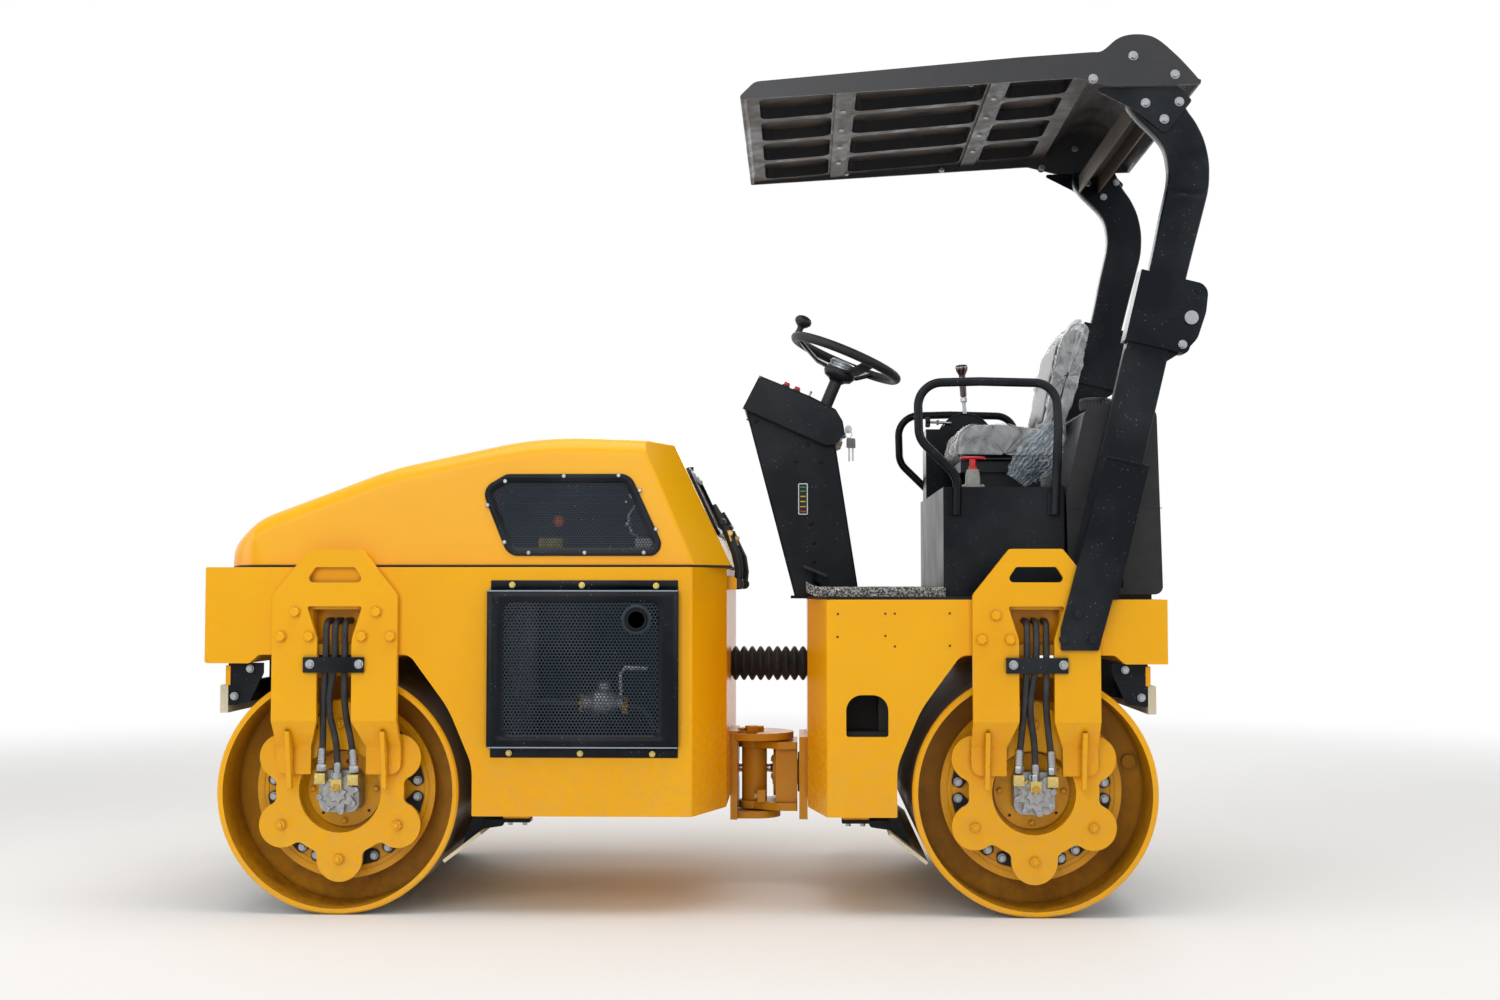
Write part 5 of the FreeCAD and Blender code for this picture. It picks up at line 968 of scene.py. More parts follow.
def shade(data: bpy.types.Mesh, sharp: float) -> None:
    """Shade a mesh smooth except over edges that turn by more than an angle in degrees."""
    mesh = bmesh.new()
    mesh.from_mesh(data)
    for face in mesh.faces:
        face.smooth = True
    for edge in mesh.edges:
        edge.smooth = len(edge.link_faces) == 2 and edge.calc_face_angle(0.0) < math.radians(sharp)
    mesh.to_mesh(data)
    mesh.free()


@dataclass
class FrameDresser:
    """Gives the CAD nodes that keep their own shape the finish of each of their faces."""

    carrier_radius: float = 262.5
    drum_radius: float = 345.0
    rim_edge: float = 592.0
    clamp_low: float = 694.0
    clamp_high: float = 740.0
    elbow_out: float = 584.0
    motor_foot: float = 509.2
    bay_start: float = -610.0
    bay_core: Corner = (-280.0, 0.0, 650.0)
    hood_core: Corner = (-400.0, 0.0, 1010.0)

    plain: tuple[tuple[str, Finish], ...] = (
        ("rear_frame", Finish.YELLOW),
        ("hitch_clevis", Finish.HITCH_YELLOW), ("knuckle", Finish.HITCH_YELLOW),
        ("osc_shaft", Finish.HITCH_YELLOW), ("steer_barrel", Finish.BLACK), ("steer_rod", Finish.CHROME),
        ("engine", Finish.SOOT_AND_SHADE), ("exhaust_pipe", Finish.SOOT_AND_SHADE), ("hood_seal", Finish.RUBBER),
        ("vent_pans", Finish.BLACK), ("hood_grilles", Finish.BLACK),
        ("front_buffers", Finish.RUBBER), ("rear_buffers", Finish.RUBBER),
        ("front_hoses", Finish.HOSE), ("rear_hoses", Finish.HOSE),
        ("floor_plate", Finish.BLACK), ("floor_mat", Finish.MAT), ("console", Finish.BLACK),
        ("steering_wheel", Finish.BLACK), ("seat_pedestal", Finish.BLACK), ("travel_lever", Finish.ZINC),
        ("seat_base", Finish.GREY), ("seat_cushions", Finish.VINYL), ("hand_rails", Finish.BLACK),
        ("rear_tank", Finish.PLASTIC), ("lower_posts", Finish.BLACK), ("upper_arches", Finish.BLACK),
        ("arch_channel", Finish.CHANNEL),
        ("fold_pins", Finish.ZINC), ("canopy", Finish.CANOPY),
        ("bellows_front", Finish.RUBBER), ("bellows_rear", Finish.RUBBER),
        ("front_scraper_bars", Finish.BLACK), ("rear_scraper_bars", Finish.BLACK),
        ("front_scraper_blades", Finish.CREAM), ("rear_scraper_blades", Finish.CREAM))

    def run(self) -> None:
        """Dress every node."""
        for node, finish in self.plain:
            self.paint(node, (finish,), lambda at, out: 0)
        # painted shade: faces of the front frame's bay and of the hood that face inwards take the near-black finish
        for node, finish, core in (("front_frame", Finish.YELLOW, self.bay_core), ("hood", Finish.YELLOW, self.hood_core)):
            self.paint(node, (finish, Finish.DARK),
                       lambda at, out, c=core: int(at.x > self.bay_start and (at - Vector(c)).dot(out) < 0))
        for end, axle in (("front", FRONT_AXLE), ("rear", REAR_AXLE)):
            self.paint(end + "_drum", (Finish.YELLOW, Finish.DRUM, Finish.DRUM_SIDE_SHADE),
                       lambda at, out, a=axle: self.drum_part(math.hypot(at.x - a, at.z - AXLE_Z), at.y))
            self.paint(end + "_forks", (Finish.YELLOW, Finish.BLACK),
                       lambda at, out: int(self.clamp_low < at.z < self.clamp_high
                                           and abs(at.y) > BRACKET_FACE + 0.5))
            self.paint(end + "_drives", (Finish.YELLOW, Finish.CAST, Finish.PASSIVATED),
                       lambda at, out: self.drive_part(at.y))

    def drive_part(self, y: float) -> int:
        """Which finish a face of a drum drive has: carrier, motor or port block."""
        if abs(y) < self.motor_foot:
            return 0
        return 2 if abs(y) > self.elbow_out else 1

    def drum_part(self, radius: float, y: float) -> int:
        """Which finish a face of a drum has: rim edge, running shell, or the side inside the rim, darker as painted
        shade and dusty.
        """
        if abs(y) > self.rim_edge:
            return 0
        return 1 if radius > self.drum_radius else 2

    def paint(self, node: str, finishes: Sequence[Finish], pick: Callable[[Vector, Vector], int]) -> None:
        """Give a node its finishes, face by face.

        Args:
            node: the CAD node.
            finishes: its finishes.
            pick: which of them a face has, by its middle in the layout's millimetres and its normal.
        """
        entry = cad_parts[node]
        for part in (entry if isinstance(entry, (list, tuple)) else (entry,)):
            part.data.materials.clear()
            for finish in finishes:
                part.data.materials.append(PAINT.get(finish))
            for face in part.data.polygons:
                middle = face.center
                face.material_index = pick((middle - Vector((SHIFT, 0, 0))) * 1000, face.normal)


# Drum ends


NEAR = Vector((0, -1, 0))
UP = Vector((0, 0, 1))


def polar(axle: float, y: float, radius: float, degrees: float) -> Vector:
    """Point at a radius and an angle round a drum's axle, on the near side."""
    a = math.radians(degrees)
    return Vector((axle + radius * math.cos(a), y, AXLE_Z + radius * math.sin(a)))


@dataclass(frozen=True)
class DrumEnd:
    """Bolts, motor trim and hose fittings at both ends of one drum."""

    end: str
    axle: float
    body: Body
    bracket_bolts: tuple[Pair, ...]

    star_face: float = -570.0
    star_circle: float = 195.0
    carrier_face: float = -495.0
    flange_face: float = -509.0
    ear_face: float = -501.0
    ear_circle: float = 212.7
    ear_turn: float = 23.6
    cover_face: float = -579.0
    port_face: float = -615.0
    ports: tuple[Pair, ...] = ((-48.0, 40.0), (48.0, 36.0))

    def build(self) -> None:
        """Make the four groups for both ends."""
        self.painted_bolts()
        self.zinc_bolts()
        self.motor_cover()
        self.fittings()

    def painted_bolts(self) -> None:
        """Bolts painted over with the machine: lobed plate, motor flange and fork bracket."""
        piece = Piece(self.end + "_plate_bolts", self.body, Finish.YELLOW)
        for k in range(6):
            piece.bolt(polar(self.axle, self.star_face, self.star_circle, 90 + 60 * k), NEAR, 23, 13, 16.5, 7)
        for degrees in (0, 180, 270):
            piece.bolt(polar(self.axle, self.flange_face, 92, degrees), NEAR, 13, 8, 9)
        for x, z in self.bracket_bolts:
            piece.bolt(Vector((self.axle + x, -BRACKET_FACE, z)), NEAR, 24, 14, 17)
        piece.mirror().make()

    def zinc_bolts(self) -> None:
        """Bright bolts in the buffers' ears and in the hose clamp."""
        piece = Piece(self.end + "_buffer_bolts", self.body, Finish.ZINC)
        for k in range(6):
            for side in (-1, 1):
                seat = polar(self.axle, self.ear_face, self.ear_circle, 30 + 60 * k + side * self.ear_turn)
                piece.bolt(seat, NEAR, 18, 10, 13)
        for x, z in ((-67, 719), (74, 719)):
            piece.bolt(Vector((self.axle + x, -BRACKET_FACE - 10, z)), NEAR, 17, 8, 13)
        piece.mirror().make()

    def motor_cover(self) -> None:
        """Lobed cast end cover of the drum motor, its cap screws, the carrier's rings, and dark discs painted as the
        shade in the flange's holes.
        """
        piece = Piece(self.end + "_motor_cover", self.body, Finish.CAST, Finish.ZINC, Finish.RED, Finish.DARK,
                      Finish.YELLOW)
        plane = side_face(0, self.axle, AXLE_Z - 4)
        lobes = [((50 + 11 * math.cos(8 * t)) * math.cos(t + 0.2), (50 + 11 * math.cos(8 * t)) * math.sin(t + 0.2))
                 for t in (2 * math.pi * k / 96 for k in range(96))]
        piece.slab(lobes, plane, -self.cover_face, -self.cover_face + 16, 3)
        piece.slab([(u * 0.5, v * 0.5) for u, v in lobes[::4]], plane, -self.cover_face + 15, -self.cover_face + 24, 2)
        piece.brush(Finish.ZINC)
        for k in range(8):
            t = math.radians(45 * k) + 0.2
            seat = plane.point(53 * math.cos(t), 53 * math.sin(t), -self.cover_face + 16)
            piece.lathe([(8.5, -1), (8.5, 6), (7.6, 7), (4.6, 7), (4.2, 3)], seat, NEAR, 16)
        piece.brush(Finish.RED)
        piece.dome(Vector((self.axle + 8, self.flange_face, AXLE_Z + 79)), NEAR, 6, 6)
        # painted shade: dark discs stand for the shade in the flange's open holes
        piece.brush(Finish.DARK)
        for degrees in (40, 140, 228, 318):
            piece.lathe([(4.5, -1), (4.5, 0.4), (3.6, 0.6)], polar(self.axle, self.flange_face, 95, degrees), NEAR, 12)
        piece.brush(Finish.YELLOW)
        for radius in (230.0, 243.0):
            ring = [polar(self.axle, self.carrier_face, radius, 5 * k) for k in range(72)]
            piece.tube(ring, 2.2, 6, closed=True)
        piece.mirror().make()

    def fittings(self) -> None:
        """Crimped ferrules and swivel nuts at the hoses' ends, and the brass nut on the middle port."""
        piece = Piece(self.end + "_hose_fittings", self.body, Finish.ZINC, Finish.BRASS, Finish.PASSIVATED)
        elbow_y = self.port_face + 15
        for (dx, dz), lean in zip(self.ports, (0.10, -0.13)):
            foot = Vector((self.axle + dx, elbow_y, AXLE_Z + dz + 15))
            axis = Vector((lean * 0.4, -0.02, 1)).normalized()
            piece.brush(Finish.ZINC)
            piece.lathe([(9, -1), (9, 5), (13.2, 5), (14.4, 7), (14.4, 23), (13.2, 25)], foot, axis, 6)
            ferrule = [(11.4, 24), (11.4, 27), (12.6, 28)]
            for k in range(5):
                ferrule += [(12.8, 30 + 8 * k), (12.8, 34 + 8 * k), (11.9, 35 + 8 * k), (11.9, 37 + 8 * k)]
            piece.lathe(ferrule + [(12.4, 71), (10.4, 73)], foot, axis, 20)
            piece.brush(Finish.PASSIVATED)
            block = Vector((self.axle + dx, self.port_face, AXLE_Z + dz))
            piece.lathe([(12.5, -0.5), (12.5, 1.5), (11, 2.5)], block, NEAR, 24)
        middle = Vector((self.axle, elbow_y, AXLE_Z + 37))
        piece.brush(Finish.ZINC)
        piece.lathe([(12, -2), (13.5, 0), (13.5, 16), (12, 18)], middle, UP, 6)
        piece.lathe([(10.8, 17), (11.8, 19), (11.8, 46), (10.2, 48)], middle, UP, 18)
        piece.lathe([(8.5, -40), (9.5, -36), (9.5, -31)], middle, UP, 12)
        piece.brush(Finish.BRASS)
        piece.lathe([(10, -0.5), (11.5, 0.8), (11.5, 9), (9.6, 11), (5, 11), (4.4, 8)],
                    Vector((self.axle, self.port_face, AXLE_Z + 14)), NEAR, 6)
        piece.mirror().make()


# Vents and hood


@dataclass(frozen=True)
class VentPan:
    """Folded vent pans on the front frame's flanks, with perforated faces."""

    box: tuple[float, float, float, float] = (-562.0, -16.0, 481.0, 930.0)
    field: tuple[float, float, float, float] = (-515.0, -73.0, 519.0, 896.0)
    proud: float = 22.0
    lip: float = 28.0
    pitch: float = 10.0
    hole: float = 3.6
    pipe: Pair = (-135.0, 846.0)
    pipe_radius: float = 31.0
    collar: float = 43.0
    screws: tuple[Pair, ...] = ((-493.0, 945.0), (-293.0, 944.0), (-80.0, 942.0),
                                (-500.0, 466.0), (-296.0, 465.0), (-90.0, 464.0))

    def build(self) -> None:
        """Make both pans, which stand for the plain ones, and what shows behind the near one."""
        x0, x1, z0, z1 = self.box
        piece = Piece("vent_pan_sheets", Body.FRONT, Finish.BLACK, Finish.MESH, Finish.FOLD_HIGHLIGHT)
        plane = side_face(0)
        out = FLANK + self.proud
        outer = rounded([(x0, z0, 3), (x1, z0, 3), (x1, z1, 3), (x0, z1, 3)], 4)
        a, b, c, d = self.field
        edge = rounded([(a, c, 24), (b, c, 24), (b, d, 24), (a, d, 24)], 4)
        piece.band(outer, edge, plane, out - 1.5, out)
        walls = [[plane.point(u, v, w) for u, v in outer] for w in (FLANK, out - 0.2)]
        inner = [[plane.point(x0 + (u - x0) * 0.994 + 1.6, z0 + (v - z0) * 0.994 + 1.4, w) for u, v in outer]
                 for w in (out - 1.6, FLANK)]
        piece.loft(walls + inner, caps=False)
        for low, high in ((z1 - 1, z1 + self.lip), (z0 - self.lip, z0 + 1)):
            flange = rounded([(x0 + 8, low, 1.5), (x1 - 1, low, 1.5), (x1 - 1, high, 1.5), (x0 + 8, high, 1.5)], 2)
            piece.slab(flange, plane, FLANK, FLANK + 2.5, 0.5)
        # painted highlight: pale strips along the pan's folded top and bottom edges stand for the reflection there
        piece.brush(Finish.FOLD_HIGHLIGHT)
        for v in (z1, z0 + 4.0):
            piece.slab([(x0 + 1, v - 4), (x1 - 1, v - 4), (x1 - 1, v), (x0 + 1, v)], plane, out - 0.6, out + 0.5, 0.3)
        grown = rounded([(a - 5, c - 5, 26), (b + 5, c - 5, 26), (b + 5, d + 5, 26), (a - 5, d + 5, 26)], 4)
        piece.mirror()
        piece.brush(Finish.MESH)
        px, pz = self.pipe
        open_field = [p for p in grown]
        holes = piece.mesh_sheet(open_field, side_face(0), self.pitch, self.hole,
                                 skip=lambda u, v: math.hypot(u - px, v - pz) < self.collar - 4, lift=out - 1.0)
        ring = [(self.collar * math.cos(t), self.collar * math.sin(t)) for t in (math.pi * k / 24 for k in range(48))]
        bore = self.pipe_radius / self.collar
        piece.band([(px + u, pz + v) for u, v in ring], [(px + u * bore, pz + v * bore) for u, v in ring],
                   plane, out - 1.5, out - 0.3)
        far = Facing(Vector((0, 0, 0)), Vector((-1, 0, 0)), Vector((0, 0, 1)))
        mirrored_field = [(-u, v) for u, v in grown]
        piece.mesh_sheet(mirrored_field, far, self.pitch, self.hole, lift=out - 1.0)
        LOG.info("vent pan: %d holes", holes)
        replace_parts(piece.make(tidy_normals=False), "vent_pans")
        bolts = Piece("vent_pan_bolts", Body.FRONT, Finish.PASSIVATED)
        for x, z in self.screws:
            bolts.bolt(Vector((x, -FLANK - 2.5, z)), NEAR, 11, 5, 9)
        bolts.mirror().make()
        self.behind()

    def behind(self) -> None:
        """Valve body, its rings and the pipes that glint behind the near pan."""
        piece = Piece("bay_valve", Body.FRONT, Finish.ZINC, Finish.BRASS, Finish.HOSE, Finish.CAST)
        y = -600.0
        piece.brush(Finish.CAST)
        along = Vector((1, 0, 0))
        piece.lathe([(18, -64), (26, -60), (30, -40), (44, -24), (46, 0), (40, 22), (28, 36), (24, 56), (16, 60)],
                    Vector((-236, y + 46, 602)), along, 20)
        piece.lathe([(20, 0), (20, 60), (14, 64)], Vector((-236, y + 46, 602)), UP, 16)
        piece.brush(Finish.BRASS)
        piece.lathe([(24, 0), (30, 1), (30, 9), (24, 10)], Vector((-306, y + 46, 600)), along, 6)
        piece.lathe([(22, 0), (27, 1), (27, 18), (22, 19)], Vector((-184, y + 46, 594)), along, 6)
        piece.brush(Finish.ZINC)
        piece.tube([Vector((-186, y + 46, 612)), Vector((-188, y + 44, 690)), Vector((-176, y + 44, 706)),
                    Vector((-110, y + 44, 704))], 8, 12)
        piece.brush(Finish.HOSE)
        piece.tube([Vector((-430, y + 44, 606)), Vector((-370, y + 46, 604)), Vector((-306, y + 46, 600))], 12, 12)
        piece.tube([Vector((-166, y + 46, 594)), Vector((-130, y + 46, 586)), Vector((-96, y + 44, 560)),
                    Vector((-90, y + 44, 520))], 12, 12)
        piece.make()


@dataclass(frozen=True)
class HoodGrille:
    """Perforated grilles in the hood's sides and rear slope, with their screws."""

    table: tuple[Corner, ...] = ((-592.0, 1224.0, 40.0), (-520.0, 1267.0, 40.0), (-160.0, 1267.0, 45.0),
                                 (-62.0, 1055.0, 34.0), (-90.0, 1029.0, 25.0), (-512.0, 1029.0, 45.0))
    screws: tuple[Pair, ...] = ((-523.5, 255.5), (-352.7, 270.6), (-193.6, 272.1), (-131.8, 228.2), (-84.1, 115.7),
                                (-118.4, 47.3), (-289.6, 47.3), (-451.6, 47.4), (-522.3, 78.0), (-573.4, 185.6))
    half: float = 600.0
    base: float = 990.0
    lean: float = 34.0 / 430.0
    border: float = 24.0
    slope_top: Pair = (-46.0, 1366.0)
    slope_low: Pair = (126.0, 1000.0)
    rear_half: float = 330.0
    rear_span: Pair = (70.0, 300.0)

    @property
    def rear_plane(self) -> Facing:
        """Working plane on the hood's rear slope, its origin at the slope's top."""
        down = Vector((self.slope_low[0] - self.slope_top[0], 0, self.slope_low[1] - self.slope_top[1])).normalized()
        return Facing(Vector((self.slope_top[0], 0, self.slope_top[1])), Vector((0, 1, 0)), -down)

    def build(self) -> None:
        """Make the grilles, which stand for the plain ones, and what shows behind them."""
        piece = Piece("hood_grille_sheets", Body.HOOD, Finish.BLACK, Finish.MESH, Finish.DARK)
        side = Facing(Vector((0, -self.half, self.base)), Vector((1, 0, 0)),
                      Vector((0, self.lean, 1)).normalized())
        corners = [(x, z - self.base, r) for x, z, r in self.table]
        self.grille(piece, side, corners, 5.0, 8.0, 2.9, 1.8, Finish.MESH)
        piece.mirror()
        rear = self.rear_plane
        near, far = (-s for s in self.rear_span)
        wide = self.rear_half
        # painted shade: the rear grille's sheet takes the near-black finish for the shade under the hood
        self.grille(piece, rear, [(-wide, far, 40), (wide, far, 40), (wide, near, 40), (-wide, near, 40)], 9.5, 10.0, 3.4,
                    -2.0, Finish.DARK)
        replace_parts(piece.make(tidy_normals=False), "hood_grilles")
        bolts = Piece("hood_grille_screws", Body.HOOD, Finish.ZINC)
        for u, v in self.screws:
            bolts.dome(side.point(u, v, 4.6), side.out, 6.2, 3.6)
        bolts.mirror()
        for u in (-310, -100, 100, 310):
            for v in (-82, -288):
                bolts.dome(rear.point(u, v, 9.1), rear.out, 6.2, 3.6)
        bolts.make()
        self.behind()

    def grille(self, piece: Piece, plane: Facing, corners: Sequence[Corner], thick: float, pitch: float,
               hole: float, lift: float, sheet: Finish) -> None:
        """One grille: a frame with softened edges and the perforated sheet in it."""
        edge = rounded(corners, 6)
        inner = inset(edge, self.border)
        middle = inset(edge, 1.2)
        rows = [[plane.point(u, v, 0) for u, v in edge], [plane.point(u, v, thick - 1) for u, v in edge],
                [plane.point(u, v, thick) for u, v in middle], [plane.point(u, v, thick) for u, v in inner],
                [plane.point(u, v, -1) for u, v in inner]]
        piece.brush(Finish.BLACK)
        piece.loft(rows, caps=False)
        piece.brush(sheet)
        piece.mesh_sheet(inset(edge, self.border - 6), plane, pitch, hole, lift=lift)

    def behind(self) -> None:
        """Round lamp, dull boxes and bright fittings that show through the side grille."""
        piece = Piece("bay_top_fittings", Body.FRONT, Finish.ORANGE, Finish.LAMP_YELLOW, Finish.ZINC, Finish.CAST)
        piece.brush(Finish.ORANGE)
        piece.lathe([(17, 0), (17, 8), (13, 13), (6, 16)], Vector((-382, -470, 1133)), NEAR, 24)
        for x in (-405, -120):
            piece.brush(Finish.LAMP_YELLOW if x < -200 else Finish.CAST)
            corners = rounded([(x - 36, 1050, 4), (x + 36, 1050, 4), (x + 36, 1084, 4), (x - 36, 1084, 4)], 3)
            piece.slab(corners, side_face(0), 440, 480, 2)
        piece.brush(Finish.ZINC)
        for x, z, r in ((-166, 1208, 12), (-182, 1192, 7), (-178, 1124, 9), (-168, 1106, 7), (-228, 1052, 8)):
            piece.lathe([(r, 0), (r, r), (r * 0.6, r * 1.4)], Vector((x, -470, z)), NEAR, 6)
        piece.tube([Vector((-150, -462, 1190)), Vector((-176, -466, 1150)), Vector((-170, -466, 1100)),
                    Vector((-120, -462, 1070))], 5, 10)
        piece.make()
        self.cooler()

    def cooler(self) -> None:
        """Oil cooler in the middle of the bay: finned core between two tanks, near-black behind both grilles, its own
        black deepened as painted shade of the bay.
        """
        piece = Piece("oil_cooler", Body.FRONT, Finish.DARK)
        core = rounded([(-600, 1010, 4), (-44, 1010, 4), (-44, 1322, 4), (-600, 1322, 4)], 3)
        piece.slab(core, side_face(0), -24, 24, 2)
        for x in (-606, -38):
            piece.tube([Vector((x, 0, 1008)), Vector((x, 0, 1324))], 27, 16)
        for k in range(12):
            z = 1024 + 26 * k
            piece.slab([(-590, z), (-54, z), (-54, z + 12), (-590, z + 12)], side_face(0), -30, 30, 1)
        piece.make()


def inset(outline: Sequence[Pair], distance: float) -> list[Pair]:
    """The outline moved inwards by a distance, point by point.

    Args:
        outline: its points, counter-clockwise or clockwise.
        distance: how far.

    Returns:
        As many points, further in.
    """
    count = len(outline)
    area = sum(outline[i - 1][0] * outline[i][1] - outline[i][0] * outline[i - 1][1] for i in range(count))
    turn = 1.0 if area > 0 else -1.0
    moved = []
    for i in range(count):
        before, here, after = Vector(outline[i - 1]), Vector(outline[i]), Vector(outline[(i + 1) % count])
        first, second = (here - before).normalized(), (after - here).normalized()
        normal = (Vector((-first.y, first.x)) + Vector((-second.y, second.x))).normalized() * turn
        stretch = max(0.5, math.sqrt((1 + first.dot(second)) / 2))
        moved.append(tuple(here + normal * distance / stretch))
    return moved


@dataclass(frozen=True)
class HoodShell:
    """Hood sheet with soft roof edges, and rear corners cut back in a facet that runs along the slope."""

    line: tuple[Corner, ...] = ((-1347.0, 1003.0, 0.0), (-1343.0, 1062.0, 40.0), (-1240.0, 1142.0, 260.0),
                                (-860.0, 1286.0, 900.0), (-420.0, 1380.0, 1100.0), (150.0, 1358.7, 0.0),
                                (150.0, 1003.0, 0.0))
    nose: float = -1347.0
    half: float = 600.0
    lean: float = 34.0 / 430.0
    base: float = 1000.0
    corner: float = 140.0
    fillet: float = 55.0
    sheet: float = 3.5
    round_top: float = 16.0
    round_corner: float = 11.0
    facet_foot: tuple[Corner, Corner] = ((27.0, -600.0, 1000.0), (126.0, -400.0, 1000.0))
    down_slope: Corner = (172.0, 0.0, -366.0)
    hinges: Pair = (-330.0, 330.0)

    def build(self) -> None:
        """Make the hollow sheet with its three windows, which stands for the plain one."""
        shell = self.form("hood_form", 0.0)
        grille = HoodGrille()
        side = Piece("cut", Body.HOOD, Finish.YELLOW)
        side.slab(inset(rounded(grille.table, 6), 18.0), side_face(0), -700, 700, 0.1)
        rear = Piece("cut", Body.HOOD, Finish.YELLOW)
        wide = grille.rear_half
        near, far = (-s for s in grille.rear_span)
        corners = [(-wide, far, 40), (wide, far, 40), (wide, near, 40), (-wide, near, 40)]
        rear.slab(inset(rounded(corners, 6), 18.0), grille.rear_plane, -30, 30, 0.1)
        for tool in (self.form("cut", self.sheet), side.bare(), rear.bare()):
            step = shell.modifiers.new("cut", "BOOLEAN")
            step.operation, step.solver, step.object = "DIFFERENCE", "EXACT", tool
            keep_shape(shell)
            bpy.data.objects.remove(tool)
        shade(shell.data, 30.0)
        reshape(shell, "WEIGHTED_NORMAL", keep_sharp=True)
        data = shell.data
        bpy.data.objects.remove(shell)
        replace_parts(enrol("hood_shell", data, Body.HOOD.value, Finish.YELLOW), "hood")
        leaves = Piece("hood_hinge_leaves", Body.HOOD, Finish.YELLOW)
        for y in self.hinges:
            leaves.lathe([(7, -13), (7, 13)], Vector((self.nose - 9, y, 1004)), Vector((0, 1, 0)), 20)
            leaves.slab([(self.nose - 9, 1005), (self.nose + 3, 1005), (self.nose + 3, 1010), (self.nose - 9, 1010)],
                        side_face(0), -y - 13, -y + 13, 0.5)
        leaves.make()

    def form(self, name: str, thin: float) -> bpy.types.Object:
        """The hood's outer form, or the space inside it where thin is the sheet's thickness."""
        piece = Piece(name, Body.HOOD, Finish.YELLOW)
        top = [(x, z) for x, z in rounded(self.line, 12)[:-1]]
        stations = {x for x, _ in top} | {self.nose + self.corner * (1 - math.cos(math.radians(6 * k)))
                                          for k in range(16)}
        stations |= {-1200.0 + 60 * k for k in range(20)}
        places = [self.nose + thin]
        for x in sorted(stations):
            if x > places[-1] + 0.5:
                places.append(x)
        piece.loft([self.ring(x, height_at(top, x) - thin, thin) for x in places])
        for place, normal in self.cuts(thin):
            bmesh.ops.bisect_plane(piece.mesh, geom=piece.mesh.verts[:] + piece.mesh.edges[:] + piece.mesh.faces[:],
                                   dist=0.01, plane_co=place, plane_no=normal, clear_outer=True)
            bmesh.ops.holes_fill(piece.mesh, edges=[e for e in piece.mesh.edges if e.is_boundary], sides=0)
        return piece.bare()

    def cuts(self, thin: float) -> list[tuple[Vector, Vector]]:
        """Planes that shape the rear end: the slope, both facets, and the steps that round their edges."""
        foot, ahead = (Vector(p) for p in self.facet_foot)
        up = -Vector(self.down_slope)
        slope = (ahead, NEAR.cross(up).normalized() * -1)
        roof = (Vector((-46, 0, 1366)), Vector((0.037, 0, 1)).normalized())
        facet = (foot, (ahead - foot).cross(up).normalized())
        side = (Vector((0, -self.half, self.base - 10)), Vector((0, -1, self.lean)).normalized())
        planes = [slope] + self.soften(slope, roof, self.round_top)
        for swap in (Vector((1, 1, 1)), Vector((1, -1, 1))):
            here = [(p * swap, n * swap) for p, n in (facet, side)]
            planes += [here[0]]
            for other in (here[1], slope, roof):
                planes += self.soften(here[0], other, self.round_corner)
        return [(p - n * thin, n) for p, n in planes]

    def soften(self, one: tuple[Vector, Vector], two: tuple[Vector, Vector], radius: float,
               steps: int = 5) -> list[tuple[Vector, Vector]]:
        """Planes that touch the round between two others."""
        (p, m), (q, n) = one, two
        lean = m.dot(n)
        d, e = p.dot(m) - radius, q.dot(n) - radius
        middle = (m * (d - lean * e) + n * (e - lean * d)) / (1 - lean * lean)
        turns = [m.slerp(n, k / steps) for k in range(1, steps)]
        return [(middle + t * radius, t) for t in turns]

    def ring(self, x: float, top: float, thin: float) -> list[Vector]:
        """Section across the hood at x: leaning sides, a rounded shoulder and a flat roof."""
        low = self.base - 2 * thin
        half = self.half - thin
        turn = self.corner - thin
        back = max(0.0, self.nose + self.corner - x)
        reach = half - turn + math.sqrt(max(0.0, turn ** 2 - back ** 2))
        bend = min(self.fillet - thin, 0.8 * (top - low))
        shoulder = top - bend

        def wall(z: float) -> float:
            """Half width at a height."""
            return min(half - self.lean * (z - self.base + 10), reach)

        left = [(wall(z), z) for z in (low + (shoulder - low) * k / 6 for k in range(7))]
        flat = wall(shoulder) - bend
        left += [(flat + bend * math.cos(t), shoulder + bend * math.sin(t))
                 for t in (math.pi / 2 * k / 9 for k in range(1, 10))]
        left += [(flat * (1 - k / 4), top) for k in range(1, 4)]
        return [Vector((x, -y, z)) for y, z in left] + [Vector((x, 0, top))] + [Vector((x, y, z)) for y, z in left[::-1]]


@dataclass(frozen=True)
class HoodTrim:
    """Black rubber edging on the hood's lower edge, which closes the gap over the frame; its black also stands in as
    painted shadow in that gap.
    """

    half: float = 601.0
    nose: float = -1341.0
    corner: float = 136.0
    end: float = 27.0
    back: Pair = (126.0, 400.0)
    height: float = 1000.4
    radius: float = 3.0

    def build(self) -> None:
        """Run the edging from one rear corner round the nose to the other."""
        piece = Piece("hood_edge_trim", Body.HOOD, Finish.RUBBER)
        x, y = self.back
        plan = rounded([(x, -y, 0), (self.end, -self.half, 24), (self.nose, -self.half, self.corner),
                        (self.nose, self.half, self.corner), (self.end, self.half, 24), (x, y, 0)], 10)
        piece.tube([Vector((x, y, self.height)) for x, y in plan], self.radius, 10)
        piece.make()


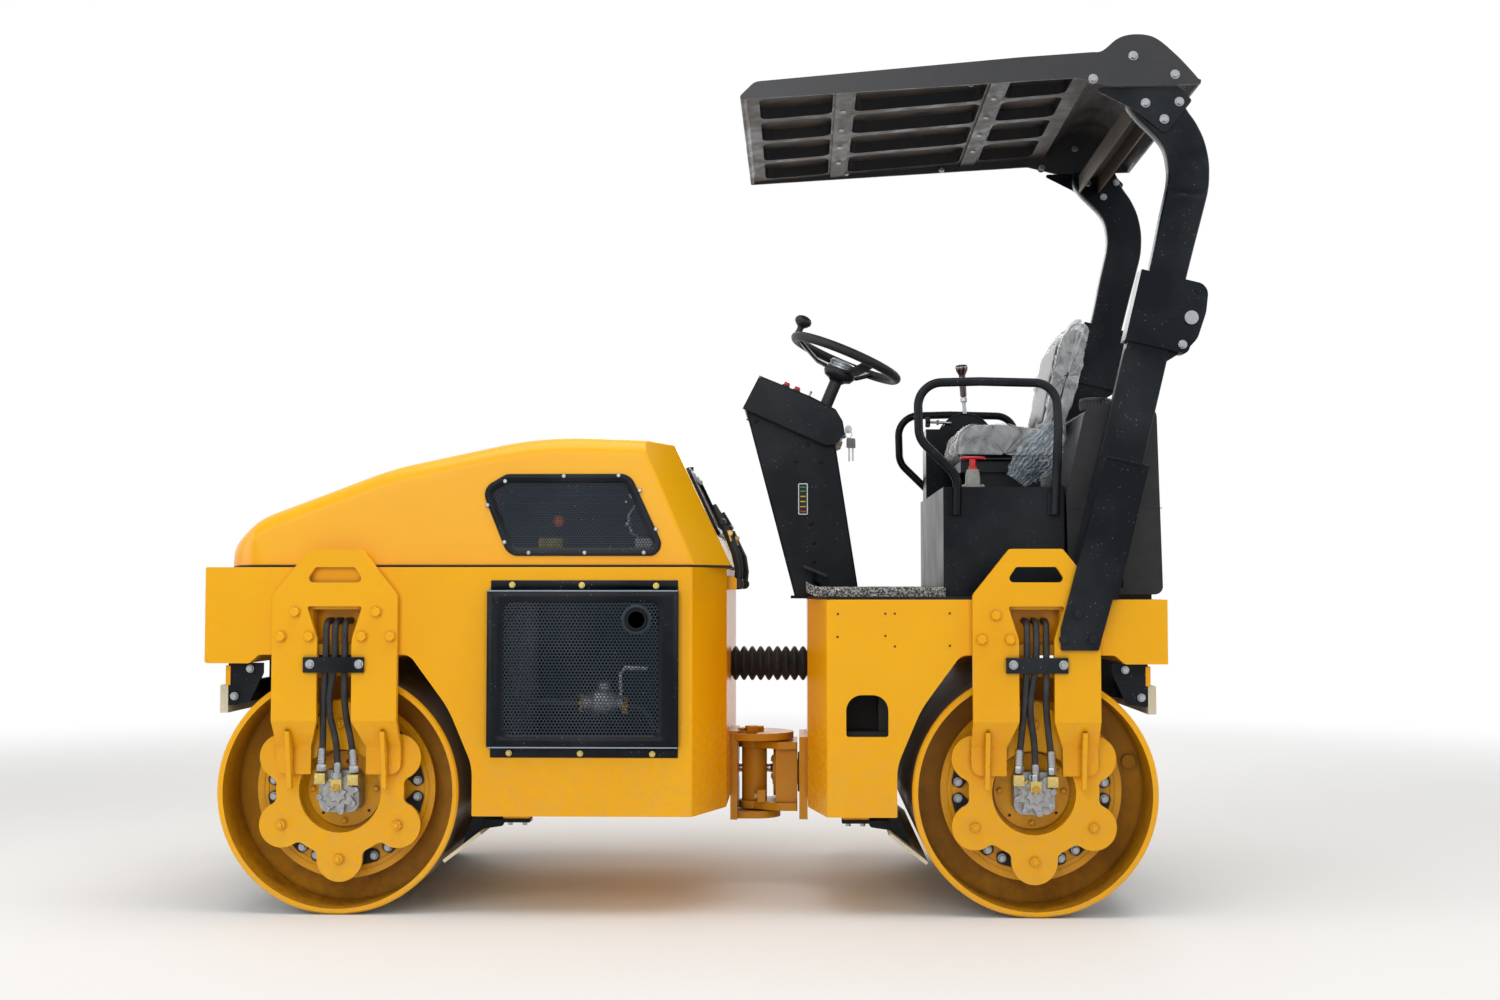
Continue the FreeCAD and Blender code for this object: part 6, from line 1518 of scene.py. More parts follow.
@dataclass(frozen=True)
class HoodLatch:
    """Rubber T-latches at the hood's rear edge, with their catches on the frame."""

    places: tuple[float, ...] = (-300.0, 300.0)

    def build(self) -> None:
        """Make both latches."""
        strap = Piece("hood_latches", Body.FRONT, Finish.RUBBER, Finish.PASSIVATED, Finish.YELLOW)
        for y in self.places:
            line = [Vector((142, y, 952)), Vector((146, y, 990)), Vector((137, y, 1040)), Vector((116, y, 1088)),
                    Vector((98, y, 1128))]
            strap.brush(Finish.RUBBER)
            rings = []
            for k, p in enumerate(line):
                wide, deep = (17, 13) if k != 2 else (20, 15)
                rings.append([p + Vector((deep * math.cos(t), wide * math.sin(t), 0))
                              for t in (math.pi * i / 6 for i in range(12))])
            strap.loft(rings)
            strap.tube([Vector((95, y - 34, 1136)), Vector((97, y - 12, 1138)), Vector((97, y + 12, 1138)),
                        Vector((95, y + 34, 1136))], [8, 10, 10, 8], 12)
            strap.tube([Vector((94, y, 1136)), Vector((80, y, 1164)), Vector((70, y, 1190))], [13, 11, 6], 12)
            strap.lathe([(14, -24), (17, -20), (17, 20), (14, 24)], Vector((143, y, 948)), Vector((0, 1, 0)), 18)
            strap.brush(Finish.PASSIVATED)
            strap.bolt(Vector((120, y - 24, 1102)), NEAR, 10, 5, 8)
            strap.tube([Vector((112, y - 22, 1110)), Vector((122, y - 24, 1080)), Vector((118, y + 24, 1080)),
                        Vector((112, y + 22, 1110))], 3.5, 8)
            strap.brush(Finish.YELLOW)
            ear = rounded([(112, 930, 2), (140, 930, 8), (140, 966, 8), (112, 974, 2)], 3)
            for side in (-28, 24):
                strap.slab(ear, side_face(0), -(y + side) - 2, -(y + side) + 2, 0.6)
        strap.make()


# Operator's stand


@dataclass(frozen=True)
class Wheel:
    """Steering wheel with padded rim, bright-faced spokes, hub cap and spinner knob."""

    hub: Corner = (462.0, 0.0, 1633.0)
    radius: float = 175.0
    tilt: float = 23.0

    def build(self) -> None:
        """Make the wheel, which stands for the plain one."""
        piece = Piece("steering_wheel_rim", Body.REAR, Finish.RUBBER, Finish.ZINC, Finish.PLASTIC, Finish.BLACK)
        turn = Matrix.Rotation(math.radians(self.tilt), 3, "Y")
        hub = Vector(self.hub)

        def spot(radius: float, degrees: float, height: float) -> Vector:
            """Point on the wheel by radius, angle and height over its hub."""
            a = math.radians(degrees)
            return hub + turn @ Vector((radius * math.cos(a), radius * math.sin(a), height))

        axis = turn @ UP
        rings = []
        for k in range(72):
            middle = spot(self.radius, 5 * k, 46)
            out = (middle - spot(0, 0, 46)).normalized()
            rings.append([middle + out * (15.5 * math.cos(t)) + axis * (15 * math.sin(t)
                          - 1.4 * max(0.0, math.cos(6 * t)) * (t > math.pi))
                          for t in (2 * math.pi * i / 16 for i in range(16))])
        piece.loft(rings + [rings[0]], caps=False)
        for degrees in (60, 180, 300):
            piece.brush(Finish.BLACK)
            self.spoke(piece, spot, degrees, 19, ((30, -8), (84, -2), (134, 22), (166, 40)), 8)
            piece.brush(Finish.ZINC)
            self.spoke(piece, spot, degrees, 12, ((40, 3), (84, 7), (132, 31), (154, 43)), 3)
        piece.brush(Finish.PLASTIC)
        piece.lathe([(24, -34), (44, -26), (52, -12), (52, -2), (44, 3)], hub, axis, 28)
        piece.lathe([(20, -160), (20, -40), (27, -34)], hub, axis, 24)
        piece.brush(Finish.ZINC)
        piece.lathe([(44, 2), (46, 4), (46, 9), (42, 12), (42, 20), (44, 22), (44, 26), (38, 30), (12, 32)], hub, axis, 36)
        piece.brush(Finish.PLASTIC)
        knob = spot(self.radius - 2, 180, 56)
        piece.lathe([(14, 0), (12, 6), (10, 16), (11, 26), (19, 32), (27, 41), (28, 50), (23, 59), (13, 64), (3, 66)],
                    knob, axis, 24)
        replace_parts(piece.make(40), "steering_wheel")

    def spoke(self, piece: Piece, spot: Callable[[float, float, float], Vector], degrees: float, wide: float,
              line: Sequence[Pair], deep: float) -> None:
        """One layer of a spoke, lofted along its cranked line."""
        rings = []
        for radius, height in line:
            turn = math.degrees(wide / max(radius, 40.0))
            rings.append([spot(radius, degrees - turn, height), spot(radius, degrees + turn, height),
                          spot(radius, degrees + turn, height + deep), spot(radius, degrees - turn, height + deep)])
        piece.loft(rings)


@dataclass(frozen=True)
class ConsoleTrim:
    """Dash lips, switches, key, indicator strip, pedal and bolts on the steering console."""

    side: float = -160.0
    head_side: float = -190.0
    dash: tuple[Pair, Pair] = ((206.0, 1594.0), (442.0, 1490.0))

    def build(self) -> None:
        """Make the trim in three groups."""
        (x0, z0), (x1, z1) = self.dash
        down = Vector((x1 - x0, 0, z1 - z0)).normalized()
        top = Facing(Vector((x0, 0, z0)), down, Vector((0, 1, 0)))
        piece = Piece("console_lips", Body.REAR, Finish.BLACK)
        edge = [(206, 1596), (154, 1496), (412, 1380), (442, 1382), (470, 1416), (463, 1454), (442, 1490), (365, 1530)]
        for side in (-1, 1):
            y = side * abs(self.head_side)
            piece.tube([Vector((x, y, z)) for x, z in edge], 2.2, 8, closed=True)
            piece.tube([Vector((x, side * 161, z)) for x, z in ((317, 912), (166, 1488))], 2.5, 8)
            piece.tube([Vector((x, side * 161, z)) for x, z in ((440, 1384), (513, 912))], 2.5, 8)
        for x, z in ((195, 1456), (355, 1383), (395, 1328), (366, 1137), (375, 1077), (375, 1019), (319, 1332)):
            piece.dome(Vector((x, self.side, z)), NEAR, 6.5, 4)
        piece.make()
        self.switches(top)
        self.key()
        self.strip()
        self.pedal()

    def switches(self, top: Facing) -> None:
        """Two red rockers in black housings, a toggle and a warning dome on the dash."""
        piece = Piece("dash_switches", Body.REAR, Finish.RED, Finish.PLASTIC, Finish.ZINC, Finish.BRASS)
        for u in (84, 120):
            for v in (-120, -90):
                piece.brush(Finish.PLASTIC)
                piece.slab(rounded([(u - 13, v - 11, 3), (u + 13, v - 11, 3), (u + 13, v + 11, 3), (u - 13, v + 11, 3)],
                                   3), top, 0, 15, 2)
                piece.brush(Finish.RED)
                piece.slab(rounded([(u - 9, v - 8, 2), (u + 9, v - 8, 2), (u + 9, v + 8, 2), (u - 9, v + 8, 2)], 3),
                           top, 14, 25, 2)
        out = top.out
        piece.brush(Finish.ZINC)
        seat = top.point(164, -120, 0)
        piece.lathe([(9, 0), (9, 4), (5, 5), (4, 10), (3, 22), (4.4, 28), (2, 30)], seat, out, 16)
        piece.brush(Finish.BRASS)
        piece.lathe([(9, 0), (9, 3), (6, 7), (3, 9)], top.point(222, -120, 0), out, 16)
        piece.brush(Finish.PLASTIC)
        piece.lathe([(30, 0), (32, 2), (32, 12), (27, 17), (26, 17), (25, 14)], top.point(150, 60, 0), out, 28)
        piece.make()

    def key(self) -> None:
        """Ignition key in its lock, with a ring of spare keys and the pale tab under the dash."""
        piece = Piece("ignition_key", Body.REAR, Finish.ZINC, Finish.SWITCH_GREY, Finish.CREAM)
        lock = Vector((468, -60, 1424))
        piece.brush(Finish.ZINC)
        piece.lathe([(14, -4), (14, 5), (11, 8), (6, 9)], lock, Vector((1, 0, 0.3)), 20)
        bow = [(11 * math.cos(t), 13 * math.sin(t)) for t in (math.pi * k / 10 for k in range(20))]
        piece.slab(bow, side_face(0, 486, 1440), 58, 61, 0.6)
        ring = [Vector((487 + 10 * math.cos(t), -60 + 2 * math.sin(t), 1424 + 12 * math.sin(t)))
                for t in (math.pi * k / 9 for k in range(18))]
        piece.tube(ring, 1.1, 6, closed=True)
        for x, y, low in ((488, -66, 1336), (500, -54, 1338)):
            piece.brush(Finish.SWITCH_GREY)
            head = rounded([(x - 9, 1380, 4), (x + 9, 1380, 4), (x + 8, 1412, 5), (x - 8, 1412, 5)], 3)
            piece.slab(head, side_face(0), -y - 2, -y + 2, 0.7)
            piece.brush(Finish.ZINC)
            piece.slab([(x - 3, low), (x + 3, low + 3), (x + 3, 1382), (x - 3, 1382)], side_face(0), -y - 1, -y + 1, 0.3)
        piece.brush(Finish.CREAM)
        tab = rounded([(436, 1372, 3), (462, 1382, 3), (470, 1404, 3), (440, 1392, 3)], 3)
        piece.slab(tab, side_face(0), -20, 60, 1)
        piece.make()

    def strip(self) -> None:
        """Indicator strip on the console's side: bright frame, dark field and six lamps."""
        piece = Piece("indicator_strip", Body.REAR, Finish.ZINC, Finish.DARK, Finish.LAMP_GREEN, Finish.LAMP_YELLOW,
                      Finish.RED)
        plane = side_face(0, 341, 1213)
        frame_line = rounded([(-15, -49, 4), (15, -49, 4), (15, 49, 4), (-15, 49, 4)], 4)
        piece.band(frame_line, inset(frame_line, 3), plane, 160, 167)
        piece.brush(Finish.DARK)
        piece.slab(inset(frame_line, 2.6), plane, 160, 164.5, 0.5)
        for v, finish in ((37, Finish.LAMP_GREEN), (24, Finish.LAMP_GREEN), (8, Finish.LAMP_YELLOW),
                          (-8, Finish.LAMP_YELLOW), (-24, Finish.LAMP_YELLOW), (-39, Finish.RED)):
            piece.brush(finish)
            piece.slab(rounded([(-9, v - 2, 1.5), (9, v - 2, 1.5), (9, v + 2, 1.5), (-9, v + 2, 1.5)], 2), plane,
                       164, 166, 0.5)
        piece.make()

    def pedal(self) -> None:
        """Ribbed rubber pedal on its arm at the console's near side."""
        piece = Piece("foot_pedal", Body.REAR, Finish.RUBBER, Finish.BLACK)
        slope = Vector((76, 0, -32)).normalized()
        face = Facing(Vector((380, -214, 990)), slope, Vector((0, 1, 0)))
        pad = rounded([(-42, -26, 6), (42, -26, 6), (42, 26, 6), (-42, 26, 6)], 4)
        piece.slab(pad, face, -8, 0, 2)
        for k in range(9):
            u = -34 + 8.5 * k
            piece.slab(rounded([(u - 2, -22, 1), (u + 2, -22, 1), (u + 2, 22, 1), (u - 2, 22, 1)], 1), face, -1, 3, 1)
        piece.brush(Finish.BLACK)
        piece.tube([face.point(0, 0, -7), face.point(8, 10, -34), Vector((388, -186, 948)), Vector((388, -158, 944))],
                   6, 10)
        piece.make()


@dataclass(frozen=True)
class Pedestal:
    """Seat pedestal: the plain one with its front set back to one flat plate."""

    front: float = 751.5
    half: float = 490.0
    span: Pair = (924.5, 1232.0)

    def build(self) -> None:
        """Make the pedestal, which stands for the plain one."""
        piece = Piece("pedestal_box", Body.REAR, Finish.BLACK)
        piece.borrow("seat_pedestal", Vector((self.front, 0, 0)), Vector((-1, 0, 0)))
        low, high = self.span
        ahead = Facing(Vector((0, 0, 0)), Vector((0, -1, 0)), UP)
        piece.slab([(-self.half, low), (self.half, low), (self.half, high), (-self.half, high)], ahead,
                   -self.front - 5, -self.front, 2.0)
        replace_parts(piece.make(30), "seat_pedestal")


@dataclass(frozen=True)
class LoopMat:
    """Coil mat on the platform: a crowded, uneven pile with its front edge curled up."""

    outline: tuple[Corner, ...] = ((352.0, -390.0, 20.0), (372.0, -582.0, 16.0), (748.0, -582.0, 6.0),
                                   (748.0, 582.0, 6.0), (372.0, 582.0, 16.0), (352.0, 390.0, 20.0))
    cut: tuple[float, float, float] = (520.0, -200.0, 200.0)
    base: float = 911.5
    pile: float = 26.0
    step: float = 5.0

    def build(self) -> None:
        """Make the pile as one closed sheet whose top is thrown up in loops."""
        piece = Piece("loop_mat", Body.REAR, Finish.MAT)
        edge = rounded(self.outline, 4)
        cells = {}
        for i in range(int(405 / self.step)):
            for j in range(int(1170 / self.step)):
                u, v = 350 + i * self.step, -585 + j * self.step
                x, y = u + self.step / 2, v + self.step / 2
                if inside(edge, x, y) and not (x < self.cut[0] and self.cut[1] < y < self.cut[2]):
                    cells[i, j] = (u, v)
        low: dict[tuple[int, int], bmesh.types.BMVert] = {}
        high: dict[tuple[int, int], bmesh.types.BMVert] = {}
        for i, j in cells:
            for key in ((i, j), (i + 1, j), (i + 1, j + 1), (i, j + 1)):
                if key in low:
                    continue
                x, y = 350 + key[0] * self.step, -585 + key[1] * self.step
                rough = noise.noise(Vector((x, y, 0)) / 5.5) * 3.0 + noise.noise(Vector((x, y, 9)) / 60) * 2.0
                curl = 12.0 * max(0.0, 1 - (x - 356) / 34) ** 2
                shake = Vector((noise.noise(Vector((y, x, 3)) / 4), noise.noise(Vector((y, x, 7)) / 4), 0)) * 1.8
                low[key] = piece.mesh.verts.new((x, y, self.base + curl * 0.7))
                high[key] = piece.mesh.verts.new(Vector((x, y, self.base + self.pile + rough + curl)) + shake)
        for i, j in cells:
            keys = ((i, j), (i + 1, j), (i + 1, j + 1), (i, j + 1))
            piece.face([high[k] for k in keys])
            piece.face([low[k] for k in reversed(keys)])
            for (di, dj), (a, b) in (((0, -1), (0, 1)), ((1, 0), (1, 2)), ((0, 1), (2, 3)), ((-1, 0), (3, 0))):
                if (i + di, j + dj) not in cells:
                    piece.face((low[keys[a]], low[keys[b]], high[keys[b]], high[keys[a]]))
        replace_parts(piece.make(70), "floor_mat")


@dataclass(frozen=True)
class Controls:
    """Travel lever with its quadrant, and the battery isolator."""

    lever_foot: Corner = (900.0, 416.0, 1533.0)
    lever_top: Corner = (889.0, 416.0, 1704.0)
    isolator: Corner = (842.0, -452.0, 1232.0)

    def build(self) -> None:
        """Make the three controls."""
        self.lever()
        self.isolator_switch()
        self.quadrant()

    def lever(self) -> None:
        """Steel rod with a lock nut and a turned wooden grip, flared at its top."""
        piece = Piece("travel_lever_grip", Body.REAR, Finish.WOOD, Finish.ZINC, Finish.PLASTIC)
        foot, top = Vector(self.lever_foot), Vector(self.lever_top)
        axis = (top - foot).normalized()
        piece.brush(Finish.ZINC)
        piece.lathe([(7, 0), (7, 62)], foot, axis, 14)
        piece.lathe([(10, 42), (11.5, 44), (11.5, 56), (10, 58)], foot, axis, 6)
        piece.brush(Finish.WOOD)
        piece.lathe([(9, 60), (11.5, 63), (12, 90), (13.5, 118), (11.5, 128), (13, 137), (20, 150), (22, 158),
                     (20.5, 163)], foot, axis, 28)
        piece.brush(Finish.PLASTIC)
        piece.lathe([(20.5, 162.5), (21, 165), (18, 170), (8, 172)], foot, axis, 28)
        piece.brush(Finish.ZINC)
        piece.lathe([(21.6, 159.5), (22.4, 160.5), (22.4, 162.5), (21, 163.5)], foot, axis, 28)
        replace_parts(piece.make(), "travel_lever")

    def quadrant(self) -> None:
        """Clamping rod with its star nut, and the rim of the lever's quadrant."""
        piece = Piece("lever_quadrant_rim", Body.REAR, Finish.BLACK, Finish.ZINC, Finish.PLASTIC)
        arc = [Vector((900 + 92 * math.cos(t), 416, 1446 + 86 * math.sin(t)))
               for t in (math.radians(20 + 7 * k) for k in range(21))]
        for y in (-20, 20):
            piece.tube([p + Vector((0, y, 0)) for p in arc], 2.4, 8)
        piece.brush(Finish.ZINC)
        piece.tube([Vector((764, 384, 1504)), Vector((850, 384, 1500))], 5, 10)
        piece.lathe([(9, 0), (9, 8)], Vector((800, 384, 1502)), Vector((1, 0, 0)), 6)
        piece.brush(Finish.PLASTIC)
        star = [((17 + 4 * math.cos(6 * t)) * math.cos(t), (17 + 4 * math.cos(6 * t)) * math.sin(t))
                for t in (math.pi * k / 24 for k in range(48))]
        plane = Facing(Vector((770, 384, 1504)), Vector((0, -1, 0)), Vector((0, 0, 1)))
        piece.slab(star, plane, -8, 8, 3)
        piece.make()

    def isolator_switch(self) -> None:
        """Battery isolator: red T knob on a tapered grey base with a bolted flange."""
        piece = Piece("battery_isolator", Body.REAR, Finish.SWITCH_GREY, Finish.RED, Finish.ZINC)
        foot = Vector(self.isolator)
        rings = []
        for half, height in ((35, 0), (35, 5), (33, 6), (21.5, 8), (20.5, 30), (17.5, 52), (15.5, 54)):
            corners = rounded([(-half, -half * 0.8, half * 0.28), (half, -half * 0.8, half * 0.28),
                               (half, half * 0.8, half * 0.28), (-half, half * 0.8, half * 0.28)], 4)
            rings.append([foot + Vector((u, v, height)) for u, v in corners])
        piece.loft(rings)
        piece.brush(Finish.RED)
        piece.lathe([(13, 53), (13, 60), (9.5, 62), (9.5, 84)], foot, UP, 20)
        wing = [foot + Vector((x, 0, 84 + h)) for x, h in ((-37, 2), (-30, 4), (-14, 4.5), (14, 4.5), (30, 4), (37, 2))]
        rings = []
        for p, deep in zip(wing, (4, 5.5, 9, 9, 5.5, 4)):
            rings.append([p + Vector((0, deep * math.cos(t), 4.2 * math.sin(t)))
                          for t in (math.pi * k / 6 for k in range(12))])
        piece.loft(rings)
        piece.brush(Finish.ZINC)
        for x in (-27, 27):
            for y in (-20, 20):
                piece.dome(foot + Vector((x, y, 5)), UP, 4.5, 3)
        piece.make()


@dataclass(frozen=True)
class Seat:
    """Vinyl seat: two pads swollen by cloth simulation, seams, and the film still over it."""

    voxel: float = 0.008
    pressure: float = 4.0
    frames: int = 18
    cap: float = 0.012
    hem: float = 1344.0

    cushion: tuple[Corner, ...] = ((818.0, 1358.0, 24.0), (832.0, 1432.0, 40.0), (970.0, 1430.0, 30.0),
                                   (1100.0, 1414.0, 20.0), (1100.0, 1336.0, 12.0), (832.0, 1336.0, 20.0))
    back: tuple[Corner, ...] = ((1090.0, 1428.0, 14.0), (1142.0, 1690.0, 40.0), (1186.0, 1758.0, 24.0),
                                (1222.0, 1742.0, 24.0), (1182.0, 1560.0, 60.0), (1128.0, 1404.0, 18.0))

    def build(self) -> None:
        """Make the pads, their seams and the film."""
        pads = []
        for name, outline, half in (("seat_cushion_pad", self.cushion, 222.0), ("seat_back_pad", self.back, 208.0)):
            pad = self.pad(name, outline, half)
            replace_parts(pad, "seat_cushions")
            pads.append(pad)
        self.seams()
        self.film(pads)
        self.bag(pads[0])

    def pad(self, name: str, outline: Sequence[Corner], half: float) -> bpy.types.Object:
        """A pad: its side view carried across the seat, narrowed at its ends and then blown up as cloth."""
        piece = Piece(name, Body.REAR, Finish.VINYL)
        points = rounded(outline, 4)
        middle = (sum(p[0] for p in points) / len(points), sum(p[1] for p in points) / len(points))
        rings = []
        for y, scale in ((-half, 0.80), (-half + 10, 0.93), (-half + 34, 1.0), (0, 1.0), (half - 34, 1.0),
                         (half - 10, 0.93), (half, 0.80)):
            rings.append([Vector((middle[0] + (u - middle[0]) * scale, y, middle[1] + (v - middle[1]) * scale))
                          for u, v in points])
        piece.loft(rings)
        pad = piece.make(60)
        self.swell(pad)
        for face in pad.data.polygons:
            face.use_smooth = True
        return pad

    def swell(self, pad: bpy.types.Object) -> None:
        """Remesh the pad, blow it up as cloth under pressure, and keep no point further than the cap."""
        reshape(pad, "REMESH", mode="VOXEL", voxel_size=self.voxel)
        start = [v.co.copy() for v in pad.data.vertices]
        cloth = pad.modifiers.new("swell", "CLOTH")
        cloth.settings.quality = 4
        cloth.settings.mass = 0.3
        cloth.settings.use_pressure = True
        cloth.settings.uniform_pressure_force = self.pressure
        cloth.settings.effector_weights.gravity = 0.0
        cloth.settings.tension_stiffness = cloth.settings.compression_stiffness = 20.0
        cloth.point_cache.frame_end = self.frames
        for step in range(1, self.frames + 1):
            bpy.context.scene.frame_set(step)
        keep_shape(pad)
        bpy.context.scene.frame_set(1)
        for vert, origin in zip(pad.data.vertices, start):
            move = vert.co - origin
            if move.length > self.cap:
                vert.co = origin + move.normalized() * self.cap
        reshape(pad, "SMOOTH", iterations=4, factor=0.5)

    def seams(self) -> None:
        """Piping round both side panels of the cushion and the back."""
        piece = Piece("seat_piping", Body.REAR, Finish.VINYL)
        for outline, half in ((self.cushion, 212.0), (self.back, 198.0)):
            points = rounded(outline, 6)
            for side in (-1, 1):
                piece.tube([Vector((u, side * half, v)) for u, v in inset(points, -2.0)], 3.2, 8, closed=True)
        piece.make()

    def film(self, pads: Sequence[bpy.types.Object]) -> None:
        """Loose polyethylene sheets over the pads, pulled into folds that run from their corners."""
        for name, outline, half, loose, pad in (("seat_film_cushion", self.cushion, 247.0, 9.0, pads[0]),
                                                ("seat_film_back", self.back, 232.0, 12.0, pads[1])):
            piece = Piece(name, Body.REAR, Finish.FILM)
            around = inset(rounded(outline, 8), -6.0)
            dense = []
            for (u0, v0), (u1, v1) in zip(around, around[1:]):
                count = max(1, int(math.hypot(u1 - u0, v1 - v0) / 7))
                dense += [(u0 + (u1 - u0) * k / count, v0 + (v1 - v0) * k / count) for k in range(count)]
            if pad is pads[0]:
                dense = [spot for spot in dense if spot[1] > self.hem]
            middle = Vector((sum(p[0] for p in dense), sum(p[1] for p in dense))) / len(dense)
            if pad is pads[0]:
                middle.y = self.hem
            levels = [(-half - 1, 0.04), (-half - 2, 0.3), (-half - 2, 0.55), (-half - 3, 0.8), (-half, 0.95)]
            levels += [(-half + 12 + (2 * half - 24) * k / 56, 1.0) for k in range(57)]
            levels += [(half, 0.95), (half + 3, 0.8), (half + 2, 0.55), (half + 2, 0.3), (half + 1, 0.04)]
            rows = []
            for y, scale in levels:
                row = []
                for u, v in dense:
                    away = Vector((u, v)) - middle
                    spot = middle + away * scale + away.normalized() * (self.fold(u, y, v) * loose)
                    row.append(Vector((spot.x, y + self.fold(v, u, y) * 5.0 * (abs(y) > half - 20), spot.y)))
                rows.append(row)
            self.laid(piece, rows, pad)

    def laid(self, piece: Piece, rows: Sequence[Sequence[Vector]], pad: bpy.types.Object) -> None:
        """Skin a sheet of film."""
        piece.loft(rows, closed=False, caps=False)
        sheet = piece.make(50)

    def fold(self, a: float, b: float, c: float) -> float:
        """Height of the film's folds at a point, from -0.3 to 1: sharp ridges in two slanting directions."""
        p = Vector((a + 0.5 * b, b * 0.55 - 0.3 * a, c)) / 75.0
        ridge = 1 - abs(noise.noise(p)) * 3.2
        fine = 1 - abs(noise.noise(p * 2.7 + Vector((5, 2, 8)))) * 3.0
        return max(-0.3, 0.72 * ridge ** 3 if ridge > 0 else 0.0) + max(-0.1, 0.28 * fine)

    def bag(self, pad: bpy.types.Object) -> None:
        """Bunched end of the film, pleated and tucked down beside the seat."""
        piece = Piece("seat_film_bunch", Body.REAR, Finish.BAG)
        centres = [Vector((1122, -262, 1440)), Vector((1104, -280, 1398)), Vector((1070, -290, 1352)),
                   Vector((1040, -286, 1318)), Vector((1012, -280, 1290)), Vector((992, -270, 1262))]
        widths = (24, 44, 60, 64, 52, 34)
        rows = []
        for k in range(90):
            t = k / 89 * (len(centres) - 1)
            i = min(int(t), len(centres) - 2)
            middle = centres[i].lerp(centres[i + 1], t - i)
            wide = widths[i] + (widths[i + 1] - widths[i]) * (t - i)
            across = (centres[i + 1] - centres[i]).cross(NEAR).normalized()
            row = []
            for s in range(150):
                a = s / 149 * 2 - 1
                crease = noise.noise(Vector((a * 4.0, t * 1.5, 3)))
                pleat = math.asin(math.sin(a * 30 + 5 * crease + t * 0.7)) / 1.6
                dent = noise.noise(Vector((a * 7.0, t * 4.5, 8))) * 0.9
                depth = 0.36 * wide * math.sqrt(max(0.0, 1.02 - a * a)) + (pleat * 0.09 + dent * 0.11) * wide
                sway = wide * (a + 0.10 * pleat * crease + 0.12 * noise.noise(Vector((t * 3.1, a * 2, 1))))
                row.append(middle + across * sway + NEAR * depth)
            rows.append(row)
        self.laid(piece, rows, pad)


# Posts, canopy, tank and hitch


@dataclass(frozen=True)
class PostTrim:
    """Bolts and weld seams of the roll-over posts and the canopy's arches."""

    lean: float = math.radians(13.6)
    foot: Pair = (1130.0, 760.0)
    plate_face: float = -664.0
    tube_face: float = -545.0

    def on_post(self, along: float, across: float, y: float) -> Vector:
        """Point on a post by its distance along the leaning line and across it."""
        return Vector((self.foot[0] + along * math.sin(self.lean) + across * math.cos(self.lean), y,
                       self.foot[1] + along * math.cos(self.lean) - across * math.sin(self.lean)))

    def build(self) -> None:
        """Make the black bolts, the welds and the bright canopy bolts."""
        piece = Piece("post_bolts", Body.REAR, Finish.BLACK)
        for x, z in ((1114, 861), (1075, 791), (1154, 791)):
            piece.bolt(Vector((x, self.plate_face, z)), NEAR, 21, 11, 14)
        seam = [(548, -64), (548, 64)]
        for shift in (-1.5, 1.5):
            line = []
            for k in range(41):
                along, across = seam[0][0] + shift, seam[0][1] + (seam[1][1] - seam[0][1]) * k / 40
                bead = 1.2 * math.sin(k * 2.4)
                line.append(self.on_post(along + bead, across, self.plate_face - 0.5))
            piece.tube(line, [2.6 + 0.6 * math.sin(k * 1.9) for k in range(41)], 8)
        for side in (-61, 61):
            piece.tube([self.on_post(560, side, self.tube_face + 1), self.on_post(880, side, self.tube_face + 1)],
                       2.2, 8)
        piece.mirror().make()
        bright = Piece("canopy_bolts", Body.CANOPY, Finish.ZINC)
        for x, z in ((1306, 2488), (1427, 2432), (1189, 2421)):
            bright.bolt(Vector((x, -560, z)), NEAR, 19, 9, 14)
            bright.bolt(Vector((x, -545, z)), -NEAR, 17, 8, 12)
        for x, z in ((1342, 2351), (1440, 2354), (1396, 2303)):
            bright.bolt(Vector((x, -551, z)), NEAR, 19, 9, 14)
            bright.bolt(Vector((x, -489, z)), -NEAR, 17, 8, 12)
        bright.bolt(Vector((1441, -555, 1641)), NEAR, 19, 9, 13)
        for x, z in ((497, 2406), (835, 2416)):
            bright.dome(Vector((x, -546, z)), -NEAR, 11, 6)
        bright.mirror()
        for x0 in (465, 925):
            for y in (-330, -110, 110, 330):
                z = 2421 + 82 * (x0 - 200) / 1022 - 50.5
                bright.dome(Vector((x0, y, z)), -UP, 9, 5)
        bright.make()


def flow(points: Sequence[Pair], count: int) -> list[Pair]:
    """Points at even steps along a smooth line through given ones.

    Args:
        points: the points the line runs through.
        count: how many points come back.

    Returns:
        The points.
    """
    known = [Vector(p) for p in points]
    known = [known[0] * 2 - known[1]] + known + [known[-1] * 2 - known[-2]]
    dense = []
    for a, b, c, d in zip(known, known[1:], known[2:], known[3:]):
        for t in (i / 12 for i in range(12)):
            dense.append((b * 2 + (c - a) * t + (a * 2 - b * 5 + c * 4 - d) * t * t
                          + (b * 3 - a - c * 3 + d) * t ** 3) / 2)
    dense.append(known[-2])
    runs = [0.0]
    for a, b in zip(dense, dense[1:]):
        runs.append(runs[-1] + (b - a).length)
    spots, k = [], 0
    for i in range(count):
        want = runs[-1] * i / (count - 1)
        while k < len(runs) - 2 and runs[k + 1] < want:
            k += 1
        spots.append(tuple(dense[k].lerp(dense[k + 1], (want - runs[k]) / (runs[k + 1] - runs[k]))))
    return spots


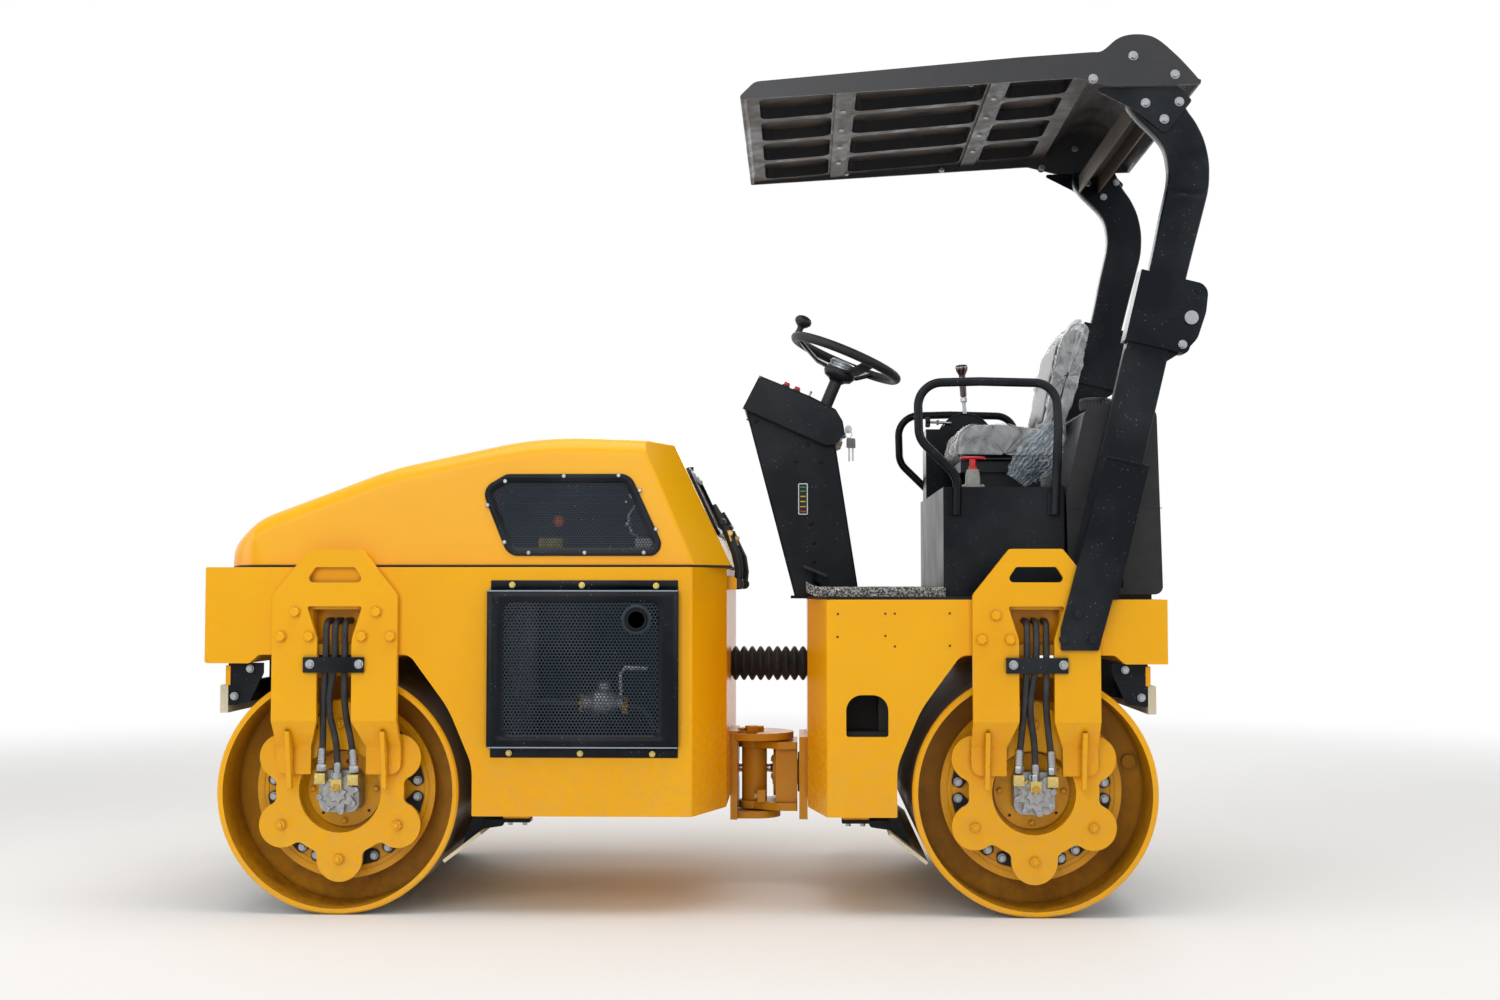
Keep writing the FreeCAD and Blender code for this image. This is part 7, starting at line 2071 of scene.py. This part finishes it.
@dataclass(frozen=True)
class CanopyShell:
    """Moulded canopy: the plain one with its raised rear end drawn to one soft curve."""

    plain: tuple[Corner, ...] = ((980.0, 2483.0, 0.0), (1222.0, 2503.0, 60.0), (1278.0, 2553.0, 40.0),
                                 (1350.0, 2553.0, 60.0), (1470.0, 2470.0, 80.0), (1506.0, 2404.0, 6.0))
    curve: tuple[Pair, ...] = ((1180, 2499.6), (1216, 2503.5), (1262, 2540), (1312, 2552), (1370, 2541), (1430, 2491),
                               (1476, 2441), (1506, 2404))
    hem: float = 2404.0

    def build(self) -> None:
        """Make the canopy, which stands for the plain one."""
        piece = Piece("canopy_shell", Body.CANOPY, Finish.CANOPY)
        piece.borrow("canopy", Vector((9000, 0, 0)), Vector((1, 0, 0)))
        for k in range(40):
            bmesh.ops.bisect_plane(piece.mesh, geom=piece.mesh.verts[:] + piece.mesh.edges[:] + piece.mesh.faces[:],
                                   dist=0.01, plane_co=Vector((1190 + 8 * k, 0, 0)), plane_no=Vector((1, 0, 0)))
        old, new = rounded(self.plain, 8), flow(self.curve, 160)
        for vert in piece.mesh.verts:
            if vert.co.x > self.curve[0][0]:
                was, now = height_at(old, vert.co.x), height_at(new, vert.co.x)
                share = max(0.0, min(1.0, (vert.co.z - self.hem) / max(was - self.hem, 1.0)))
                vert.co.z += (now - was) * share
        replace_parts(piece.make(30), "canopy")


def height_at(line: Sequence[Pair], x: float) -> float:
    """Height of a line of points at x."""
    for (x0, z0), (x1, z1) in zip(line, line[1:]):
        if x0 <= x <= x1:
            return z0 + (z1 - z0) * ((x - x0) / (x1 - x0) if x1 > x0 else 1.0)
    return line[-1][1]


@dataclass(frozen=True)
class PostArch:
    """Bent tubes of the canopy's posts, wrinkled where the bender gripped them, on the plain brackets."""

    front_edge: tuple[Pair, ...] = ((1348, 1850), (1351, 1865), (1366, 1931), (1383, 2013), (1398, 2076), (1407, 2120),
                                    (1409, 2158), (1401, 2209), (1383, 2244), (1352, 2278), (1318, 2312),
                                    (1290, 2352), (1290, 2390))
    rear_edge: tuple[Pair, ...] = ((1452, 1818), (1456, 1833), (1481, 1930), (1508, 2031), (1524, 2097), (1528, 2151),
                                   (1525, 2195), (1513, 2246), (1491, 2294), (1464, 2335), (1438, 2390))
    gusset: tuple[Corner, ...] = ((1186.0, 2396.0, 6.0), (1438.0, 2400.0, 6.0), (1478.0, 2358.0, 10.0),
                                  (1399.0, 2259.0, 10.0), (1298.0, 2338.0, 60.0))
    bracket_top: float = 1117.3
    outer: float = -545.0
    inner: float = -489.0
    stations: int = 84

    def build(self) -> None:
        """Keep the brackets of the plain arches and put the bent tubes and gussets on them."""
        piece = Piece("post_arches", Body.CANOPY, Finish.BLACK)
        post = PostTrim()
        top = post.on_post(self.bracket_top, 0, 0)
        along = (top - post.on_post(0, 0, 0)).normalized()
        piece.borrow("upper_arches", top, along)
        bmesh.ops.holes_fill(piece.mesh, edges=[e for e in piece.mesh.edges if e.is_boundary], sides=0)
        for way in (1, -1):
            piece.loft([[Vector((p.x, p.y * way, p.z)) for p in self.section(Vector(a), Vector(b))]
                        for a, b in zip(flow(self.front_edge, self.stations), flow(self.rear_edge, self.stations))])
            low, high = sorted((self.outer * way, (self.outer - 6) * way))
            piece.slab(rounded(self.gusset, 6), side_face(0), -high, -low, 0.8)
        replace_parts(piece.make(30), "upper_arches")

    def section(self, front: Vector, rear: Vector) -> list[Vector]:
        """Box section of the tube between its edges, with the outer face dented in the bend."""
        ring = []
        for k in range(13):
            u = 0.035 + 0.93 * k / 12
            x, z = front.lerp(rear, u)
            ring.append(Vector((x, self.outer + self.dent(x, z, u), z)))
        for u, v in ((0.99, 0.08), (1.0, 0.16), (1.0, 0.84), (0.99, 0.92)):
            x, z = front.lerp(rear, u)
            ring.append(Vector((x, self.outer + (self.inner - self.outer) * v, z)))
        for k in range(5):
            x, z = front.lerp(rear, 0.965 - 0.93 * k / 4)
            ring.append(Vector((x, self.inner, z)))
        for u, v in ((0.01, 0.92), (0.0, 0.84), (0.0, 0.16), (0.01, 0.08)):
            x, z = front.lerp(rear, u)
            ring.append(Vector((x, self.outer + (self.inner - self.outer) * v, z)))
        return ring

    def dent(self, x: float, z: float, u: float) -> float:
        """How far the outer face is pressed in: flutes round the bend and one long crease under it."""
        hold = min(1.0, 6 * u, 6 * (1 - u))
        bend = max(0.0, 1 - abs((z - 2205) / 105)) ** 0.5
        flute = 0.5 + 0.5 * math.sin(z / 13.0 + 0.035 * (x - 1400) + 2.5 * noise.noise(Vector((x, z, 0)) / 60))
        crease = math.exp(-((z - 2092 + 0.10 * (x - 1400)) / 8.0) ** 2)
        return hold * (5.0 * bend * flute + 5.5 * crease)


@dataclass(frozen=True)
class TankTrim:
    """Ribbed filler caps and the moulding seam of the tank behind the seat."""

    def build(self) -> None:
        """Make the caps' grips and the seam."""
        piece = Piece("tank_cap_ribs", Body.REAR, Finish.PLASTIC)
        for y in (-380, 380):
            for k in range(30):
                a = 2 * math.pi * k / 30
                spot = Vector((1216 + 46 * math.cos(a), y + 46 * math.sin(a), 1472))
                piece.tube([spot, spot + Vector((0, 0, 22))], 2.6, 6)
            piece.lathe([(47, 1492), (48, 1494), (46, 1500), (38, 1502), (36, 1500.5), (8, 1500.5)],
                        Vector((1216, y, 0)), UP, 40)
        seam = [(1116, 1170), (1255, 1170)], [(1277, 1170), (1391.5, 1170)]
        for (x0, z), (x1, _) in seam:
            piece.tube([Vector((x0, -480.2, z)), Vector((x1, -480.2, z))], 1.1, 6)
            piece.tube([Vector((x0, 480.2, z)), Vector((x1, 480.2, z))], 1.1, 6)
        piece.make()


@dataclass(frozen=True)
class HitchTrim:
    """Bolts, grease block and lock on the hitch, and the inner scrapers' bars."""

    def build(self) -> None:
        """Make the hitch's small pieces."""
        piece = Piece("hitch_bolts", Body.FRONT, Finish.HITCH_YELLOW)
        for x, y, size in ((150, -62, 19), (178, -74, 32)):
            piece.bolt(Vector((x, y, 479)), UP, size, size * 0.62, size * 0.62)
        piece.slab(rounded([(132, -84, 6), (190, -84, 6), (190, -48, 6), (132, -48, 6)], 3),
                   Facing(Vector((0, 0, 479)), Vector((1, 0, 0)), Vector((0, 1, 0))), -0.5, 6, 1)
        piece.make()
        lock = Piece("hitch_clamp", Body.KNUCKLE, Finish.HITCH_YELLOW, Finish.PASSIVATED)
        block = rounded([(196, 262, 2), (222, 262, 2), (222, 300, 4), (196, 300, 4)], 2)
        lock.slab(block, side_face(0), 58, 84, 1.5)
        lock.brush(Finish.PASSIVATED)
        lock.bolt(Vector((196, -70, 280)), Vector((-1, 0, 0)), 15, 9, 10)
        lock.make()
        for name, axle, way, body in (("front", FRONT_AXLE, 1, Body.FRONT), ("rear", REAR_AXLE, -1, Body.REAR)):
            bar = Piece(name + "_scraper_fixings", body, Finish.BLACK, Finish.YELLOW, Finish.ZINC)
            far, near = axle + way * 549, axle + way * 415
            low, high = sorted((far, near))
            for y in (-520, 520):
                bar.brush(Finish.BLACK)
                bar.slab(rounded([(low, y - 28, 4), (high, y - 28, 4), (high, y + 28, 4), (low, y + 28, 4)], 3),
                         Facing(Vector((0, 0, 0)), Vector((1, 0, 0)), Vector((0, 1, 0))), 258, 268, 1)
                bar.brush(Finish.YELLOW)
                a, b = sorted((axle + way * 545, axle + way * 470))
                bar.slab(rounded([(a, y - 24, 3), (b, y - 24, 3), (b, y + 24, 3), (a, y + 24, 3)], 3),
                         Facing(Vector((0, 0, 0)), Vector((1, 0, 0)), Vector((0, 1, 0))), 267.5, 286, 1)
                bar.brush(Finish.ZINC)
                for x in (axle + way * 530, axle + way * 488):
                    bar.bolt(Vector((x, y, 258)), -UP, 13, 8, 9)
            for x, z in ((258, 703), (303, 624)):
                bar.bolt(Vector((axle - way * x, -597, z)), NEAR, 18, 9, 12)
                bar.bolt(Vector((axle - way * x, 597, z)), -NEAR, 18, 9, 12)
            bar.brush(Finish.YELLOW)
            a, b = sorted((axle - way * 330, axle - way * 316))
            bar.slab([(a, 656), (b, 656), (b, 712), (a, 712)], side_face(0), 560, 596, 1)
            bar.slab([(a, 656), (b, 656), (b, 712), (a, 712)], side_face(0), -596, -560, 1)
            bar.make()


@dataclass(frozen=True)
class RearFlank:
    """Near-black pocket behind the hole in the rear frame's flank, painted shade where the opening would show through,
    and the flank's small tapped holes, drawn as dark discs of painted shade.
    """

    hole: tuple[float, float, float, float] = (462.0, 582.0, 513.0, 632.0)
    taps: tuple[Pair, ...] = ((439.0, 862.0), (574.0, 863.0), (601.0, 863.0), (757.0, 864.0), (438.0, 797.0),
                              (574.0, 800.0), (601.0, 770.0), (757.0, 772.0))

    def build(self) -> None:
        """Make the pocket and the holes' rims on both sides."""
        x0, x1, z0, z1 = self.hole
        # painted shade: near-black plates behind the flank's opening
        pocket = Piece("flank_shade_pocket", Body.REAR, Finish.DARK)
        pocket.slab([(x0 - 20, z0 - 16), (x1 + 24, z0 - 16), (x1 + 24, z1 + 20), (x0 - 20, z1 + 20)], side_face(0),
                    470, 474, 0.5)
        pocket.slab([(x1 - 26, z0 - 16), (x1 + 24, z0 - 16), (x1 + 24, z1 + 20), (x1 - 26, z1 + 20)], side_face(0),
                    474, 560, 0.5)
        pocket.slab([(x0 - 20, z0 - 16), (x1 + 24, z0 - 16), (x1 + 24, z0 + 12), (x0 - 20, z0 + 12)], side_face(0),
                    474, 590, 0.5)
        pocket.mirror().make()
        # painted shade: dark discs stand for the shade inside the tapped holes
        taps = Piece("flank_tapped_holes", Body.REAR, Finish.DARK)
        for x, z in self.taps:
            taps.lathe([(3.4, -0.4), (3.4, 0.3), (2.2, 0.4)], Vector((x, -FLANK, z)), NEAR, 12)
        taps.mirror().make()


@dataclass(frozen=True)
class Bellows:
    """Convoluted hose sleeve across the hitch, in two lengths."""

    height: float = 695.0
    radius: float = 55.0
    crest: float = 25.0
    depth: float = 17.0

    def build(self) -> None:
        """Make both lengths, which stand for the plain ones."""
        for node, first, second in (("bellows_front", Body.FRONT, Body.KNUCKLE),
                                    ("bellows_rear", Body.KNUCKLE, Body.REAR)):
            low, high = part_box(node)
            x0, x1 = (low.x - SHIFT) * 1000, (high.x - SHIFT) * 1000
            count = max(2, round((x1 - x0) / self.crest))
            pitch = (x1 - x0) / count
            profile = []
            for k in range(count * 8 + 1):
                t = k / 8
                wave = 0.5 - 0.5 * math.cos(2 * math.pi * t)
                profile.append((self.radius - self.depth * (1 - wave ** 0.55), x0 + t * pitch))
            piece = Piece(node + "_sleeve", "", Finish.RUBBER)
            piece.lathe(profile, Vector((0, 0, self.height)), Vector((1, 0, 0)), 40)
            sleeve = piece.make(60)
            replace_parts(sleeve, node)
            tuple(at(x0, 0, self.height))
            tuple(at(x1, 0, self.height))
            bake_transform(sleeve)


# Studio


@dataclass
class Studio:
    """Pale floor and backdrop, soft lights and the camera where the photographer stood."""

    eye: Corner = (331.4, -5700.0, 944.7)
    yaw: float = math.atan2(50.0, 1773.67)
    pitch: float = math.radians(2.744)
    focal: float = 1773.67 / 1500.0 * 36.0
    floor_half: float = 30.0

    def build(self) -> None:
        """Set up everything that isn't the machine."""
        self.camera()
        self.floor()
        self.lights()
        self.world()
        bpy.context.scene.view_settings.view_transform = "Standard"

    def camera(self) -> None:
        """Camera solved from the two drum rims and the edges that run away from it."""
        lens = bpy.data.cameras.new("camera")
        lens.sensor_width = 36.0
        lens.lens = self.focal
        lens.clip_end = 200.0
        holder = bpy.data.objects.new("camera", lens)
        holder.location = at(*self.eye)
        look = Vector((-math.sin(self.yaw) * math.cos(self.pitch), math.cos(self.yaw) * math.cos(self.pitch),
                       math.sin(self.pitch)))
        holder.rotation_euler = look.to_track_quat("-Z", "Y").to_euler()
        bpy.context.scene.collection.objects.link(holder)
        bpy.context.scene.camera = holder

    def floor(self) -> None:
        """Wide flat floor at the wheels' lowest point."""
        half = self.floor_half
        data = bpy.data.meshes.new("floor")
        corners = [(-half, -half, 0), (half, -half, 0), (half, half, 0), (-half, half, 0)]
        data.from_pydata(corners, [], [(0, 1, 2, 3)])
        data.materials.append(PAINT.get(Finish.FLOOR))
        sheet = bpy.data.objects.new("floor", data)
        bpy.context.scene.collection.objects.link(sheet)

    def lights(self) -> None:
        """A large soft light overhead, a wide one behind the camera and a low one from each end."""
        for name, place, aim, wide, high, watts in (
                ("overhead", (0.3, -1.0, 5.5), (0.0, 0.0, 0.8), 6.0, 4.0, 205.0),
                ("front_soft", (-1.6, -6.0, 3.4), (0.0, 0.0, 1.0), 4.5, 3.0, 88.0),
                ("end_left", (-5.5, -1.5, 2.0), (0.0, 0.0, 1.0), 2.5, 2.5, 45.0),
                ("end_right", (5.5, -2.0, 2.2), (0.0, 0.0, 1.0), 2.5, 2.5, 45.0),
                ("behind", (0.5, 5.5, 3.0), (0.0, 0.0, 1.0), 4.0, 2.5, 80.0)):
            lamp = bpy.data.lights.new(name, "AREA")
            lamp.shape = "RECTANGLE"
            lamp.size, lamp.size_y, lamp.energy = wide, high, watts
            holder = bpy.data.objects.new(name, lamp)
            holder.location = place
            holder.rotation_euler = (Vector(aim) - Vector(place)).to_track_quat("-Z", "Y").to_euler()
            bpy.context.scene.collection.objects.link(holder)

    def world(self) -> None:
        """Even light from all round, white to the eye and in reflections."""
        sky = bpy.data.worlds.new("studio")
        sky.use_nodes = True
        tree = sky.node_tree
        back = tree.nodes["Background"]
        path = tree.nodes.new("ShaderNodeLightPath")
        seen = tree.nodes.new("ShaderNodeMath")
        seen.operation = "MAXIMUM"
        either = tree.nodes.new("ShaderNodeMath")
        either.operation = "MAXIMUM"
        tree.links.new(path.outputs["Is Camera Ray"], either.inputs[0])
        tree.links.new(path.outputs["Is Glossy Ray"], either.inputs[1])
        tree.links.new(either.outputs[0], seen.inputs[0])
        tree.links.new(path.outputs["Is Transmission Ray"], seen.inputs[1])
        level = tree.nodes.new("ShaderNodeMapRange")
        tree.links.new(seen.outputs[0], level.inputs[0])
        level.inputs[3].default_value = 0.36
        level.inputs[4].default_value = 1.0
        tree.links.new(level.outputs[0], back.inputs["Strength"])
        back.inputs["Color"].default_value = (1.0, 1.0, 1.0, 1.0)
        bpy.context.scene.world = sky


def main() -> None:
    """Build the studio and the machine's pieces in order."""
    logging.basicConfig(level=logging.INFO, format="%(message)s")
    Studio().build()
    FrameDresser().run()
    DrumEnd("front", FRONT_AXLE, Body.FRONT, ((-113, 868), (121, 868), (-153, 798), (-72, 798), (80, 798),
                                              (162, 798))).build()
    DrumEnd("rear", REAR_AXLE, Body.REAR, ((-115, 859), (-155, 791), (-75, 791))).build()
    for group in (VentPan(), HoodShell(), HoodGrille(), HoodTrim(), CanopyShell(), PostArch(), RearFlank(), Pedestal(), HoodLatch(), Wheel(), ConsoleTrim(), LoopMat(), Controls(), Seat(),
                  PostTrim(), TankTrim(), HitchTrim(), Bellows()):
        group.build()


if __name__ == "__main__":
    main()
